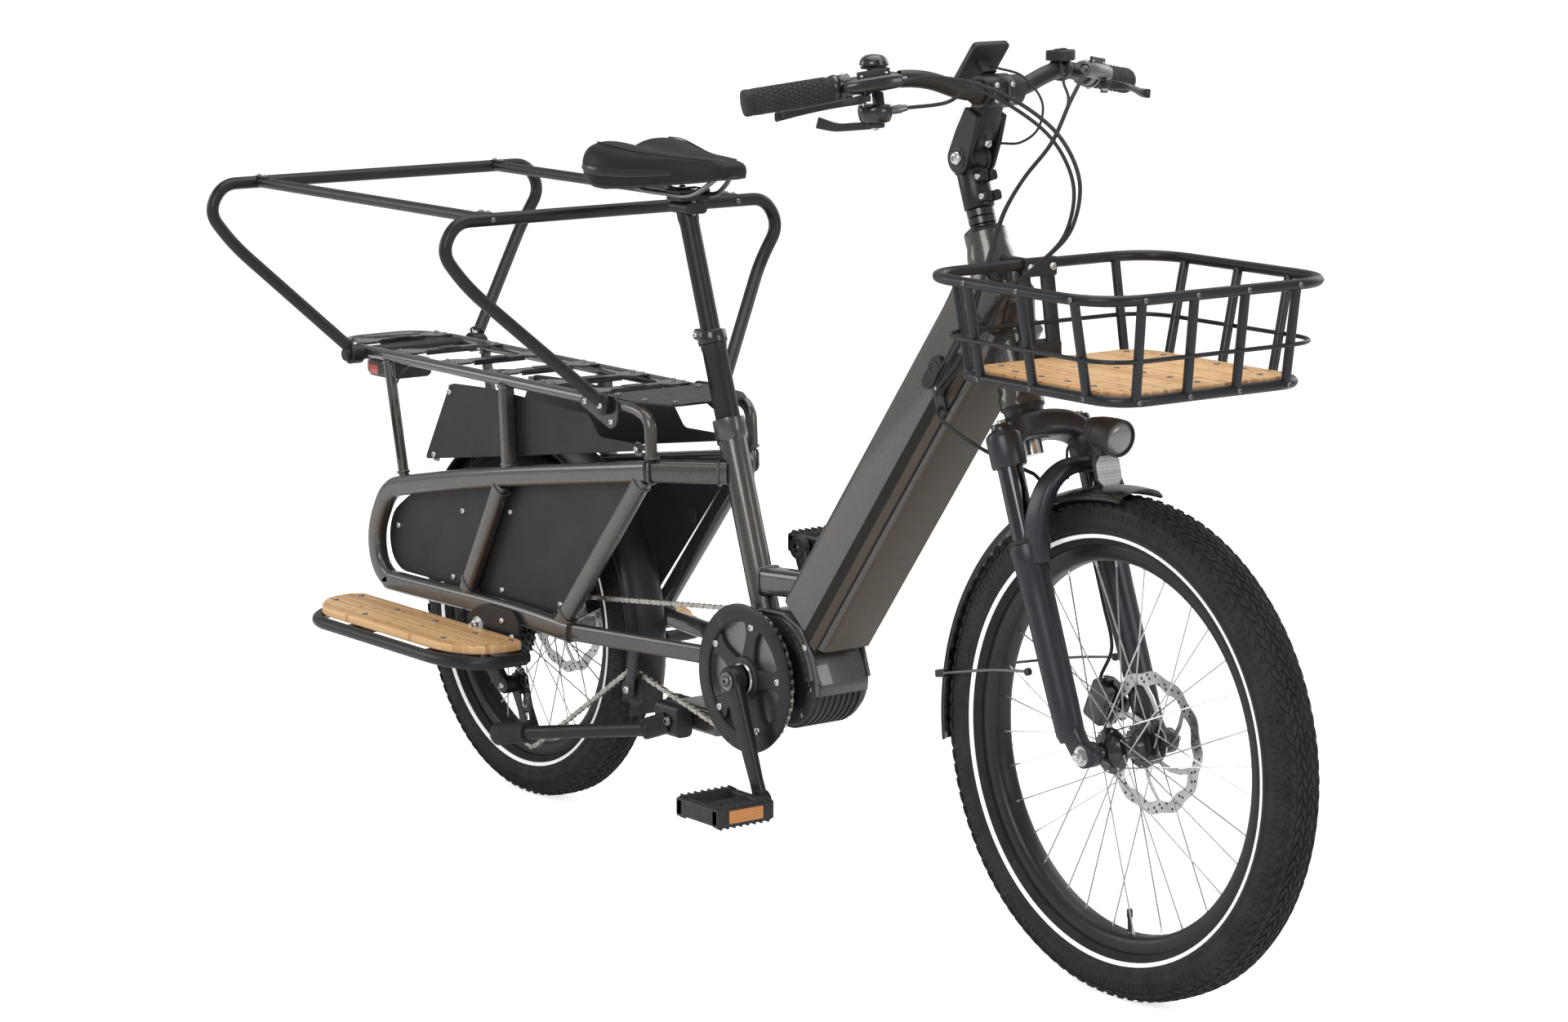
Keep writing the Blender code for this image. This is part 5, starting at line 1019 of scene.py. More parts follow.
def hoop(name, top_x, bulge, foot_x, foot_y, hides):
    right = [Vector((foot_x, -foot_y, RACK_Z)), Vector((top_x + 0.006, -bulge + 0.026, 0.795)),
            Vector((top_x, -bulge - 0.012, 0.846)),
             Vector((top_x, -bulge + 0.012, 0.887)), Vector((top_x, 0, 0.887))]
    corners = right[:-1] + [Vector((p.x, -p.y, p.z)) for p in reversed(right[:-1])]
    path = arcs(corners, [0, 0.034, 0.03, 0.045, 0.045, 0.03, 0.034, 0], 9, False)
    piece(name, "frame", "black_metal", SATIN, pipe(path, 0.0092, 24), hides=hides, sharp=50)


hoop("rear_hoop_tube", -0.4273, 0.286, -0.328, 0.109, ["rear_hoop"])
hoop("front_hoop_tube", 0.1993, 0.28, 0.316, 0.102, ["front_hoop"])
foot = Vector((-0.328, 0, 0.6292))
sleeve = lathe([(-0.1195, 0.0104), (-0.1195, 0.0138), (-0.1182, 0.015), (-0.0998, 0.015), (-0.0985, 0.0138),
        (-0.0985, 0.0104)], foot, Y, 40, True)
piece("rear_hoop_feet", "frame", "black_metal", SATIN, both(sleeve),
      both(bead(ringed((-0.3325, -0.1155, 0.644), Vector((-0.095, -0.15, 0.165)), 0.01), 0.0017)))
foot = Vector((0.316, 0, RACK_Z))
pad = lathe([(-0.1085, 0), (-0.1085, 0.0125), (-0.107, 0.0145), (-0.099, 0.0145), (-0.0975, 0.0135),
        (-0.0975, 0)], foot, Y, 40)
piece("front_hoop_feet", "frame", "black_metal", SATIN, both(pad))
wing = slab(arcs([(0.25, 0.626), (0.262, 0.642), (0.336, 0.646), (0.346, 0.634), (0.34, 0.604),
        (0.326, 0.598)], 0.006, 3), (0, -0.0972, 0), 0.0024)
piece("hoop_brackets", "frame", "black_metal", GLOSS, both(wing), bevel=0.0005)
piece("hoop_bolts", "frame", "steel", SILVER,
      both(join(screw((0.316, -0.1085, RACK_Z), -Y, 0.0062), screw((0.266, -0.0984, 0.63), -Y, 0.0048),
      screw((0.329, -0.0984, 0.609), -Y, 0.0048))),
      both(screw((-0.328, -0.109, 0.6442), (0, 0, 1), 0.0042)))
for side, word in ((-1, "right"), (1, "left")):
    a, b = Vector((-0.4273, side * 0.212, 0.887)), Vector((0.1993, side * 0.212, 0.887))
    saddle_end = [slab(rounded(0.03, 0.012, 0.004), end + X * s * 0.012 + Z * 0.0082, 0.003, X, Y) for end,
            s in ((a, 1), (b, -1))]
    piece("railing_" + word, "frame", "black_metal", SATIN, rod(a + X * 0.0088, b - X * 0.0088, 0.008, 24),
            hides=["railing_bar_" + word])
    piece("railing_tabs_" + word, "frame", "black_metal", SATIN, *saddle_end, bevel=0.0008)
    piece("railing_bolts_" + word, "frame", "steel", GREYS, *[screw(end + X * s * (0.012 + j) + Z * 0.0096, Z,
            0.0036) for end, s in ((a, 1), (b, -1)) for j in (-0.009, 0.009)],
          *[screw(end + X * s * -0.0093, X * -s, 0.004) for end, s in ((a, 1), (b, -1))])


# ------------------------------------------------------------------ mudguards and tail light
def guard(name, body, axle, radius, half, start, end, hides):
    path = [axle + Vector((cos(radians(start + (end - start) * k / 60)), 0,
            sin(radians(start + (end - start) * k / 60)))) * radius for k in range(61)]
    ys = [-1, -0.94, -0.8, -0.55, -0.28, 0, 0.28, 0.55, 0.8, 0.94, 1]
    rise = [-0.0125, -0.0085, -0.0042, -0.0012, 0.0, 0.0006, 0.0, -0.0012, -0.0042, -0.0085, -0.0125]
    section = [(y * half, -z) for y, z in zip(ys, rise)] + [(y * half * 0.955, -z + 0.002) for y,
            z in reversed(list(zip(ys, rise)))]
    turned = sweep(path, section, Y)
    piece(name, body, "black_plastic", SATIN if name == "rear_guard" else GLOSS, turned, hides=hides,
            sharp=40)
    lip = [sweep([p + Vector((0, s * half * 0.985, 0)) + (axle - p).normalized() * 0.0118 for p in path],
            circle(0.0016, 8), Y) for s in (-1, 1)]
    piece(name + "_lips", body, "black_plastic", PLASTIC, *lip)


guard("rear_guard", "frame", REAR_AXLE, 0.286, 0.034, -16, 165, ["rear_mudguard"])
guard("front_guard", "fork_legs", FRONT_AXLE, 0.3275, 0.036, 87, 188, ["front_mudguard"])
piece("rear_guard_flap", "frame", "rubber", RUBBER, bar((0.2755, 0, 0.2), (0.2735, 0, 0.169), 0.058, 0.0022,
        0.001), sharp=50)
stay = [pipe(smooth([(0.974, -0.035, 0.358), (1.04, -0.046, 0.374), (1.12, -0.062, 0.392),
        (1.19, -0.072, 0.4035)], 5), 0.0019, 10)]
piece("front_stays", "fork_legs", "steel", GREYS, both(join(*stay)))
piece("front_stay_mounts", "fork_legs", "black_plastic", PLASTIC,
      both(join(bar((0.985, -0.032, 0.36), (0.968, -0.034, 0.357), 0.012, 0.01, 0.002),
      lathe([(0, 0), (0, 0.005), (0.006, 0.005), (0.006, 0)], (1.19, -0.07, 0.4035), -Y, 16))),
      bevel=0.0006)

tail = Vector((-0.377, 0, 0.5955))
piece("tail_housing", "frame", "red_lens", PLASTIC, bar(tail + X * 0.034, tail - X * 0.024, 0.078, 0.03,
        0.0095, Y, 5),
      bar((-0.345, 0, 0.616), (-0.345, 0, 0.604), 0.018, 0.016, 0.003, Y), hides=["tail_light"], bevel=0.0012)
piece("tail_lens", "frame", "red_lens", RED, sweep([tail - X * 0.0236, tail - X * 0.031, tail - X * 0.0346],
        rounded(0.075, 0.027, 0.0085, 5), Y,
                                                    scale=lambda t: 1 - 0.1 * t * t),
                                                    both(bar(tail + Vector((0.004, -0.0385, -0.003)),
                                                    tail + Vector((-0.02, -0.0385, -0.003)), 0.0024, 0.014,
                                                    0.001)), bevel=0.0008)
piece("tail_reflector", "frame", "red_lens", PRISM, slab(rounded(0.04, 0.012, 0.002),
        tail - X * 0.0352 + Z * 0.001, 0.0014, Y, Z))
piece("tail_wire", "frame", "rubber", RUBBER, pipe(smooth([(-0.338, -0.012, 0.6), (-0.3, -0.03, 0.606),
        (-0.262, -0.07, 0.6), (-0.247, -0.0945, 0.56),
                                                            (-0.228, -0.0955, 0.48)], 8), 0.0016, 10))


# ------------------------------------------------------------------ foot boards
BOARD = [(-0.301, -0.113), (0.122, -0.113), (0.14, -0.124), (0.133, -0.19), (0.077, -0.22), (-0.256, -0.2225),
        (-0.311, -0.172), (-0.314, -0.128)]


def foot_side(side):
    word = "right" if side < 0 else "left"
    outline = arcs(BOARD, [0.012, 0.01, 0.014, 0.03, 0.03, 0.04, 0.022, 0.012], 6)
    plank = slab([(p[0], p[1]) for p in outline], (0, 0, 0.2595), 0.012, X, Y)
    piece("board_" + word, "frame", "bamboo", BAMBOO, side_of(plank, side), hides=["foot_board_" + word],
            bevel=0.002, segments=3)
    spots = [(-0.285, -0.13), (-0.165, -0.142), (0.045, -0.142), (0.118, -0.128), (0.045, -0.196),
            (-0.165, -0.198), (-0.282, -0.176), (-0.06, -0.142)]
    piece("board_screws_" + word, "frame", "steel", GREYS, side_of(join(*[lathe([(0.0, 0.0046),
            (0.001, 0.0042), (0.0012, 0.0024), (0.0004, 0.0022), (0.0004, 0)],
                (x, y, 0.2655), Z, 16) for x, y in spots]), side))
    edge = [(-0.308, -0.124, 0.2435), (-0.308, -0.178, 0.2435), (-0.262, -0.2265, 0.2435),
            (0.086, -0.2265, 0.2435), (0.148, -0.194, 0.2435), (0.149, -0.124, 0.2435)]
    loop = pipe(arcs(edge, [0, 0.045, 0.045, 0.045, 0.045, 0], 8, False), 0.0092, 24)
    ribs = [bar((x, -0.226, 0.245), (x, -0.118, 0.245), 0.028, 0.012, 0.003, X) for x in (-0.165, 0.045)]
    rail = bar((-0.312, -0.126, 0.2442), (0.15, -0.126, 0.2442), 0.022, 0.014, 0.004, Y)
    piece("board_frame_" + word, "frame", "black_metal", SATIN, side_of(join(loop, *ribs, rail), side),
            hides=["foot_frame_" + word], sharp=45)
    hanger = slab(arcs([(-0.03, 0.24), (0.105, 0.24), (0.105, 0.286), (0.09, 0.3), (0.01, 0.3),
            (-0.03, 0.278)], [0.002, 0.002, 0.008, 0.008, 0.01, 0.008], 4),
                  (0, -0.103, 0), 0.005)
    shelf = bar((-0.03, -0.108, 0.2435), (0.105, -0.108, 0.2435), 0.018, 0.006, 0.001, Y)
    piece("board_hanger_" + word, "frame", "black_metal", SATIN, side_of(join(hanger, shelf), side),
            bevel=0.0008)
    nuts = [lathe([(0, 0.0135), (0.0016, 0.0135), (0.0016, 0.01)], (0.0, -0.1055, 0.2655), -Y, 32),
            nut((0.0, -0.1068, 0.2655), -Y, 0.009, 0.0085),
            lathe([(0, 0.0048), (0.0135, 0.0048), (0.0142, 0.004), (0.0142, 0)], (0.0, -0.1068, 0.2655), -Y,
            24),
            screw((0.062, -0.1055, 0.282), -Y, 0.005), screw((0.088, -0.1055, 0.262), -Y, 0.005)]
    piece("axle_nuts_" + word, "frame", "steel", SILVER, side_of(join(*nuts), side), sharp=35)


foot_side(-1)
foot_side(1)


# ------------------------------------------------------------------ drive


def wrap(stations):
    """The closed line of a chain round wheels, each (centre, radius, turn sense), as pitch points."""
    lines = []
    count = len(stations)
    for k in range(count):
        (a, ra, sa), (b, rb, sb) = stations[k], stations[(k + 1) % count]
        gap = Vector((b.x - a.x, 0, b.z - a.z))
        angle = atan2(gap.z, gap.x) - pi / 2 + asin((ra * sa - rb * sb) / gap.length)
        out = Vector((cos(angle), 0, sin(angle)))
        lines.append((a + out * ra * sa, b + out * rb * sb))
    points = []
    for k in range(count):
        centre, r, sense = stations[k]
        start, end = lines[k - 1][1], lines[k][0]
        t0 = atan2(start.z - centre.z, start.x - centre.x)
        t1 = atan2(end.z - centre.z, end.x - centre.x)
        sweep_by = (t1 - t0) % (2 * pi) if sense > 0 else -((t0 - t1) % (2 * pi))
        n = max(2, int(abs(sweep_by) / 0.1))
        points += [centre + Vector((cos(t0 + sweep_by * j / n), 0, sin(t0 + sweep_by * j / n))) * r
                for j in range(n + 1)]
    return points


def chain():
    path = wrap([(CRANK_AXLE + Vector((0, CHAIN_Y, 0)), 0.0938, 1),
            (REAR_AXLE + Vector((0, CHAIN_Y, 0)), 0.0453, 1),
                 (GUIDE_AT, 0.0203, -1), (TENSION_AT, 0.0203, 1), (IDLER_AT, 0.0263, -1)])
    path = [Vector((p.x, CHAIN_Y, p.z)) for p in path]
    path.append(path[0])
    run = [0.0]
    for a, b in zip(path, path[1:]):
        run.append(run[-1] + (b - a).length)
    total = run[-1]
    count = int(round(total / 0.0127 / 2)) * 2
    spots, k = [], 0
    for j in range(count):
        want = total * j / count
        while run[k + 1] < want:
            k += 1
        part = (want - run[k]) / max(1e-9, run[k + 1] - run[k])
        spots.append(path[k].lerp(path[k + 1], part))
    plates, rollers = [], []
    for j, (a, b) in enumerate(zip(spots, spots[1:] + spots[:1])):
        way = (b - a).normalized()
        up = Vector((-way.z, 0, way.x))
        outline = []
        for end, s in ((a, -1), (b, 1)):
            for t in range(7):
                turn = (-90 + 30 * t) * s
                swing = radians(turn) if s > 0 else radians(90 + 30 * t)
                outline.append(end + way * (cos(swing) * 0.0036) + up * (sin(swing) * 0.0036))
        outline = outline[:7] + [((a + b) / 2) - up * 0.0024] + outline[7:] + [((a + b) / 2) + up * 0.0024]
        for y in ((-0.0026, 0.0026) if j % 2 else (-0.0017, 0.0017)):
            n = len(outline)
            rim = [p + Y * (y + d) for d in (-0.0004, 0.0004) for p in outline]
            plates.append((rim, [tuple(range(n)), tuple(range(2 * n - 1, n - 1, -1))]
                    + [(i, i + n, (i + 1) % n + n, (i + 1) % n) for i in range(n)]))
        rollers.append(rod(a - Y * 0.0033, a + Y * 0.0033, 0.0017, 8))
        rollers.append(rod(a - Y * 0.0013, a + Y * 0.0013, 0.0034, 10))
    piece("chain_links", "frame", "steel", LINK, *plates, *rollers, hides=["chain"], sharp=40)


chain()


def toothed(centre, y, root, tip, teeth, thick, start=0.0):
    points = []
    for k in range(teeth):
        for part, r in ((0.0, root), (0.2, root), (0.38, tip), (0.58, tip), (0.78, root)):
            turn = start + 2 * pi * (k + part) / teeth
            points.append((cos(turn) * r, sin(turn) * r))
    return slab(points, (centre.x, y, centre.z), thick)


def cranks():
    c = CRANK_AXLE
    at = (c.x, 0, c.z)
    guard_ring = lathe([(-0.0655, 0.08), (-0.0655, 0.1005), (-0.0645, 0.1025), (-0.0628, 0.103),
            (-0.0612, 0.1022), (-0.0606, 0.0935),
                        (-0.0606, 0.08), (-0.0615, 0.0782), (-0.064, 0.0782)], at, Y, 110, True)
    teeth = toothed(c, CHAIN_Y, 0.0885, 0.0968, 46, 0.0022)
    web = lathe([(-0.0606, 0.078), (-0.0606, 0.0892), (-0.052, 0.0892), (-0.052, 0.078)], at, Y, 96, True)
    piece("chainring_guard", "cranks", "black_metal", SATIN, guard_ring, hides=["chainring"], bevel=0.0003)
    arms = []
    for k in range(5):
        turn = 2 * pi * k / 5 + 0.1
        out = Vector((cos(turn), 0, sin(turn)))
        side = Vector((-out.z, 0, out.x))
        outline = [(0.014, 0.015), (0.026, 0.0135), (0.05, 0.0108), (0.064, 0.0115), (0.072, 0.0165),
                (0.083, 0.02)]
        ring = [out * r + side * w for r, w in outline] + [out * r - side * w for r, w in reversed(outline)]
        arms.append(slab([(p.x, p.z) for p in ring], (c.x, -0.059, c.z), 0.0064))
    hub = lathe([(-0.0665, 0.015), (-0.0665, 0.0285), (-0.065, 0.0305), (-0.056, 0.0305), (-0.0535, 0.029),
            (-0.0535, 0.015)], at, Y, 48, True)
    piece("chainring_spider", "cranks", "black_metal", PLASTIC, *arms, hub, bevel=0.0012)
    piece("chainring_teeth", "cranks", "black_metal", GREYS, teeth, web, bevel=0.0003)
    bolts = [screw(c + Vector((cos(2 * pi * k / 5 + 0.1) * 0.0745, -0.0624,
            sin(2 * pi * k / 5 + 0.1) * 0.0745)), -Y, 0.0056, 16) for k in range(5)]
    bolts.append(lathe([(-0.0672, 0.017), (-0.069, 0.018), (-0.069, 0.0212), (-0.0665, 0.0222)], at, Y, 40))
    piece("chainring_bolts", "cranks", "steel", SILVER, *bolts)
    shapes, caps = [], []
    for s in (-1, 1):
        turn = radians(-63 if s < 0 else 117)
        out = Vector((cos(turn), 0, sin(turn)))
        end = c + out * 0.17
        path, wide = [], []
        for k in range(13):
            t = k / 12
            path.append(c + out * (0.17 * t) + Y * s * (0.0825 + 0.0095 * t))
            wide.append(1.22 - 0.46 * t + 0.16 * max(0, t - 0.85) / 0.15)
        shapes.append(sweep(path, rounded(0.0125, 0.029, 0.0052, 4), Y, scale=lambda t,
                w=wide: w[min(12, int(round(t * 12)))]))
        shapes.append(lathe([(s * 0.0715, 0), (s * 0.0715, 0.0185), (s * 0.073, 0.02), (s * 0.089, 0.0195),
                (s * 0.0915, 0.0178), (s * 0.0925, 0)], at, Y, 40))
        shapes.append(lathe([(s * 0.084, 0.0064), (s * 0.084, 0.0138), (s * 0.0852, 0.0152),
                (s * 0.0975, 0.0152), (s * 0.0986, 0.014), (s * 0.0986, 0.0064)],
                            (end.x, 0, end.z), Y, 36, True))
        caps.append(lathe([(s * 0.0925, 0.0128), (s * 0.0935, 0.0132), (s * 0.0948, 0.0118),
                (s * 0.094, 0.0085), (s * 0.0926, 0.0078), (s * 0.0926, 0)], at, Y, 32))
    shapes.append(rod((c.x, -0.092, c.z), (c.x, 0.092, c.z), 0.012, 28))
    piece("crank_arms", "cranks", "black_metal", SATIN, *shapes, hides=["crankset"], sharp=42)
    piece("crank_caps", "cranks", "steel", GREYS, *caps, *[screw((c.x, s * 0.0926, c.z), Y * s, 0.0066)
            for s in (-1, 1)])


cranks()


def pedal(side, centre, hides):
    word = "right" if side < 0 else "left"
    body = "pedal_r" if side < 0 else "pedal_l"
    x, z = centre.x, centre.z
    rails, grips, lights = [], [], []
    for s in (-1, 1):
        rails.append(bar((x + s * 0.0405, side * 0.106, z), (x + s * 0.0405, side * 0.2, z), 0.0125, 0.026,
                0.0035, X))
        for top in (-1, 1):
            grips.append(bar((x + s * 0.0405, side * 0.11, z + top * 0.0131),
                    (x + s * 0.0405, side * 0.196, z + top * 0.0131), 0.0095, 0.0022, 0.0008, X))
            grips += [bar((x + s * 0.035, side * (0.114 + 0.0112 * k), z + top * 0.0144),
                    (x + s * 0.046, side * (0.114 + 0.0112 * k), z + top * 0.0144), 0.0042, 0.0018, 0.0006, Z)
                      for k in range(8)]
        lights.append(slab(rounded(0.056, 0.0175, 0.002), (x + s * 0.0474, side * 0.153, z), 0.0024, Y, Z))
    cross = [bar((x - 0.045, side * y, z), (x + 0.045, side * y, z), w, 0.0245, 0.003, Y) for y,
            w in ((0.113, 0.014), (0.193, 0.014))]
    spine = lathe([(side * 0.106, 0), (side * 0.106, 0.011), (side * 0.118, 0.012), (side * 0.188, 0.0105),
            (side * 0.2, 0.0105), (side * 0.2005, 0)], (x, 0, z), Y, 30)
    piece("pedal_cage_" + word, body, "black_plastic", PLASTIC, *rails, *cross, spine, hides=hides,
            bevel=0.001, sharp=45)
    piece("pedal_tread_" + word, body, "rubber", RUBBER, *grips, sharp=50)
    piece("pedal_reflectors_" + word, body, "black_plastic", ORANGE, *lights, bevel=0.0005)
    piece("pedal_axle_" + word, body, "steel", SILVER,
          lathe([(side * 0.088, 0), (side * 0.088, 0.0055), (side * 0.0985, 0.0055), (side * 0.099, 0.0085),
          (side * 0.1015, 0.0085), (side * 0.102, 0.0055), (side * 0.11, 0.0055), (side * 0.11, 0)],
                (x, 0, z), Y, 24), sharp=35)


pedal(-1, Vector((0.6677, 0, 0.1345)), ["pedal_right"])
pedal(1, Vector((0.5133, 0, 0.4375)), ["pedal_left"])


def cassette():
    c = REAR_AXLE
    at = (c.x, 0, c.z)
    cogs = [(-0.069, 0.0235, 0.0268, 12), (-0.0655, 0.0275, 0.031, 14), (-0.0618, 0.032, 0.0355, 17),
            (-0.0585, 0.0368, 0.0405, 20),
            (CHAIN_Y, 0.0415, 0.0452, 23), (-0.0512, 0.0478, 0.052, 27), (-0.0476, 0.0545, 0.059, 32),
            (-0.0448, 0.0585, 0.0625, 36)]
    rings = [toothed(c, y, r, t, n, 0.0017, 0.17 * k) for k, (y, r, t, n) in enumerate(cogs)]
    core = lathe([(-0.0722, 0.0115), (-0.0722, 0.0195), (-0.07, 0.0215), (-0.0445, 0.03), (-0.0442, 0.0115)],
            at, Y, 48, True)
    lock = lathe([(-0.0738, 0.0115), (-0.0738, 0.0165), (-0.0722, 0.0185), (-0.0712, 0.0185),
            (-0.0712, 0.0115)], at, Y, 40, True)
    piece("cassette_cogs", "sprockets", "steel", GREYS, *rings, hides=["cassette"])
    piece("cassette_core", "sprockets", "black_metal", SATIN, core, sharp=40)
    piece("cassette_lockring", "sprockets", "steel", SILVER, lock, sharp=40)


cassette()


def small_wheel(name, body, centre, root, tip, count, hides):
    at = (centre.x, 0, centre.z)
    ring = toothed(centre, CHAIN_Y, root, tip, count, 0.0022)
    hub = lathe([(CHAIN_Y - 0.0036, 0.004), (CHAIN_Y - 0.0036, root * 0.62), (CHAIN_Y - 0.0022, root * 0.72),
            (CHAIN_Y - 0.001, root * 0.96),
                 (CHAIN_Y + 0.001, root * 0.96), (CHAIN_Y + 0.0022, root * 0.72),
                 (CHAIN_Y + 0.0036, root * 0.62), (CHAIN_Y + 0.0036, 0.004)], at, Y, 40, True)
    piece(name, body, "black_plastic", PLASTIC, ring, hub, hides=hides, sharp=40)
    piece(name + "_bush", body, "steel", GREYS, lathe([(CHAIN_Y - 0.0042, 0.0036), (CHAIN_Y - 0.0042, 0.0062),
            (CHAIN_Y + 0.0042, 0.0062), (CHAIN_Y + 0.0042, 0.0036)], at, Y, 24, True),
          sharp=40)


small_wheel("guide_wheel", "upper_pulley", GUIDE_AT, 0.017, 0.02, 11, ["guide_pulley"])
small_wheel("tension_wheel", "lower_pulley", TENSION_AT, 0.017, 0.02, 11, ["tension_pulley"])
small_wheel("idler_wheel", "idler", IDLER_AT, 0.0228, 0.0258, 14, ["chain_idler"])


def cage():
    plates = []
    for s in (-1, 1):
        y = CHAIN_Y + s * 0.0085
        way = (TENSION_AT - GUIDE_AT).normalized()
        up = Vector((-way.z, 0, way.x))
        outline = []
        for k in range(9):
            turn = radians(90 + 22.5 * k)
            outline.append(GUIDE_AT + way * (cos(turn) * 0.0115) + up * (sin(turn) * 0.0115))
        outline.append(GUIDE_AT.lerp(TENSION_AT, 0.5) - up * 0.0068)
        for k in range(9):
            turn = radians(-90 + 22.5 * k)
            outline.append(TENSION_AT + way * (cos(turn) * 0.0105) + up * (sin(turn) * 0.0105))
        outline.append(GUIDE_AT.lerp(TENSION_AT, 0.5) + up * 0.0068)
        plates.append(slab([(p.x, p.z) for p in outline], (0, y, 0), 0.0024))
    piece("cage_plates", "cage", "black_metal", SATIN, *plates, hides=["derailleur_cage"], bevel=0.0007)
    pins = [lathe([(CHAIN_Y - 0.0105, 0), (CHAIN_Y - 0.0105, 0.0046), (CHAIN_Y - 0.0096, 0.0054),
            (CHAIN_Y - 0.0096, 0.0036), (CHAIN_Y + 0.0096, 0.0036), (CHAIN_Y + 0.0104, 0.005),
            (CHAIN_Y + 0.0104, 0)],
                  (p.x, 0, p.z), Y, 20) for p in (GUIDE_AT, TENSION_AT)]
    piece("cage_pins", "cage", "steel", SILVER, *pins, sharp=40)


cage()
piece("derailleur_body", "frame", "black_metal", SATIN,
      bar((0.001, -0.087, 0.213), (0.022, -0.0785, 0.178), 0.014, 0.029, 0.005, Y),
      lathe([(-0.085, 0), (-0.085, 0.0115), (-0.0835, 0.013), (-0.068, 0.013), (-0.0662, 0.0115),
      (-0.0662, 0)], (GUIDE_AT.x, 0, GUIDE_AT.z), Y, 36),
      lathe([(-0.0965, 0), (-0.0965, 0.0085), (-0.0955, 0.01), (-0.088, 0.011), (-0.0805, 0.011),
      (-0.0805, 0)], (0.001, 0, 0.213), Y, 32),
      bar((-0.022, -0.089, 0.201), (-0.008, -0.088, 0.208), 0.01, 0.012, 0.003), hides=["derailleur"],
      bevel=0.0008, sharp=42)
piece("derailleur_hanger", "frame", "frame_paint", PAINT, slab(arcs([(-0.016, 0.204), (0.013, 0.204),
        (0.014, 0.244), (-0.018, 0.244)], 0.006, 4), (0, -0.0872, 0), 0.008), bevel=0.001)
piece("derailleur_screws", "frame", "steel", SILVER, screw((0.001, -0.0965, 0.213), -Y, 0.0058),
        screw((GUIDE_AT.x, -0.085, GUIDE_AT.z), -Y, 0.0052),
      screw((0.013, -0.0865, 0.195), -Y, 0.0032, 12))
piece("gear_cable_loop", "frame", "rubber", RUBBER,
      pipe(smooth([(-0.0205, -0.0895, 0.201), (-0.052, -0.093, 0.193), (-0.078, -0.095, 0.214),
      (-0.07, -0.0955, 0.262), (-0.04, -0.094, 0.285), (0.01, -0.0925, 0.276), (0.08, -0.0925, 0.276)], 8),
      0.0024, 12))
piece("gear_cable_ferrule", "frame", "steel", GREYS, rod((-0.018, -0.0892, 0.2022), (-0.0265, -0.0902, 0.199),
        0.0034, 14))


# ------------------------------------------------------------------ stand and calipers
def stand():
    p = Vector((0.42, 0, 0.195))
    yoke, legs, feet, bolts = [], [], [], []
    for s in (-1, 1):
        knee = p + Vector((-0.02, s * 0.075, -0.014))
        foot_at = Vector((0.145, s * 0.152, 0.137))
        way = (foot_at - knee).normalized()
        yoke.append(bar(p + Vector((0.018, s * 0.052, 0)), p + Vector((-0.034, s * 0.052, 0)), 0.028, 0.046,
                0.008, Y))
        yoke.append(bar(p + Vector((-0.008, s * 0.06, -0.004)), knee + way * 0.02, 0.024, 0.03, 0.007, Y))
        legs.append(sweep([knee + way * 0.008, knee + way * 0.012, knee + way * 0.03, foot_at - way * 0.03],
                circle(0.0098, 24), Y, scale=lambda t: 1.12 - 0.12 * t))
        feet.append(sweep([foot_at + way * d for d in (-0.035, -0.032, -0.01, 0.01, 0.018, 0.022)],
                circle(0.016, 28), Y,
                          scale=lambda t: (0.88, 0.95, 0.98, 1.05, 1.06, 0.9)[min(5, int(round(t * 5)))]))
        feet.append(bead(ringed(foot_at + way * 0.004, way, 0.016), 0.0012, ripple=0))
        bolts.append(screw((p.x, s * 0.068, p.z), Y * s, 0.007, 18))
    axle = lathe([(-0.062, 0), (-0.062, 0.006), (0.062, 0.006), (0.062, 0)], (p.x, 0, p.z), Y, 24)
    cross = bar(p + Vector((-0.026, -0.04, -0.006)), p + Vector((-0.026, 0.04, -0.006)), 0.016, 0.02, 0.005,
            X)
    piece("stand_yoke", "stand", "black_metal", SATIN, *yoke, axle, cross, hides=["kickstand"], bevel=0.0012,
            sharp=45)
    piece("stand_legs", "stand", "black_metal", SATIN, *legs, sharp=50)
    piece("stand_feet", "stand", "rubber", RUBBER, *feet, sharp=45)
    piece("stand_bolts", "stand", "steel", GREYS, *bolts)


stand()


def caliper(name, body, axle, y, degrees, r, hides):
    turn = radians(degrees)
    out = Vector((cos(turn), 0, sin(turn)))
    side = Vector((-out.z, 0, out.x))
    mid = axle + out * r + Y * y
    cups = []
    for s in (-1, 1):
        cups.append(bar(mid + out * 0.004 - side * 0.0255 + Y * s * 0.0102,
                mid + out * 0.004 + side * 0.0255 + Y * s * 0.0102, 0.0135, 0.034, 0.005, Y))
        cups.append(lathe([(0, 0), (0, 0.0115), (0.0022, 0.0128), (0.004, 0.0128), (0.0048, 0.0112),
                (0.0048, 0)], mid + Y * s * 0.012, Y * s, 28))
    bridge = bar(mid + out * 0.0175 - side * 0.024, mid + out * 0.0175 + side * 0.024, 0.033, 0.009, 0.003, Y)
    foot_bar = bar(mid + out * 0.01 - side * 0.031, mid + out * 0.01 + side * 0.031, 0.012, 0.012, 0.003, Y)
    piece(name + "_body", body, "black_metal", GLOSS, *cups, bridge, foot_bar, hides=hides, bevel=0.0008,
            sharp=42)
    piece(name + "_bolts", body, "steel", SILVER, *[screw(mid + out * 0.022 + side * k, out, 0.0042)
            for k in (-0.017, 0.017)],
          *[screw(mid + out * 0.016 + side * k, out, 0.0046) for k in (-0.027, 0.027)],
          screw(mid + Y * 0.0168, Y, 0.005))


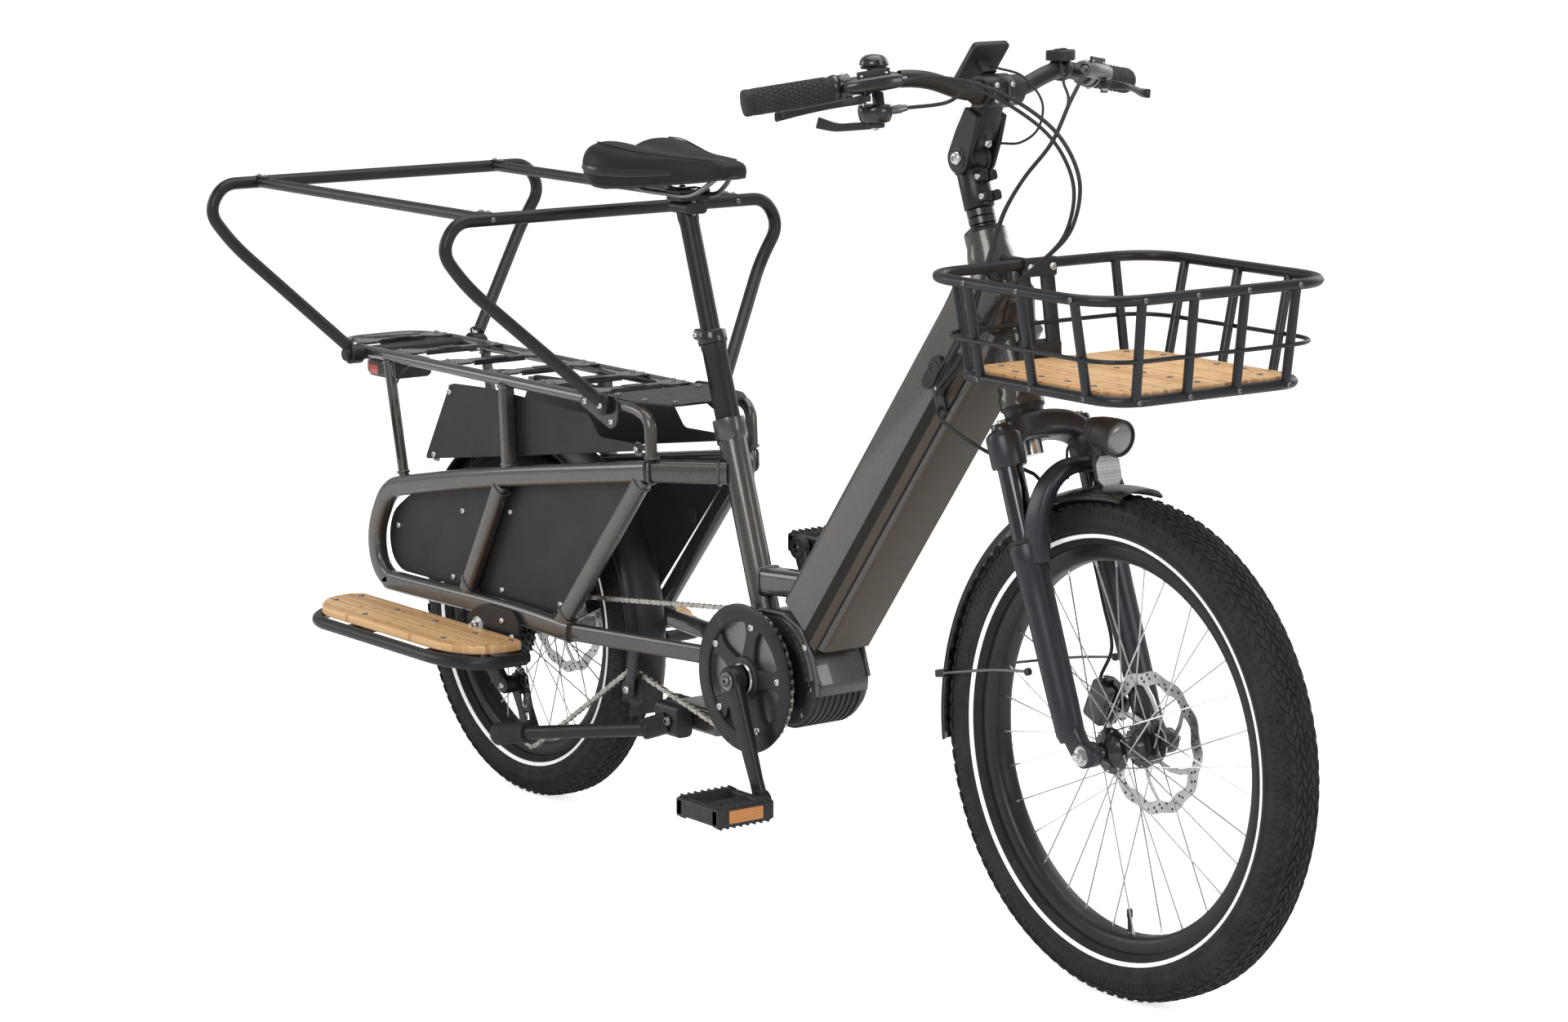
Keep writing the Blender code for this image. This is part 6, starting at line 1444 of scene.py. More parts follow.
caliper("rear_brake", "frame", REAR_AXLE, 0.052, 25, 0.086, ["rear_caliper"])
caliper("front_brake", "fork_legs", FRONT_AXLE, 0.0425, 157, 0.092, ["front_caliper"])


# ------------------------------------------------------------------ seat
def seat():
    up = (POST_TOP - SEAT_TOP).normalized()
    foot_at = SEAT_TOP - up * 0.15
    length = (SLEEVE_TOP - foot_at).length
    sleeve = lathe([(0.0, 0.0139), (0.0, 0.0172), (length - 0.026, 0.0172), (length - 0.025, 0.018),
            (length - 0.019, 0.0184), (length - 0.019, 0.0139)], foot_at, up, 40, True)
    piece("post_sleeve", "seat_tube_sleeve", "black_metal", SATIN, sleeve, hides=["seat_sleeve"], sharp=40)
    collar = lathe([(length - 0.018, 0.014), (length - 0.018, 0.0198), (length - 0.0165, 0.0206),
            (length - 0.002, 0.0206), (length, 0.0196), (length, 0.014)], foot_at, up, 40, True)
    spot = foot_at + up * (length - 0.009)
    lug = bar(spot + Vector((-0.0185, 0, 0)), spot + Vector((-0.033, 0, 0.002)), 0.016, 0.015, 0.003, Y)
    piece("sleeve_clamp", "seat_tube_sleeve", "black_metal", GLOSS, collar, lug, bevel=0.0008, sharp=40)
    piece("sleeve_bolt", "seat_tube_sleeve", "steel", SILVER,
            screw(spot + Vector((-0.0275, -0.0082, 0.001)), -Y, 0.0046),
            nut(spot + Vector((-0.0275, 0.0082, 0.001)), Y, 0.004, 0.0034))
    reach = (POST_TOP - foot_at).length
    post = lathe([(0.02, 0.0), (0.02, 0.0134), (0.022, 0.0137), (reach - 0.014, 0.0137),
            (reach - 0.006, 0.015), (reach + 0.006, 0.015), (reach + 0.01, 0.012), (reach + 0.01, 0)],
            foot_at, up, 40)
    piece("post_tube", "seat", "black_metal", SATIN, post, hides=["seat_post"], sharp=42)
    head = POST_TOP
    parts = [bar(head + Vector((-0.021, 0, 0.01)), head + Vector((0.022, 0, 0.01)), 0.036, 0.016, 0.006, Y)]
    tops = [bar(head + Vector((-0.016, 0, 0.024)), head + Vector((0.018, 0, 0.024)), 0.05, 0.009, 0.003, Y),
            bar(head + Vector((-0.016, 0, 0.0335)), head + Vector((0.018, 0, 0.0335)), 0.052, 0.006, 0.0025,
            Y)]
    piece("post_yoke", "seat", "black_metal", SATIN, *parts, *tops, bevel=0.0012)
    piece("post_bolts", "seat", "steel", SILVER, *[screw(head + Vector((s * 0.013 + 0.001, 0, 0.0365)), Z,
            0.005) for s in (-1, 1)], *[rod(head + Vector((s * 0.013 + 0.001, 0, 0.0)),
            head + Vector((s * 0.013 + 0.001, 0, 0.036)), 0.003, 12) for s in (-1, 1)])
    rail = pipe(smooth([(0.262, -0.03, 0.946), (0.276, -0.0275, 0.933), (0.305, -0.023, 0.9252),
            (0.345, -0.022, 0.925), (0.405, -0.022, 0.9255), (0.438, -0.017, 0.94), (0.462, -0.01, 0.958)],
            6), 0.0035, 14)
    piece("saddle_rails", "seat", "steel", GREYS, both(rail), sharp=50)
    stations = [(0.217, 0.04, 0.96, 0.972, 0.0), (0.2205, 0.06, 0.949, 0.981, 0.01),
            (0.23, 0.077, 0.939, 0.989, 0.013), (0.245, 0.088, 0.932, 0.9925, 0.0125),
                (0.265, 0.0925, 0.929, 0.9925, 0.0105), (0.285, 0.091, 0.928, 0.9905, 0.0085),
                (0.31, 0.083, 0.93, 0.987, 0.007), (0.337, 0.072, 0.933, 0.984, 0.0055),
                (0.365, 0.057, 0.937, 0.982, 0.0045), (0.397, 0.044, 0.942, 0.9805, 0.0035),
                (0.43, 0.035, 0.946, 0.98, 0.002), (0.46, 0.0285, 0.95, 0.979, 0.001),
                (0.48, 0.0235, 0.9535, 0.9765, 0.0), (0.4895, 0.016, 0.957, 0.9725, 0.0)]
    rows = []
    for x, half, low_z, high_z, dip in stations:
        deep = high_z - low_z
        rows.append([Vector((x, half * a, low_z + deep * b - dip * c)) for a, b, c in
                     ((0, 1, 1), (0.14, 1, 0.9), (0.3, 1, 0.25), (0.5, 0.995, 0), (0.72, 0.955, 0),
                     (0.88, 0.86, 0), (0.97, 0.68, 0), (1.0, 0.48, 0), (0.985, 0.26, 0), (0.93, 0.1, 0),
                      (0.84, 0.02, 0), (0.6, 0.0, 0), (0.3, 0.06, 0), (0, 0.08, 0))])
    rows = [row + [Vector((p.x, -p.y, p.z)) for p in reversed(row[1:-1])] for row in rows]
    n = len(rows[0])
    points = [p for row in rows for p in row]
    faces = [(i * n + j, i * n + (j + 1) % n, (i + 1) * n + (j + 1) % n, (i + 1) * n + j)
            for i in range(len(rows) - 1) for j in range(n)]
    faces += [tuple(range(n - 1, -1, -1)), tuple((len(rows) - 1) * n + j for j in range(n))]
    cushion = piece("saddle_skin", "seat", "rubber", SKIN, (points, faces), hides=["saddle"], sharp=180,
            fine=2)
    shell = sweep([(x, 0, low_z + 0.0045) for x, half, low_z, high_z, dip in stations[2:-1]],
            rounded(0.1, 0.008, 0.003, 3), Y)
    half_at = [s[1] for s in stations[2:-1]]
    count = len(shell[0]) // len(half_at)
    fixed = [Vector((p.x, p.y / 0.05 * (half_at[i // count] * 0.9), p.z)) for i, p in enumerate(shell[0])]
    piece("saddle_base", "seat", "black_plastic", PLASTIC, (fixed, shell[1]), bevel=0.0)
    band = []
    for s in (-1, 1):
        line = [Vector((x, s * (half * 0.985 + 0.0005), low_z + (high_z - low_z) * 0.42)) for x, half, low_z,
                high_z, dip in stations[3:10]]
        band.append(sweep(smooth(line, 4), rounded(0.003, 0.012, 0.0014), Y,
                scale=lambda t: 0.45 + 0.55 * sin(pi * min(1, max(0, t))) ** 0.5))
    piece("saddle_inserts", "seat", "black_plastic", GLOSS, *band, sharp=60)
    seam = [bead(smooth([Vector((x, s * half * 0.7, low_z + (high_z - low_z) * 0.965)) for x, half, low_z,
            high_z, dip in stations[3:12]], 4), 0.0009, closed=False, ripple=0) for s in (-1, 1)]
    piece("saddle_seams", "seat", "rubber", RUBBER, *seam, sharp=60)


seat()


# ------------------------------------------------------------------ fork
def span(height):
    return (steer(height) - steer(HEAD_LOW)).length * (1 if height >= HEAD_LOW else -1)


def fork():
    tube = lathe([(span(0.385), 0), (span(0.385), 0.0143), (span(HEAD_TOP), 0.0143), (span(HEAD_TOP), 0)],
            steer(HEAD_LOW), STEER_UP, 36)
    piece("steerer_tube", "steering", "alloy", SILVER, tube, hides=["fork_crown"], sharp=40)
    race = lathe([(span(0.402), 0.015), (span(0.402), 0.0262), (span(0.42), 0.0268), (span(0.436), 0.0245),
            (span(0.4485), 0.0262), (span(0.4485), 0.015)], steer(HEAD_LOW), STEER_UP, 44, True)
    crown = []
    path = [steer(0.388, 0.028, -0.0655), steer(0.402, 0.026, -0.06), steer(0.413, 0.022, -0.047),
            steer(0.419, 0.016, -0.028), steer(0.421, 0.012, 0),
            steer(0.419, 0.016, 0.028), steer(0.413, 0.022, 0.047), steer(0.402, 0.026, 0.06),
            steer(0.388, 0.028, 0.0655)]
    crown.append(sweep(smooth(path, 4), rounded(0.04, 0.03, 0.01, 5), STEER_UP.cross(Y),
            scale=lambda t: 0.94 + 0.24 * sin(pi * t)))
    for s in (-1, 1):
        base = steer(0.372, 0.028, s * 0.065)
        up = (steer(0.412, 0.028, s * 0.065) - base).normalized()
        crown.append(lathe([(-0.002, 0.0165), (-0.002, 0.0212), (0.001, 0.0226), (0.036, 0.0226),
                (0.04, 0.0214), (0.044, 0.017), (0.044, 0.012)], base, up, 44))
    piece("crown_casting", "steering", "black_metal", FORK, *crown, race, sharp=50)
    windows = [lathe([(0, 0.008), (0.0014, 0.0076), (0.0016, 0.0062), (0.0004, 0.0054), (0.0004, 0)],
            steer(0.427, 0.026, s * 0.041), STEER_UP * 0.8 + Y * s * 0.6, 28) for s in (-1, 1)]
    piece("crown_windows", "steering", "black_plastic", PLASTIC, *windows)
    caps, tops = [], []
    for s in (-1, 1):
        base = steer(0.412, 0.028, s * 0.065)
        up = (steer(0.43, 0.028, s * 0.065) - base).normalized()
        caps.append(lathe([(0.0, 0.0165), (0.004, 0.016), (0.006, 0.0135), (0.012, 0.013), (0.0135, 0.0115),
                (0.0135, 0)], base, up, 32))
        tops.append(screw(base + up * 0.0138, up, 0.0066, 18))
    piece("leg_caps", "steering", "black_metal", GLOSS, *caps, sharp=42)
    piece("leg_cap_bolts", "steering", "steel", SILVER, *tops)
    legs = [lathe([(0, 0), (0, 0.0162), ((steer(0.402, 0.028, s * 0.065) - steer(0.197, 0.028,
            s * 0.065)).length, 0.0162),
                   ((steer(0.402, 0.028, s * 0.065) - steer(0.197, 0.028, s * 0.065)).length, 0)],
                   steer(0.197, 0.028, s * 0.065),
                  steer(0.402, 0.028, s * 0.065) - steer(0.197, 0.028, s * 0.065), 44) for s in (-1, 1)]
    piece("stanchions", "steering", "black_metal", DARK_CHROME, *legs, sharp=40)


fork()


def lowers():
    shapes, seals, pads = [], [], []
    for s in (-1, 1):
        low, high = steer(0.02, 0.034, s * 0.065), steer(0.272, 0.028, s * 0.065)
        long = (high - low).length
        shapes.append(lathe([(0, 0.0), (0.001, 0.015), (0.01, 0.0182), (0.05, 0.019), (long * 0.72, 0.0202),
                (long - 0.03, 0.0212), (long - 0.026, 0.0226), (long - 0.006, 0.0228), (long - 0.001, 0.0216),
                (long, 0.0166)],
                            low, high - low, 44))
        seals.append(lathe([(long, 0.0166), (long, 0.0205), (long + 0.003, 0.0205), (long + 0.006, 0.0186),
                (long + 0.006, 0.0166)], low, high - low, 40, True))
        hub = Vector((FRONT_AXLE.x, s * 0.0625, FRONT_AXLE.z))
        shapes.append(sweep([low + (high - low).normalized() * 0.045,
                low + (high - low).normalized() * 0.022 - Y * s * 0.001, low.lerp(hub, 0.45),
                hub.lerp(low, 0.18)],
                            rounded(0.0225, 0.035, 0.0085, 5), Y, scale=lambda t: 1.02 - 0.2 * t))
        shapes.append(lathe([(s * 0.0535, 0), (s * 0.0535, 0.0145), (s * 0.0548, 0.0158),
                (s * 0.0735, 0.0158), (s * 0.0752, 0.014), (s * 0.0752, 0)], (FRONT_AXLE.x, 0, FRONT_AXLE.z),
                Y, 36))
        pads.append(lathe([(s * 0.0752, 0.0125), (s * 0.0764, 0.0125), (s * 0.0764, 0.0085), (s * 0.0764, 0)],
                (FRONT_AXLE.x, 0, FRONT_AXLE.z), Y, 28))
        pads.append(nut(Vector((FRONT_AXLE.x, s * 0.0762, FRONT_AXLE.z)), Y * s, 0.0084, 0.0062))
        pads.append(lathe([(0, 0.0045), (0.0108, 0.0045), (0.0116, 0.0036), (0.0116, 0)],
                Vector((FRONT_AXLE.x, s * 0.0762, FRONT_AXLE.z)), Y * s, 20))
    bow = [steer(0.25, 0.04, -0.065), steer(0.3, 0.06, -0.0645), steer(0.334, 0.075, -0.052),
            steer(0.352, 0.083, -0.028), steer(0.3555, 0.0845, 0),
           steer(0.352, 0.083, 0.028), steer(0.334, 0.075, 0.052), steer(0.3, 0.06, 0.0645),
           steer(0.25, 0.04, 0.065)]
    shapes.append(sweep(smooth(bow, 4), rounded(0.03, 0.02, 0.006, 4), X,
            scale=lambda t: 1.22 - 0.36 * sin(pi * t) ** 0.8))
    tab = bar(FRONT_AXLE + Vector((cos(radians(157)) * 0.07, 0.056, sin(radians(157)) * 0.07)),
            FRONT_AXLE + Vector((cos(radians(157)) * 0.118, 0.056, sin(radians(157)) * 0.118)),
              0.01, 0.03, 0.003, Y)
    piece("lower_legs", "fork_legs", "black_metal", FORK, *shapes, tab, hides=["fork_lowers"], sharp=48)
    piece("leg_seals", "fork_legs", "rubber", RUBBER, *seals, sharp=42)
    piece("front_axle_nuts", "fork_legs", "steel", SILVER, *pads, sharp=35)


lowers()


def headlight():
    at = Vector((1.247, 0, 0.7035))
    nose = Vector((cos(radians(6)), 0, -sin(radians(6))))
    shell = lathe([(-0.0285, 0), (-0.0285, 0.0125), (-0.0265, 0.0158), (-0.02, 0.0176), (-0.019, 0.0168),
            (-0.0165, 0.0168), (-0.0155, 0.0188), (-0.0105, 0.02), (-0.0095, 0.019), (-0.007, 0.019),
                   (-0.006, 0.021), (0.012, 0.0234), (0.0245, 0.024), (0.0262, 0.0234), (0.0262, 0.0212),
                   (0.02, 0.0205), (0.02, 0)], at, nose, 56)
    piece("lamp_shell", "fork_legs", "black_plastic", PLASTIC, shell, hides=["headlight"], sharp=40)
    bowl = lathe([(0.003, 0), (0.004, 0.006), (0.008, 0.012), (0.014, 0.017), (0.0204, 0.0204)], at, nose, 48)
    piece("lamp_bowl", "fork_legs", "alloy", MIRROR, bowl, sharp=60)
    glass = lathe([(0.0222, 0.0211), (0.024, 0.0205), (0.0262, 0.015), (0.0272, 0.008), (0.0275, 0), ], at,
            nose, 48)
    piece("lamp_lens", "fork_legs", "black_plastic", GLASS, glass, sharp=60)
    piece("lamp_bulb", "fork_legs", "black_plastic", PRISM, lathe([(0.006, 0), (0.006, 0.0045), (0.01, 0.005),
            (0.013, 0.0035), (0.0138, 0)], at, nose, 24), sharp=60)
    root = steer(0.352, 0.083) + Vector((0.0125, 0, 0.0115))
    hook = pipe(smooth([root - Vector((0.004, 0, 0.01)), root + Vector((0.014, 0, -0.001)),
            at + Vector((-0.024, 0, -0.026)), at + Vector((-0.006, 0, -0.02))], 6), 0.0055, 14)
    side_arms = both(bar(at + Vector((-0.006, -0.015, -0.0235)), at + Vector((0.008, -0.015, -0.016)), 0.0035,
            0.012, 0.001, Y))
    piece("lamp_bracket", "fork_legs", "black_metal", SATIN, hook, side_arms, sharp=50)
    panel = steer(0.325, 0.0985) + Vector((0.024, 0, 0.023))
    up = Vector((-0.26, 0, 1)).normalized()
    plate = [(-0.019, -0.01), (-0.012, -0.019), (0.012, -0.019), (0.019, -0.01), (0.019, 0.01),
            (0.012, 0.019), (-0.012, 0.019), (-0.019, 0.01)]
    piece("front_reflector_case", "fork_legs", "black_plastic", PLASTIC,
            slab([(a * 1.1, b * 1.1) for a, b in plate], panel + X * 0.002, 0.005, Y, up),
            bar(panel - X * 0.001, steer(0.348, 0.083), 0.012, 0.004, 0.0012), bevel=0.001)
    piece("front_reflector", "fork_legs", "black_plastic", PRISM,
            slab(plate, panel + X * 0.0052, 0.0022, Y, up), bevel=0.0004)
    piece("lamp_wire", "fork_legs", "rubber", RUBBER, pipe(smooth([at + Vector((-0.026, 0, -0.006)),
            at + Vector((-0.048, -0.004, -0.022)), root + Vector((-0.03, -0.006, 0.01)),
            steer(0.342, 0.06, -0.004)], 6), 0.0018, 10))


headlight()


# ------------------------------------------------------------------ stem and handlebar
def reach_of(y):
    return abs(y) - 0.13


def ahead_of(y):
    return Vector((1, -0.445 * (1 if y < 0 else -1), 0)) / 1.0945


def bar_at(y, fore=0.0, rise=0.0):
    r = reach_of(y)
    return Vector((1.0025 - 0.445 * r, y, 1.131 - 0.154 * r + rise)) + ahead_of(y) * fore


STEM_PIVOT, BAR_MIDDLE = Vector((0.984, 0, 1.024)), Vector((1.021, 0, 1.11))


def stem():
    top = steer(HEAD_TOP)
    rings, posts = [], []
    for k in range(3):
        a = 0.0105 * k
        rings.append(lathe([(a + 0.0003, 0.0145), (a + 0.0003, 0.0168), (a + 0.0012, 0.0178),
                (a + 0.0092, 0.0178), (a + 0.0101, 0.0168), (a + 0.0101, 0.0145)], top, STEER_UP, 40, True))
    posts.append(lathe([(0.032, 0.0), (0.032, 0.0188), (0.0335, 0.0196), (0.08, 0.0196), (0.083, 0.018),
            (0.0835, 0)], top, STEER_UP, 44))
    neck_low = top + STEER_UP * 0.078
    posts.append(sweep([neck_low, neck_low.lerp(STEM_PIVOT - Z * 0.012, 0.5), STEM_PIVOT - Z * 0.014],
            rounded(0.034, 0.034, 0.01, 5), Y))
    cheeks = both(join(lathe([(0.0107, 0), (0.0107, 0.0178), (0.0118, 0.0187), (0.0166, 0.0187),
            (0.0176, 0.0176), (0.0176, 0)], (STEM_PIVOT.x, 0, STEM_PIVOT.z), Y, 40),
                       bar(STEM_PIVOT + Vector((-0.002, 0.014, -0.024)), STEM_PIVOT + Vector((0, 0.014, 0)),
                       0.0062, 0.026, 0.002, Y)))
    piece("stem_post", "steering", "black_metal", SATIN, *posts, cheeks, hides=["stem_base"], bevel=0.001,
            sharp=45)
    piece("stem_spacers", "steering", "black_metal", GLOSS, *rings, sharp=40)
    lug_at = top + STEER_UP * 0.056
    lugs = [bar(lug_at + Vector((0.015, s * 0.0075, 0.005)) + STEER_UP * d,
            lug_at + Vector((0.031, s * 0.0075, 0.01)) + STEER_UP * d, 0.0115, 0.0135, 0.0045, Y)
            for d in (-0.013, 0.013) for s in (-1, 1)]
    piece("stem_lugs", "steering", "black_metal", SATIN, *lugs, bevel=0.001)
    piece("stem_bolts", "steering", "steel", SILVER, *[screw(lug_at + Vector((0.0235, -0.0133, 0.008))
            + STEER_UP * d, -Y, 0.0046) for d in (-0.013, 0.013)])
    mid = BAR_MIDDLE
    way = (mid - STEM_PIVOT).normalized()
    hub = lathe([(-0.01, 0), (-0.01, 0.0175), (0.01, 0.0175), (0.01, 0)], (STEM_PIVOT.x, 0, STEM_PIVOT.z), Y,
            40)
    arm = sweep([STEM_PIVOT + way * 0.004, STEM_PIVOT + way * 0.02, STEM_PIVOT + way * 0.03,
            STEM_PIVOT + way * 0.052, mid - way * 0.01], rounded(0.036, 0.03, 0.0085, 5), Y,
                scale=lambda t: 0.56 if t < 0.15 else (0.6 if t < 0.26 else (0.96 if t < 0.45 else 1.0)))
    side = Vector((-way.z, 0, way.x))
    round_end = [STEM_PIVOT + way * (cos(radians(a)) * 0.0205) + side * (sin(radians(a)) * 0.0205)
            for a in range(100, 261, 16)]
    outline = round_end + [STEM_PIVOT + way * 0.03 - side * 0.019, STEM_PIVOT + way * 0.066 - side * 0.014,
            STEM_PIVOT + way * 0.066 + side * 0.014, STEM_PIVOT + way * 0.03 + side * 0.019]
    cheek = slab([(p.x, p.z) for p in outline], (0, -0.0218, 0), 0.0064)
    web = bar(STEM_PIVOT + way * 0.03, STEM_PIVOT + way * 0.066, 0.044, 0.029, 0.007, Y)
    piece("stem_arm_cheeks", "cockpit", "black_metal", SATIN, both(cheek), web, bevel=0.0024, segments=3)
    toothed_ring = [lathe([(0, 0.0142), (0.001, 0.0142), (0.001, 0.0112), (0, 0.0112)],
            STEM_PIVOT + Y * s * 0.025, Y * s, 24) for s in (-1, 1)]
    piece("stem_pivot_rings", "cockpit", "black_metal", GLOSS, *toothed_ring)
    piece("stem_pivot_bolts", "cockpit", "steel", SILVER, *[screw(STEM_PIVOT + Y * s * 0.025, Y * s, 0.0092,
            24) for s in (-1, 1)],
          screw(STEM_PIVOT + way * 0.03 - side * 0.0195, X, 0.0056, 18))
    clamp = lathe([(-0.023, 0.016), (-0.023, 0.0205), (-0.0215, 0.0218), (0.0215, 0.0218), (0.023, 0.0205),
            (0.023, 0.016)], (mid.x, 0, mid.z), Y, 48, True)
    piece("stem_arm_body", "cockpit", "black_metal", SATIN, hub, arm, clamp, hides=["stem_arm"], sharp=42)
    front = [bar(mid + Vector((0.02, s * 0.0125, 0.013)), mid + Vector((0.0225, s * 0.0125, -0.013)), 0.011,
            0.006, 0.002, Y) for s in (-1, 1)]
    piece("stem_face", "cockpit", "black_metal", GLOSS, *front, bevel=0.0008)
    piece("stem_face_bolts", "cockpit", "steel", SILVER, *[screw(mid + Vector((0.0245, s * 0.0125, d)), X,
            0.0036, 12) for s in (-1, 1) for d in (-0.0095, 0.0095)],
          )


stem()


def handlebar():
    whole = arcs([BAR_MIDDLE + Y * 0.0001, BAR_MIDDLE - Y * 0.045, bar_at(-0.112, 0.003), bar_at(-0.309)],
            [0, 0.03, 0.06, 0], 9, False)
    half = smooth([Vector(p) for p in whole], 2)
    full = [Vector((p.x, -p.y, p.z)) for p in reversed(half[1:])] + half
    run = [0.0]
    for a, b in zip(full, full[1:]):
        run.append(run[-1] + (b - a).length)
    total = run[-1]
    tube = sweep(full, circle(0.0111, 30), Z, scale=lambda t: 1.0 + 0.43 * max(0,
            min(1, (0.062 - abs(t - 0.5) * total) / 0.026)))
    piece("bar_tube", "cockpit", "black_metal", BRONZE, tube, hides=["handlebar"], sharp=60)


handlebar()


def grip(side, hides):
    word = "right" if side < 0 else "left"
    a, b = bar_at(side * 0.209), bar_at(side * 0.315)
    way = (b - a).normalized()
    long = (b - a).length
    core = lathe([(0.0, 0.0113), (0.0, 0.0158), (0.001, 0.0166), (0.0055, 0.0168), (0.0065, 0.0156),
            (long - 0.01, 0.0158), (long - 0.009, 0.0168), (long - 0.002, 0.0168), (long, 0.0156),
                  (long + 0.0012, 0.0105), (long + 0.0012, 0)], a, way, 44)
    points, faces = [], []
    u = way.orthogonal().normalized()
    v = way.cross(u)
    rows, round_count = 15, 16
    step = (long - 0.024) / rows
    for i in range(rows):
        for j in range(round_count):
            turn = 2 * pi * (j + 0.5 * (i % 2)) / round_count
            middle = 0.012 + step * (i + 0.5)
            for level, size in ((0.0155, 1.0), (0.01685, 0.62)):
                for da, db in ((-1, 0), (0, -1), (1, 0), (0, 1)):
                    t = turn + db * size * 0.88 * pi / round_count
                    points.append(a + way * (middle + da * size * step * 0.82) + u * (cos(t) * level) + v
                            * (sin(t) * level))
            s = (i * round_count + j) * 8
            faces += [(s + 4, s + 5, s + 6, s + 7)] + [(s + k, s + (k + 1) % 4, s + 4 + (k + 1) % 4,
                    s + 4 + k) for k in range(4)]
    piece("grip_core_" + word, "cockpit", "rubber", RUBBER, core, hides=hides, sharp=40)
    piece("grip_pattern_" + word, "cockpit", "rubber", RUBBER, (points, faces), sharp=30)
    ends = [lathe([(d, 0.015), (d, 0.017), (d + 0.0008, 0.0176), (d + 0.0052, 0.0176), (d + 0.006, 0.017),
            (d + 0.006, 0.015)], a, way, 40, True) for d in (-0.003, )]
    piece("grip_ring_" + word, "cockpit", "black_metal", GLOSS, *ends, sharp=42)
    piece("grip_ring_bolt_" + word, "cockpit", "steel", SILVER, screw(a - Z * 0.0176, -Z, 0.003, 12))


grip(-1, ["grip_right"])
grip(1, ["grip_left"])


def brake(side):
    word = "right" if side < 0 else "left"
    y = lambda v: side * v
    way = (bar_at(y(0.21)) - bar_at(y(0.19))).normalized()
    ring = lathe([(0, 0.0113), (0, 0.0152), (0.0012, 0.0162), (0.014, 0.0162), (0.0152, 0.0152),
            (0.0152, 0.0113)], bar_at(y(0.1915)), way, 40, True)
    tank = sweep([bar_at(y(0.14), 0.029, 0.001), bar_at(y(0.146), 0.0305, 0.0018),
            bar_at(y(0.16), 0.031, 0.002), bar_at(y(0.186), 0.031, 0.002), bar_at(y(0.197), 0.03, 0.0012),
            bar_at(y(0.202), 0.0275, 0)],
                 rounded(0.019, 0.02, 0.007, 5), Z, scale=lambda t: 0.62 + 0.42
                 * sin(pi * min(1, max(0.0, 0.18 + 0.66 * t))))
    lid = sweep([bar_at(y(0.152), 0.031, 0.0118), bar_at(y(0.19), 0.031, 0.0118)],
            rounded(0.0155, 0.0034, 0.0015), Z)
    neck = bar(bar_at(y(0.199), 0.013), bar_at(y(0.199), 0.032), 0.0125, 0.0135, 0.004, Z)
    fork_ears = [bar(bar_at(y(0.183), 0.03, d), bar_at(y(0.183), 0.04, d), 0.013, 0.0024, 0.001, Z)
            for d in (-0.0085, -0.0185)]
    piece("brake_body_" + word, "cockpit", "black_metal", GLOSS if side < 0 else GREYS, ring, tank, neck,
            *fork_ears, hides=["brake_mount_" + word], bevel=0.0006, sharp=45)
    piece("brake_lid_" + word, "cockpit", "black_plastic", PLASTIC, lid, bevel=0.0005)
    spot = bar_at(y(0.183), 0.036, -0.0135)
    bolts = [screw(bar_at(y(x), 0.031, 0.0136), Z, 0.0026, 12) for x in (0.1565, 0.1855)]
    bolts += [screw(spot - Z * 0.0062, -Z, 0.004), screw(bar_at(y(0.199), 0.0, 0.016), Z, 0.0034, 12)]
    piece("brake_bolts_" + word, "cockpit", "steel", SILVER, *bolts)
    hose = lathe([(0, 0.0052), (0.006, 0.0052), (0.007, 0.0042), (0.013, 0.004), (0.013, 0)],
            bar_at(y(0.144), 0.03, 0.001), -way, 16)
    piece("hose_collar_" + word, "cockpit", "black_metal", GREYS, hose, sharp=42)
    line = [bar_at(y(0.183), 0.036, -0.0135), bar_at(y(0.195), 0.044, -0.0135),
            bar_at(y(0.214), 0.05, -0.0135), bar_at(y(0.24), 0.0485, -0.0145),
            bar_at(y(0.268), 0.044, -0.0165), bar_at(y(0.281), 0.044, -0.0172),
            bar_at(y(0.287), 0.049, -0.0172)]
    blade = sweep(smooth(line, 4), rounded(0.0125, 0.0066, 0.003, 4), Z,
            scale=lambda t: 0.95 - 0.28 * sin(pi * min(1, t * 1.15)) ** 2)
    boss = lathe([(-0.0035, 0.0028), (-0.0035, 0.0074), (-0.0028, 0.0082), (0.0028, 0.0082), (0.0035, 0.0074),
            (0.0035, 0.0028)], spot, Z, 28, True)
    piece("lever_blade_" + word, "lever_" + word, "black_metal", SATIN, blade, boss,
            hides=["brake_lever_" + word], sharp=45)


brake(-1)
brake(1)


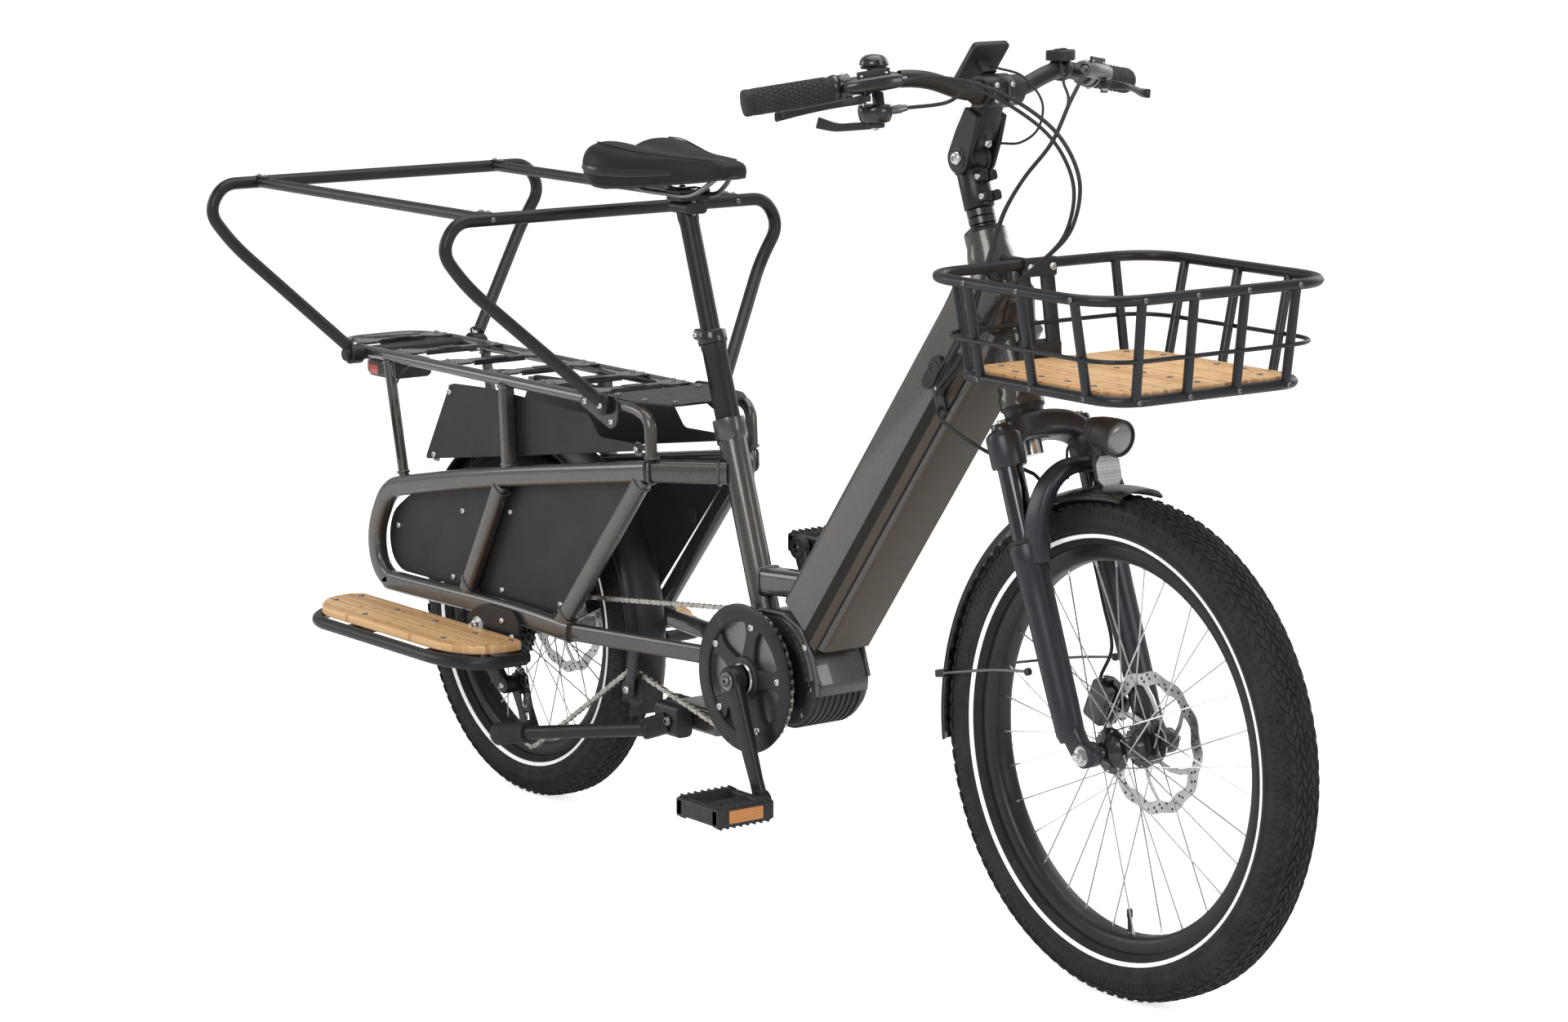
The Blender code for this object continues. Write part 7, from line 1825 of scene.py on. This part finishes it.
def shifter():
    centre = bar_at(-0.164, 0.01, 0)
    case = lathe([(-0.048, 0), (-0.048, 0.0165), (-0.0465, 0.019), (-0.04, 0.0212), (-0.033, 0.022),
            (-0.0285, 0.0214), (-0.0262, 0.019), (-0.0255, 0.012), (-0.0255, 0)], centre, Z, 48)
    link = bar(bar_at(-0.16, 0.004, -0.0135), bar_at(-0.16, 0.012, -0.029), 0.012, 0.014, 0.004, Y)
    clamp = lathe([(0, 0.0113), (0, 0.0142), (0.0008, 0.015), (0.009, 0.015), (0.0098, 0.0142),
            (0.0098, 0.0113)], bar_at(-0.17), (bar_at(-0.18) - bar_at(-0.16)).normalized(), 36, True)
    piece("shifter_case", "cockpit", "black_metal", GLOSS, case, sharp=45)
    piece("shifter_clamp", "cockpit", "black_metal", SATIN, link, clamp, bevel=0.0006, sharp=42)
    barrel = lathe([(0, 0.0052), (0.004, 0.0056), (0.012, 0.0056), (0.014, 0.0046), (0.02, 0.004), (0.02, 0)],
            bar_at(-0.146, 0.014, -0.036), (bar_at(-0.1) - bar_at(-0.15)).normalized() * 1, 16)
    piece("shifter_barrel", "cockpit", "black_metal", GREYS, barrel, sharp=40)
    at = bar_at(-0.164, 0.01, -0.0515)
    hub = lathe([(-0.003, 0), (-0.003, 0.011), (-0.002, 0.0122), (0.0022, 0.0122), (0.003, 0.0112),
            (0.003, 0)], at, Z, 32)
    blade = sweep(smooth([at, bar_at(-0.184, -0.004, -0.0512), bar_at(-0.203, -0.018, -0.05),
            bar_at(-0.222, -0.03, -0.042)], 5), rounded(0.011, 0.005, 0.0022), Z,
            scale=lambda t: 0.9 + 0.45 * max(0, t - 0.55) / 0.45)
    piece("shift_lever_blade", "gear_shift", "black_plastic", PLASTIC, hub, blade, hides=["shifter_lever"],
            bevel=0.0005, sharp=45)
    piece("shift_lever_screw", "gear_shift", "steel", SILVER, screw(at - Z * 0.003, -Z, 0.0052))


shifter()


def bell():
    way = (bar_at(-0.17) - bar_at(-0.15)).normalized()
    band = lathe([(0, 0.0113), (0, 0.0146), (0.001, 0.0152), (0.007, 0.0152), (0.008, 0.0146),
            (0.008, 0.0113)], bar_at(-0.1595), way, 36, True)
    at = bar_at(-0.1635)
    base = lathe([(0.014, 0), (0.014, 0.0085), (0.0165, 0.009), (0.0172, 0.0165), (0.0182, 0.0172),
            (0.0195, 0.0165), (0.0195, 0)], at, Z, 40)
    dome = lathe([(0.0205, 0), (0.0205, 0.0152), (0.0212, 0.018), (0.0228, 0.0184), (0.027, 0.0176),
            (0.031, 0.015), (0.0338, 0.0105), (0.035, 0.0052), (0.0352, 0)], at, Z, 48)
    piece("bell_clamp", "cockpit", "black_plastic", PLASTIC, band, base, hides=["bell"], sharp=42)
    piece("bell_dome", "cockpit", "black_metal", GLOSS, dome, sharp=50)
    piece("bell_striker", "cockpit", "steel", GREYS, pipe(smooth([at + Vector((0.01, -0.004, 0.0195)),
            at + Vector((0.02, -0.006, 0.0215)), at + Vector((0.0215, -0.0065, 0.027))], 4), 0.0013, 10),
          lathe([(0, 0), (0.0004, 0.0022), (0.004, 0.0026), (0.0044, 0)],
          at + Vector((0.0215, -0.0065, 0.0262)), Z, 14))


bell()


def display():
    mid = BAR_MIDDLE + Vector((-0.022, 0, 0.034))
    up = Vector((0.62, 0, 0.78)).normalized()
    outline = arcs([(-0.034, -0.029), (0.034, -0.029), (0.034, 0.029), (-0.034, 0.029)], 0.007, 5)
    side_of_screen = Vector((-0.78, 0, 0.62)).normalized()
    case = slab(outline, mid, 0.008, up, Y)
    piece("display_case", "cockpit", "black_plastic", PLASTIC, case, hides=["display"], bevel=0.0016,
            segments=3)
    piece("display_screen", "cockpit", "black_plastic", SCREEN,
            slab(arcs([(-0.022, -0.0255), (0.03, -0.0255), (0.03, 0.0255), (-0.022, 0.0255)], 0.004, 4),
            mid + side_of_screen * 0.0042, 0.0012, up, Y), bevel=0.0004)
    keys = [slab(rounded(0.006, 0.011, 0.002), mid + side_of_screen * 0.0044 - up * 0.0275 + Y * k, 0.0016,
            up, Y) for k in (-0.015, 0.0, 0.015)]
    piece("display_keys", "cockpit", "rubber", RUBBER, *keys, bevel=0.0005)
    arm = bar(mid + up * 0.004 - side_of_screen * 0.003, BAR_MIDDLE + Vector((-0.006, 0, 0.022)), 0.022, 0.01,
            0.003, Y)
    clip = lathe([(-0.008, 0.016), (-0.008, 0.0195), (0.008, 0.0195), (0.008, 0.016)], BAR_MIDDLE + Y * 0.032,
            Y, 36, True)
    piece("display_arm", "cockpit", "black_plastic", PLASTIC, arm, clip, bevel=0.0008, sharp=42)


display()


def remote():
    at = Vector((1.006, 0.128, 1.149))
    way = (bar_at(0.15) - bar_at(0.11)).normalized()
    ring = lathe([(0, 0.0113), (0, 0.0146), (0.001, 0.0154), (0.011, 0.0154), (0.012, 0.0146),
            (0.012, 0.0113)], bar_at(0.124), way, 36, True)
    box = slab(arcs([(-0.015, -0.02), (0.013, -0.02), (0.017, 0.004), (0.01, 0.021), (-0.012, 0.021)], 0.006,
            5), at, 0.013, ahead_of(1), Vector((-0.406, 0.913, 0)))
    piece("remote_case", "cockpit", "black_plastic", PLASTIC, ring, box, bevel=0.0018, segments=3, sharp=40)
    keys = [lathe([(0.0062, 0.0054), (0.0078, 0.0052), (0.0086, 0.004), (0.0084, 0)],
            at + Vector((-0.406, 0.913, 0)) * d, Z, 24) for d in (-0.01, 0.0045)]
    piece("remote_keys", "cockpit", "rubber", RUBBER, *keys)
    piece("remote_screw", "cockpit", "steel", SILVER, screw(bar_at(0.13, -0.0155, 0), -ahead_of(1), 0.0034,
            12))


remote()


# ------------------------------------------------------------------ basket
RIM_BACK, RIM_FRONT, RIM_SIDE, RIM_Z = 1.11, 1.45, 0.193, 0.901
FLOOR_BACK, FLOOR_FRONT, FLOOR_SIDE, FLOOR_Z = 1.136, 1.4381, 0.153, 0.7787


def loop_at(x0, x1, half, z, corner):
    return arcs([(x0, -half, z), (x1, -half, z), (x1, half, z), (x0, half, z)], corner, 8)


def basket():
    rim = loop_at(RIM_BACK, RIM_FRONT, RIM_SIDE, RIM_Z, 0.075)
    low = loop_at(FLOOR_BACK, FLOOR_FRONT, FLOOR_SIDE, FLOOR_Z, 0.05)
    wire = loop_at(1.1203, 1.4475, 0.175, 0.828, 0.062)
    # The feet of the side uprights sit back on the right and forward on the left.
    foot_lean = {-1: -0.022, 1: 0.012}
    side_sites = ((-1, (1.2095, 1.3065, 1.4035)), (1, (1.178, 1.275, 1.365)))
    sites = [((x + foot_lean[s], s * FLOOR_SIDE, FLOOR_Z), (x - 0.003, s * RIM_SIDE, RIM_Z)) for s,
            xs in side_sites for x in xs]
    sites += [((FLOOR_FRONT, y, FLOOR_Z), (RIM_FRONT, y * 1.03, RIM_Z))
            for y in (-0.127, -0.046, 0.034, 0.116)]
    sites += [((FLOOR_BACK, y, FLOOR_Z), (RIM_BACK, y * 1.03, RIM_Z)) for y in (-0.128, 0.128)]
    piece("basket_rim", "frame", "black_metal", SATIN, pipe([Vector(p) for p in rim], 0.0068, 20, True),
            hides=["basket"], sharp=50)
    piece("basket_base_frame", "frame", "black_metal", SATIN,
            pipe([Vector(p) for p in low], 0.0068, 20, True),
          *[bar((x, -0.151, 0.7762), (x, 0.151, 0.7762), 0.022, 0.0028, 0.001, X) for x in (1.2, 1.362)],
          sharp=50)
    piece("basket_wire", "frame", "black_metal", SATIN, pipe([Vector(p) for p in wire], 0.0028, 12, True),
            sharp=50)
    piece("basket_uprights", "frame", "black_metal", SATIN, *[rod(a, b, 0.006, 20) for a, b in sites],
            sharp=50)
    ends, fine = [], []
    for a, b in sites:
        for spot in (Vector(a), Vector(b)):
            out = Vector((0, 1 if spot.y > 0 else -1, 0)) if abs(spot.y) > 0.14 else Vector((1 if spot.x > 1.3
                    else -1, 0, 0))
            fine.append(screw(spot + out * 0.0066, out, 0.0034, 12))
    for a, b in sites:
        spot = Vector(a).lerp(Vector(b), 0.4)
        ends.append(bead(ringed(spot, Vector(b) - Vector(a), 0.0062), 0.0008, ripple=0))
    for y in (-0.02, 0.02):
        ends.append(bar((1.1262, y, 0.776), (1.1055, y, 0.904), 0.005, 0.022, 0.0015, X))
        fine += [screw((1.106 - 0.0022, y, 0.893), -X, 0.004), screw((1.12, y, 0.786), -X, 0.004)]
    ends.append(slab(arcs([(-0.027, 0.775), (0.027, 0.775), (0.027, 0.805), (-0.027, 0.805)], 0.005, 4),
            (1.128, 0, 0), 0.004, Y, Z))
    piece("basket_straps", "frame", "black_metal", SATIN, *ends, bevel=0.0, sharp=45)
    piece("basket_screws", "frame", "steel", GREYS, *fine)
    bosses = []
    for h in (0.52, 0.63):
        root = steer(h, 0.026)
        bosses.append(lathe([(0, 0), (0, 0.0105), (0.004, 0.011), (0.008, 0.0086),
                (max(0.02, 1.118 - root.x), 0.0086), (max(0.02, 1.118 - root.x), 0)], root, X, 28))
        bosses.append(bar((1.1145, -0.026, root.z), (1.1145, 0.026, root.z), 0.011, 0.024, 0.003, X))
    piece("basket_bosses", "frame", "black_metal", SATIN, *bosses, sharp=45)
    bolts = [screw((1.1205, s * 0.018, steer(h, 0.026).z), X, 0.0052, 16) for h in (0.52, 0.63)
            for s in (-1, 1)]
    piece("basket_boss_bolts", "frame", "steel", SILVER, *bolts)
    planks, heads = [], []
    x0, x1, gap, count = 1.145, 1.4291, 0.0035, 6
    wide = (x1 - x0 - gap * (count - 1)) / count
    for k in range(count):
        a = x0 + k * (wide + gap)
        b = a + wide
        half = 0.144
        cut = 0.034
        if k == 0:
            outline = [(a, -half + cut), (a + cut * 0.3, -half + cut * 0.3), (a + cut, -half), (b, -half),
                    (b, half), (a + cut, half), (a + cut * 0.3, half - cut * 0.3), (a, half - cut)]
        elif k == count - 1:
            outline = [(a, -half), (b - cut, -half), (b - cut * 0.3, -half + cut * 0.3), (b, -half + cut),
                    (b, half - cut), (b - cut * 0.3, half - cut * 0.3), (b - cut, half), (a, half)]
        else:
            outline = [(a, -half), (b, -half), (b, half), (a, half)]
        planks.append(slab(outline, (0, 0, 0.7832), 0.009, X, Y))
        for y in (-0.122, 0.0, 0.122):
            if (k in (0, 5)) and abs(y) > 0.1:
                y *= 0.85
            heads.append(lathe([(0.0, 0.0042), (0.0009, 0.0038), (0.001, 0.0022), (0.0003, 0.002),
                    (0.0003, 0)], ((a + b) / 2, y, 0.7877), Z, 14))
    piece("basket_slats", "frame", "bamboo", BAMBOO, *planks, hides=["basket_floor"], bevel=0.0014,
            segments=3)
    piece("basket_floor_screws", "frame", "steel", GREYS, *heads)


basket()


# ------------------------------------------------------------------ cables
RIGHT_LINE = [(1.03, -0.1535, 1.1295), (1.047, -0.115, 1.134), (1.076, -0.066, 1.124), (1.122, -0.034, 1.1),
        (1.178, -0.022, 1.064), (1.212, -0.02, 1.012), (1.209, -0.03, 0.955),
              (1.176, -0.045, 0.915), (1.126, -0.056, 0.875), (1.084, -0.06, 0.825), (1.048, -0.064, 0.775),
              (1.012, -0.062, 0.742), (0.99, -0.0505, 0.725)]
LEFT_LINE = [(1.03, 0.1535, 1.1275), (1.062, 0.115, 1.124), (1.094, 0.066, 1.098), (1.102, 0.03, 1.05),
        (1.078, 0.006, 1.005), (1.064, -0.012, 0.965), (1.062, -0.028, 0.925),
             (1.066, -0.048, 0.885), (1.062, -0.062, 0.835), (1.036, -0.066, 0.79), (1.005, -0.062, 0.756),
             (0.981, -0.0505, 0.735)]



def crossing(name, line, radius, hides=()):
    """A cable: a smooth tube through the given points, attached to no body."""
    cable = piece(name, None, "rubber", RUBBER, pipe(smooth(line, 8), radius, 12), hides=hides, sharp=60)
    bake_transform(cable)


crossing("hose_right", RIGHT_LINE, 0.0026, ["cables_right"])
crossing("hose_left", LEFT_LINE, 0.0026, ["cables_left"])
port = Vector((0.9836, -0.048, 0.7171))
oval = arcs([(-0.01, -0.021), (0.01, -0.021), (0.01, 0.021), (-0.01, 0.021)], 0.0095, 6)
run_up = (steer(HEAD_TOP) - steer(HEAD_LOW)).normalized()
piece("cable_port", "frame", "black_plastic", PLASTIC, slab(oval, port, 0.006, run_up.cross(Y), run_up),
        bevel=0.0018, segments=3)
piece("cable_port_screw", "frame", "steel", SILVER, screw(port - Y * 0.003 + run_up * 0.0155, -Y, 0.0026, 12))
hose_end = steer(0.362, -0.006)
crossing("brake_hose_front", [port + Vector((0.002, -0.001, -0.008)), (0.998, -0.064, 0.703),
        (1.02, -0.072, 0.696), (1.048, -0.072, 0.685),
                              (1.074, -0.056, 0.668), (1.09, -0.03, 0.652), hose_end], 0.0025)
calliper_at = FRONT_AXLE + Vector((cos(radians(157)), 0, sin(radians(157)))) * 0.106 + Y * 0.046
piece("brake_hose_leg", "fork_legs", "rubber", RUBBER,
      pipe(smooth([steer(0.362, -0.006), steer(0.34, -0.006, 0.02), steer(0.31, -0.004, 0.045),
      steer(0.262, 0.002, 0.059), steer(0.235, 0.002, 0.06), steer(0.185, 0.002, 0.06),
      steer(0.13, 0.0, 0.06), calliper_at + Vector((-0.016, 0.01, 0.02)), calliper_at], 6), 0.0024, 12),
      sharp=60)


def beside(line, shift):
    return [Vector(p) + shift for p in line]


second = [bar_at(-0.13, 0.014, -0.036), Vector((1.05, -0.1, 1.102))] + beside(RIGHT_LINE[2:9],
        Vector((-0.0065, -0.004, -0.006))) + beside(RIGHT_LINE[9:], Vector((-0.004, -0.0062, 0)))
crossing("shift_cable", second, 0.0024)
third = [Vector((1.015, 0.118, 1.143)), Vector((1.045, 0.098, 1.118))] + beside(LEFT_LINE[2:8],
        Vector((-0.006, 0.002, -0.003))) + beside(LEFT_LINE[8:], Vector((-0.003, -0.0062, 0)))
crossing("remote_cable", third, 0.0019)
fourth = [BAR_MIDDLE + Vector((-0.016, 0.004, 0.034)), BAR_MIDDLE + Vector((0.002, 0.006, 0.029)),
        Vector((1.056, 0.02, 1.13)), Vector((1.082, 0.03, 1.1)), Vector((1.076, 0.03, 1.066)),
        Vector((1.046, 0.027, 1.046)), Vector((1.008, 0.0258, 1.042))]
piece("display_cable", "cockpit", "rubber", RUBBER, pipe(smooth(fourth, 8), 0.0016, 10), sharp=60)
piece("cable_ties", "frame", "black_plastic", PLASTIC, *[lathe([(-0.0022, 0.006), (-0.0022, 0.0074),
        (0.0022, 0.0074), (0.0022, 0.006)], Vector(p) + Vector((-0.002, -0.003, -0.001)),
        Vector(q) - Vector(p), 20, True)
      for p, q in ((RIGHT_LINE[9], RIGHT_LINE[10]), (LEFT_LINE[8], LEFT_LINE[9]))])


# ------------------------------------------------------------------ what is left of the CAD, and the end
LOOKS = {"frame_paint": PAINT, "black_metal": SATIN, "black_plastic": PLASTIC, "rubber": RUBBER, "tyre": TYRE,
        "bamboo": BAMBOO,
         "alloy": SILVER, "steel": LINK, "red_lens": RED, "battery_case": CASE}
kinds = {entry["node"]: entry["material_slot"] for entry in frame["record"]["subparts"]}
for name, thing in frame["nodes"].items():
    for spot in thing.material_slots:
        spot.material = LOOKS[kinds[name]]
    if not thing.material_slots:
        thing.data.materials.append(LOOKS[kinds[name]])
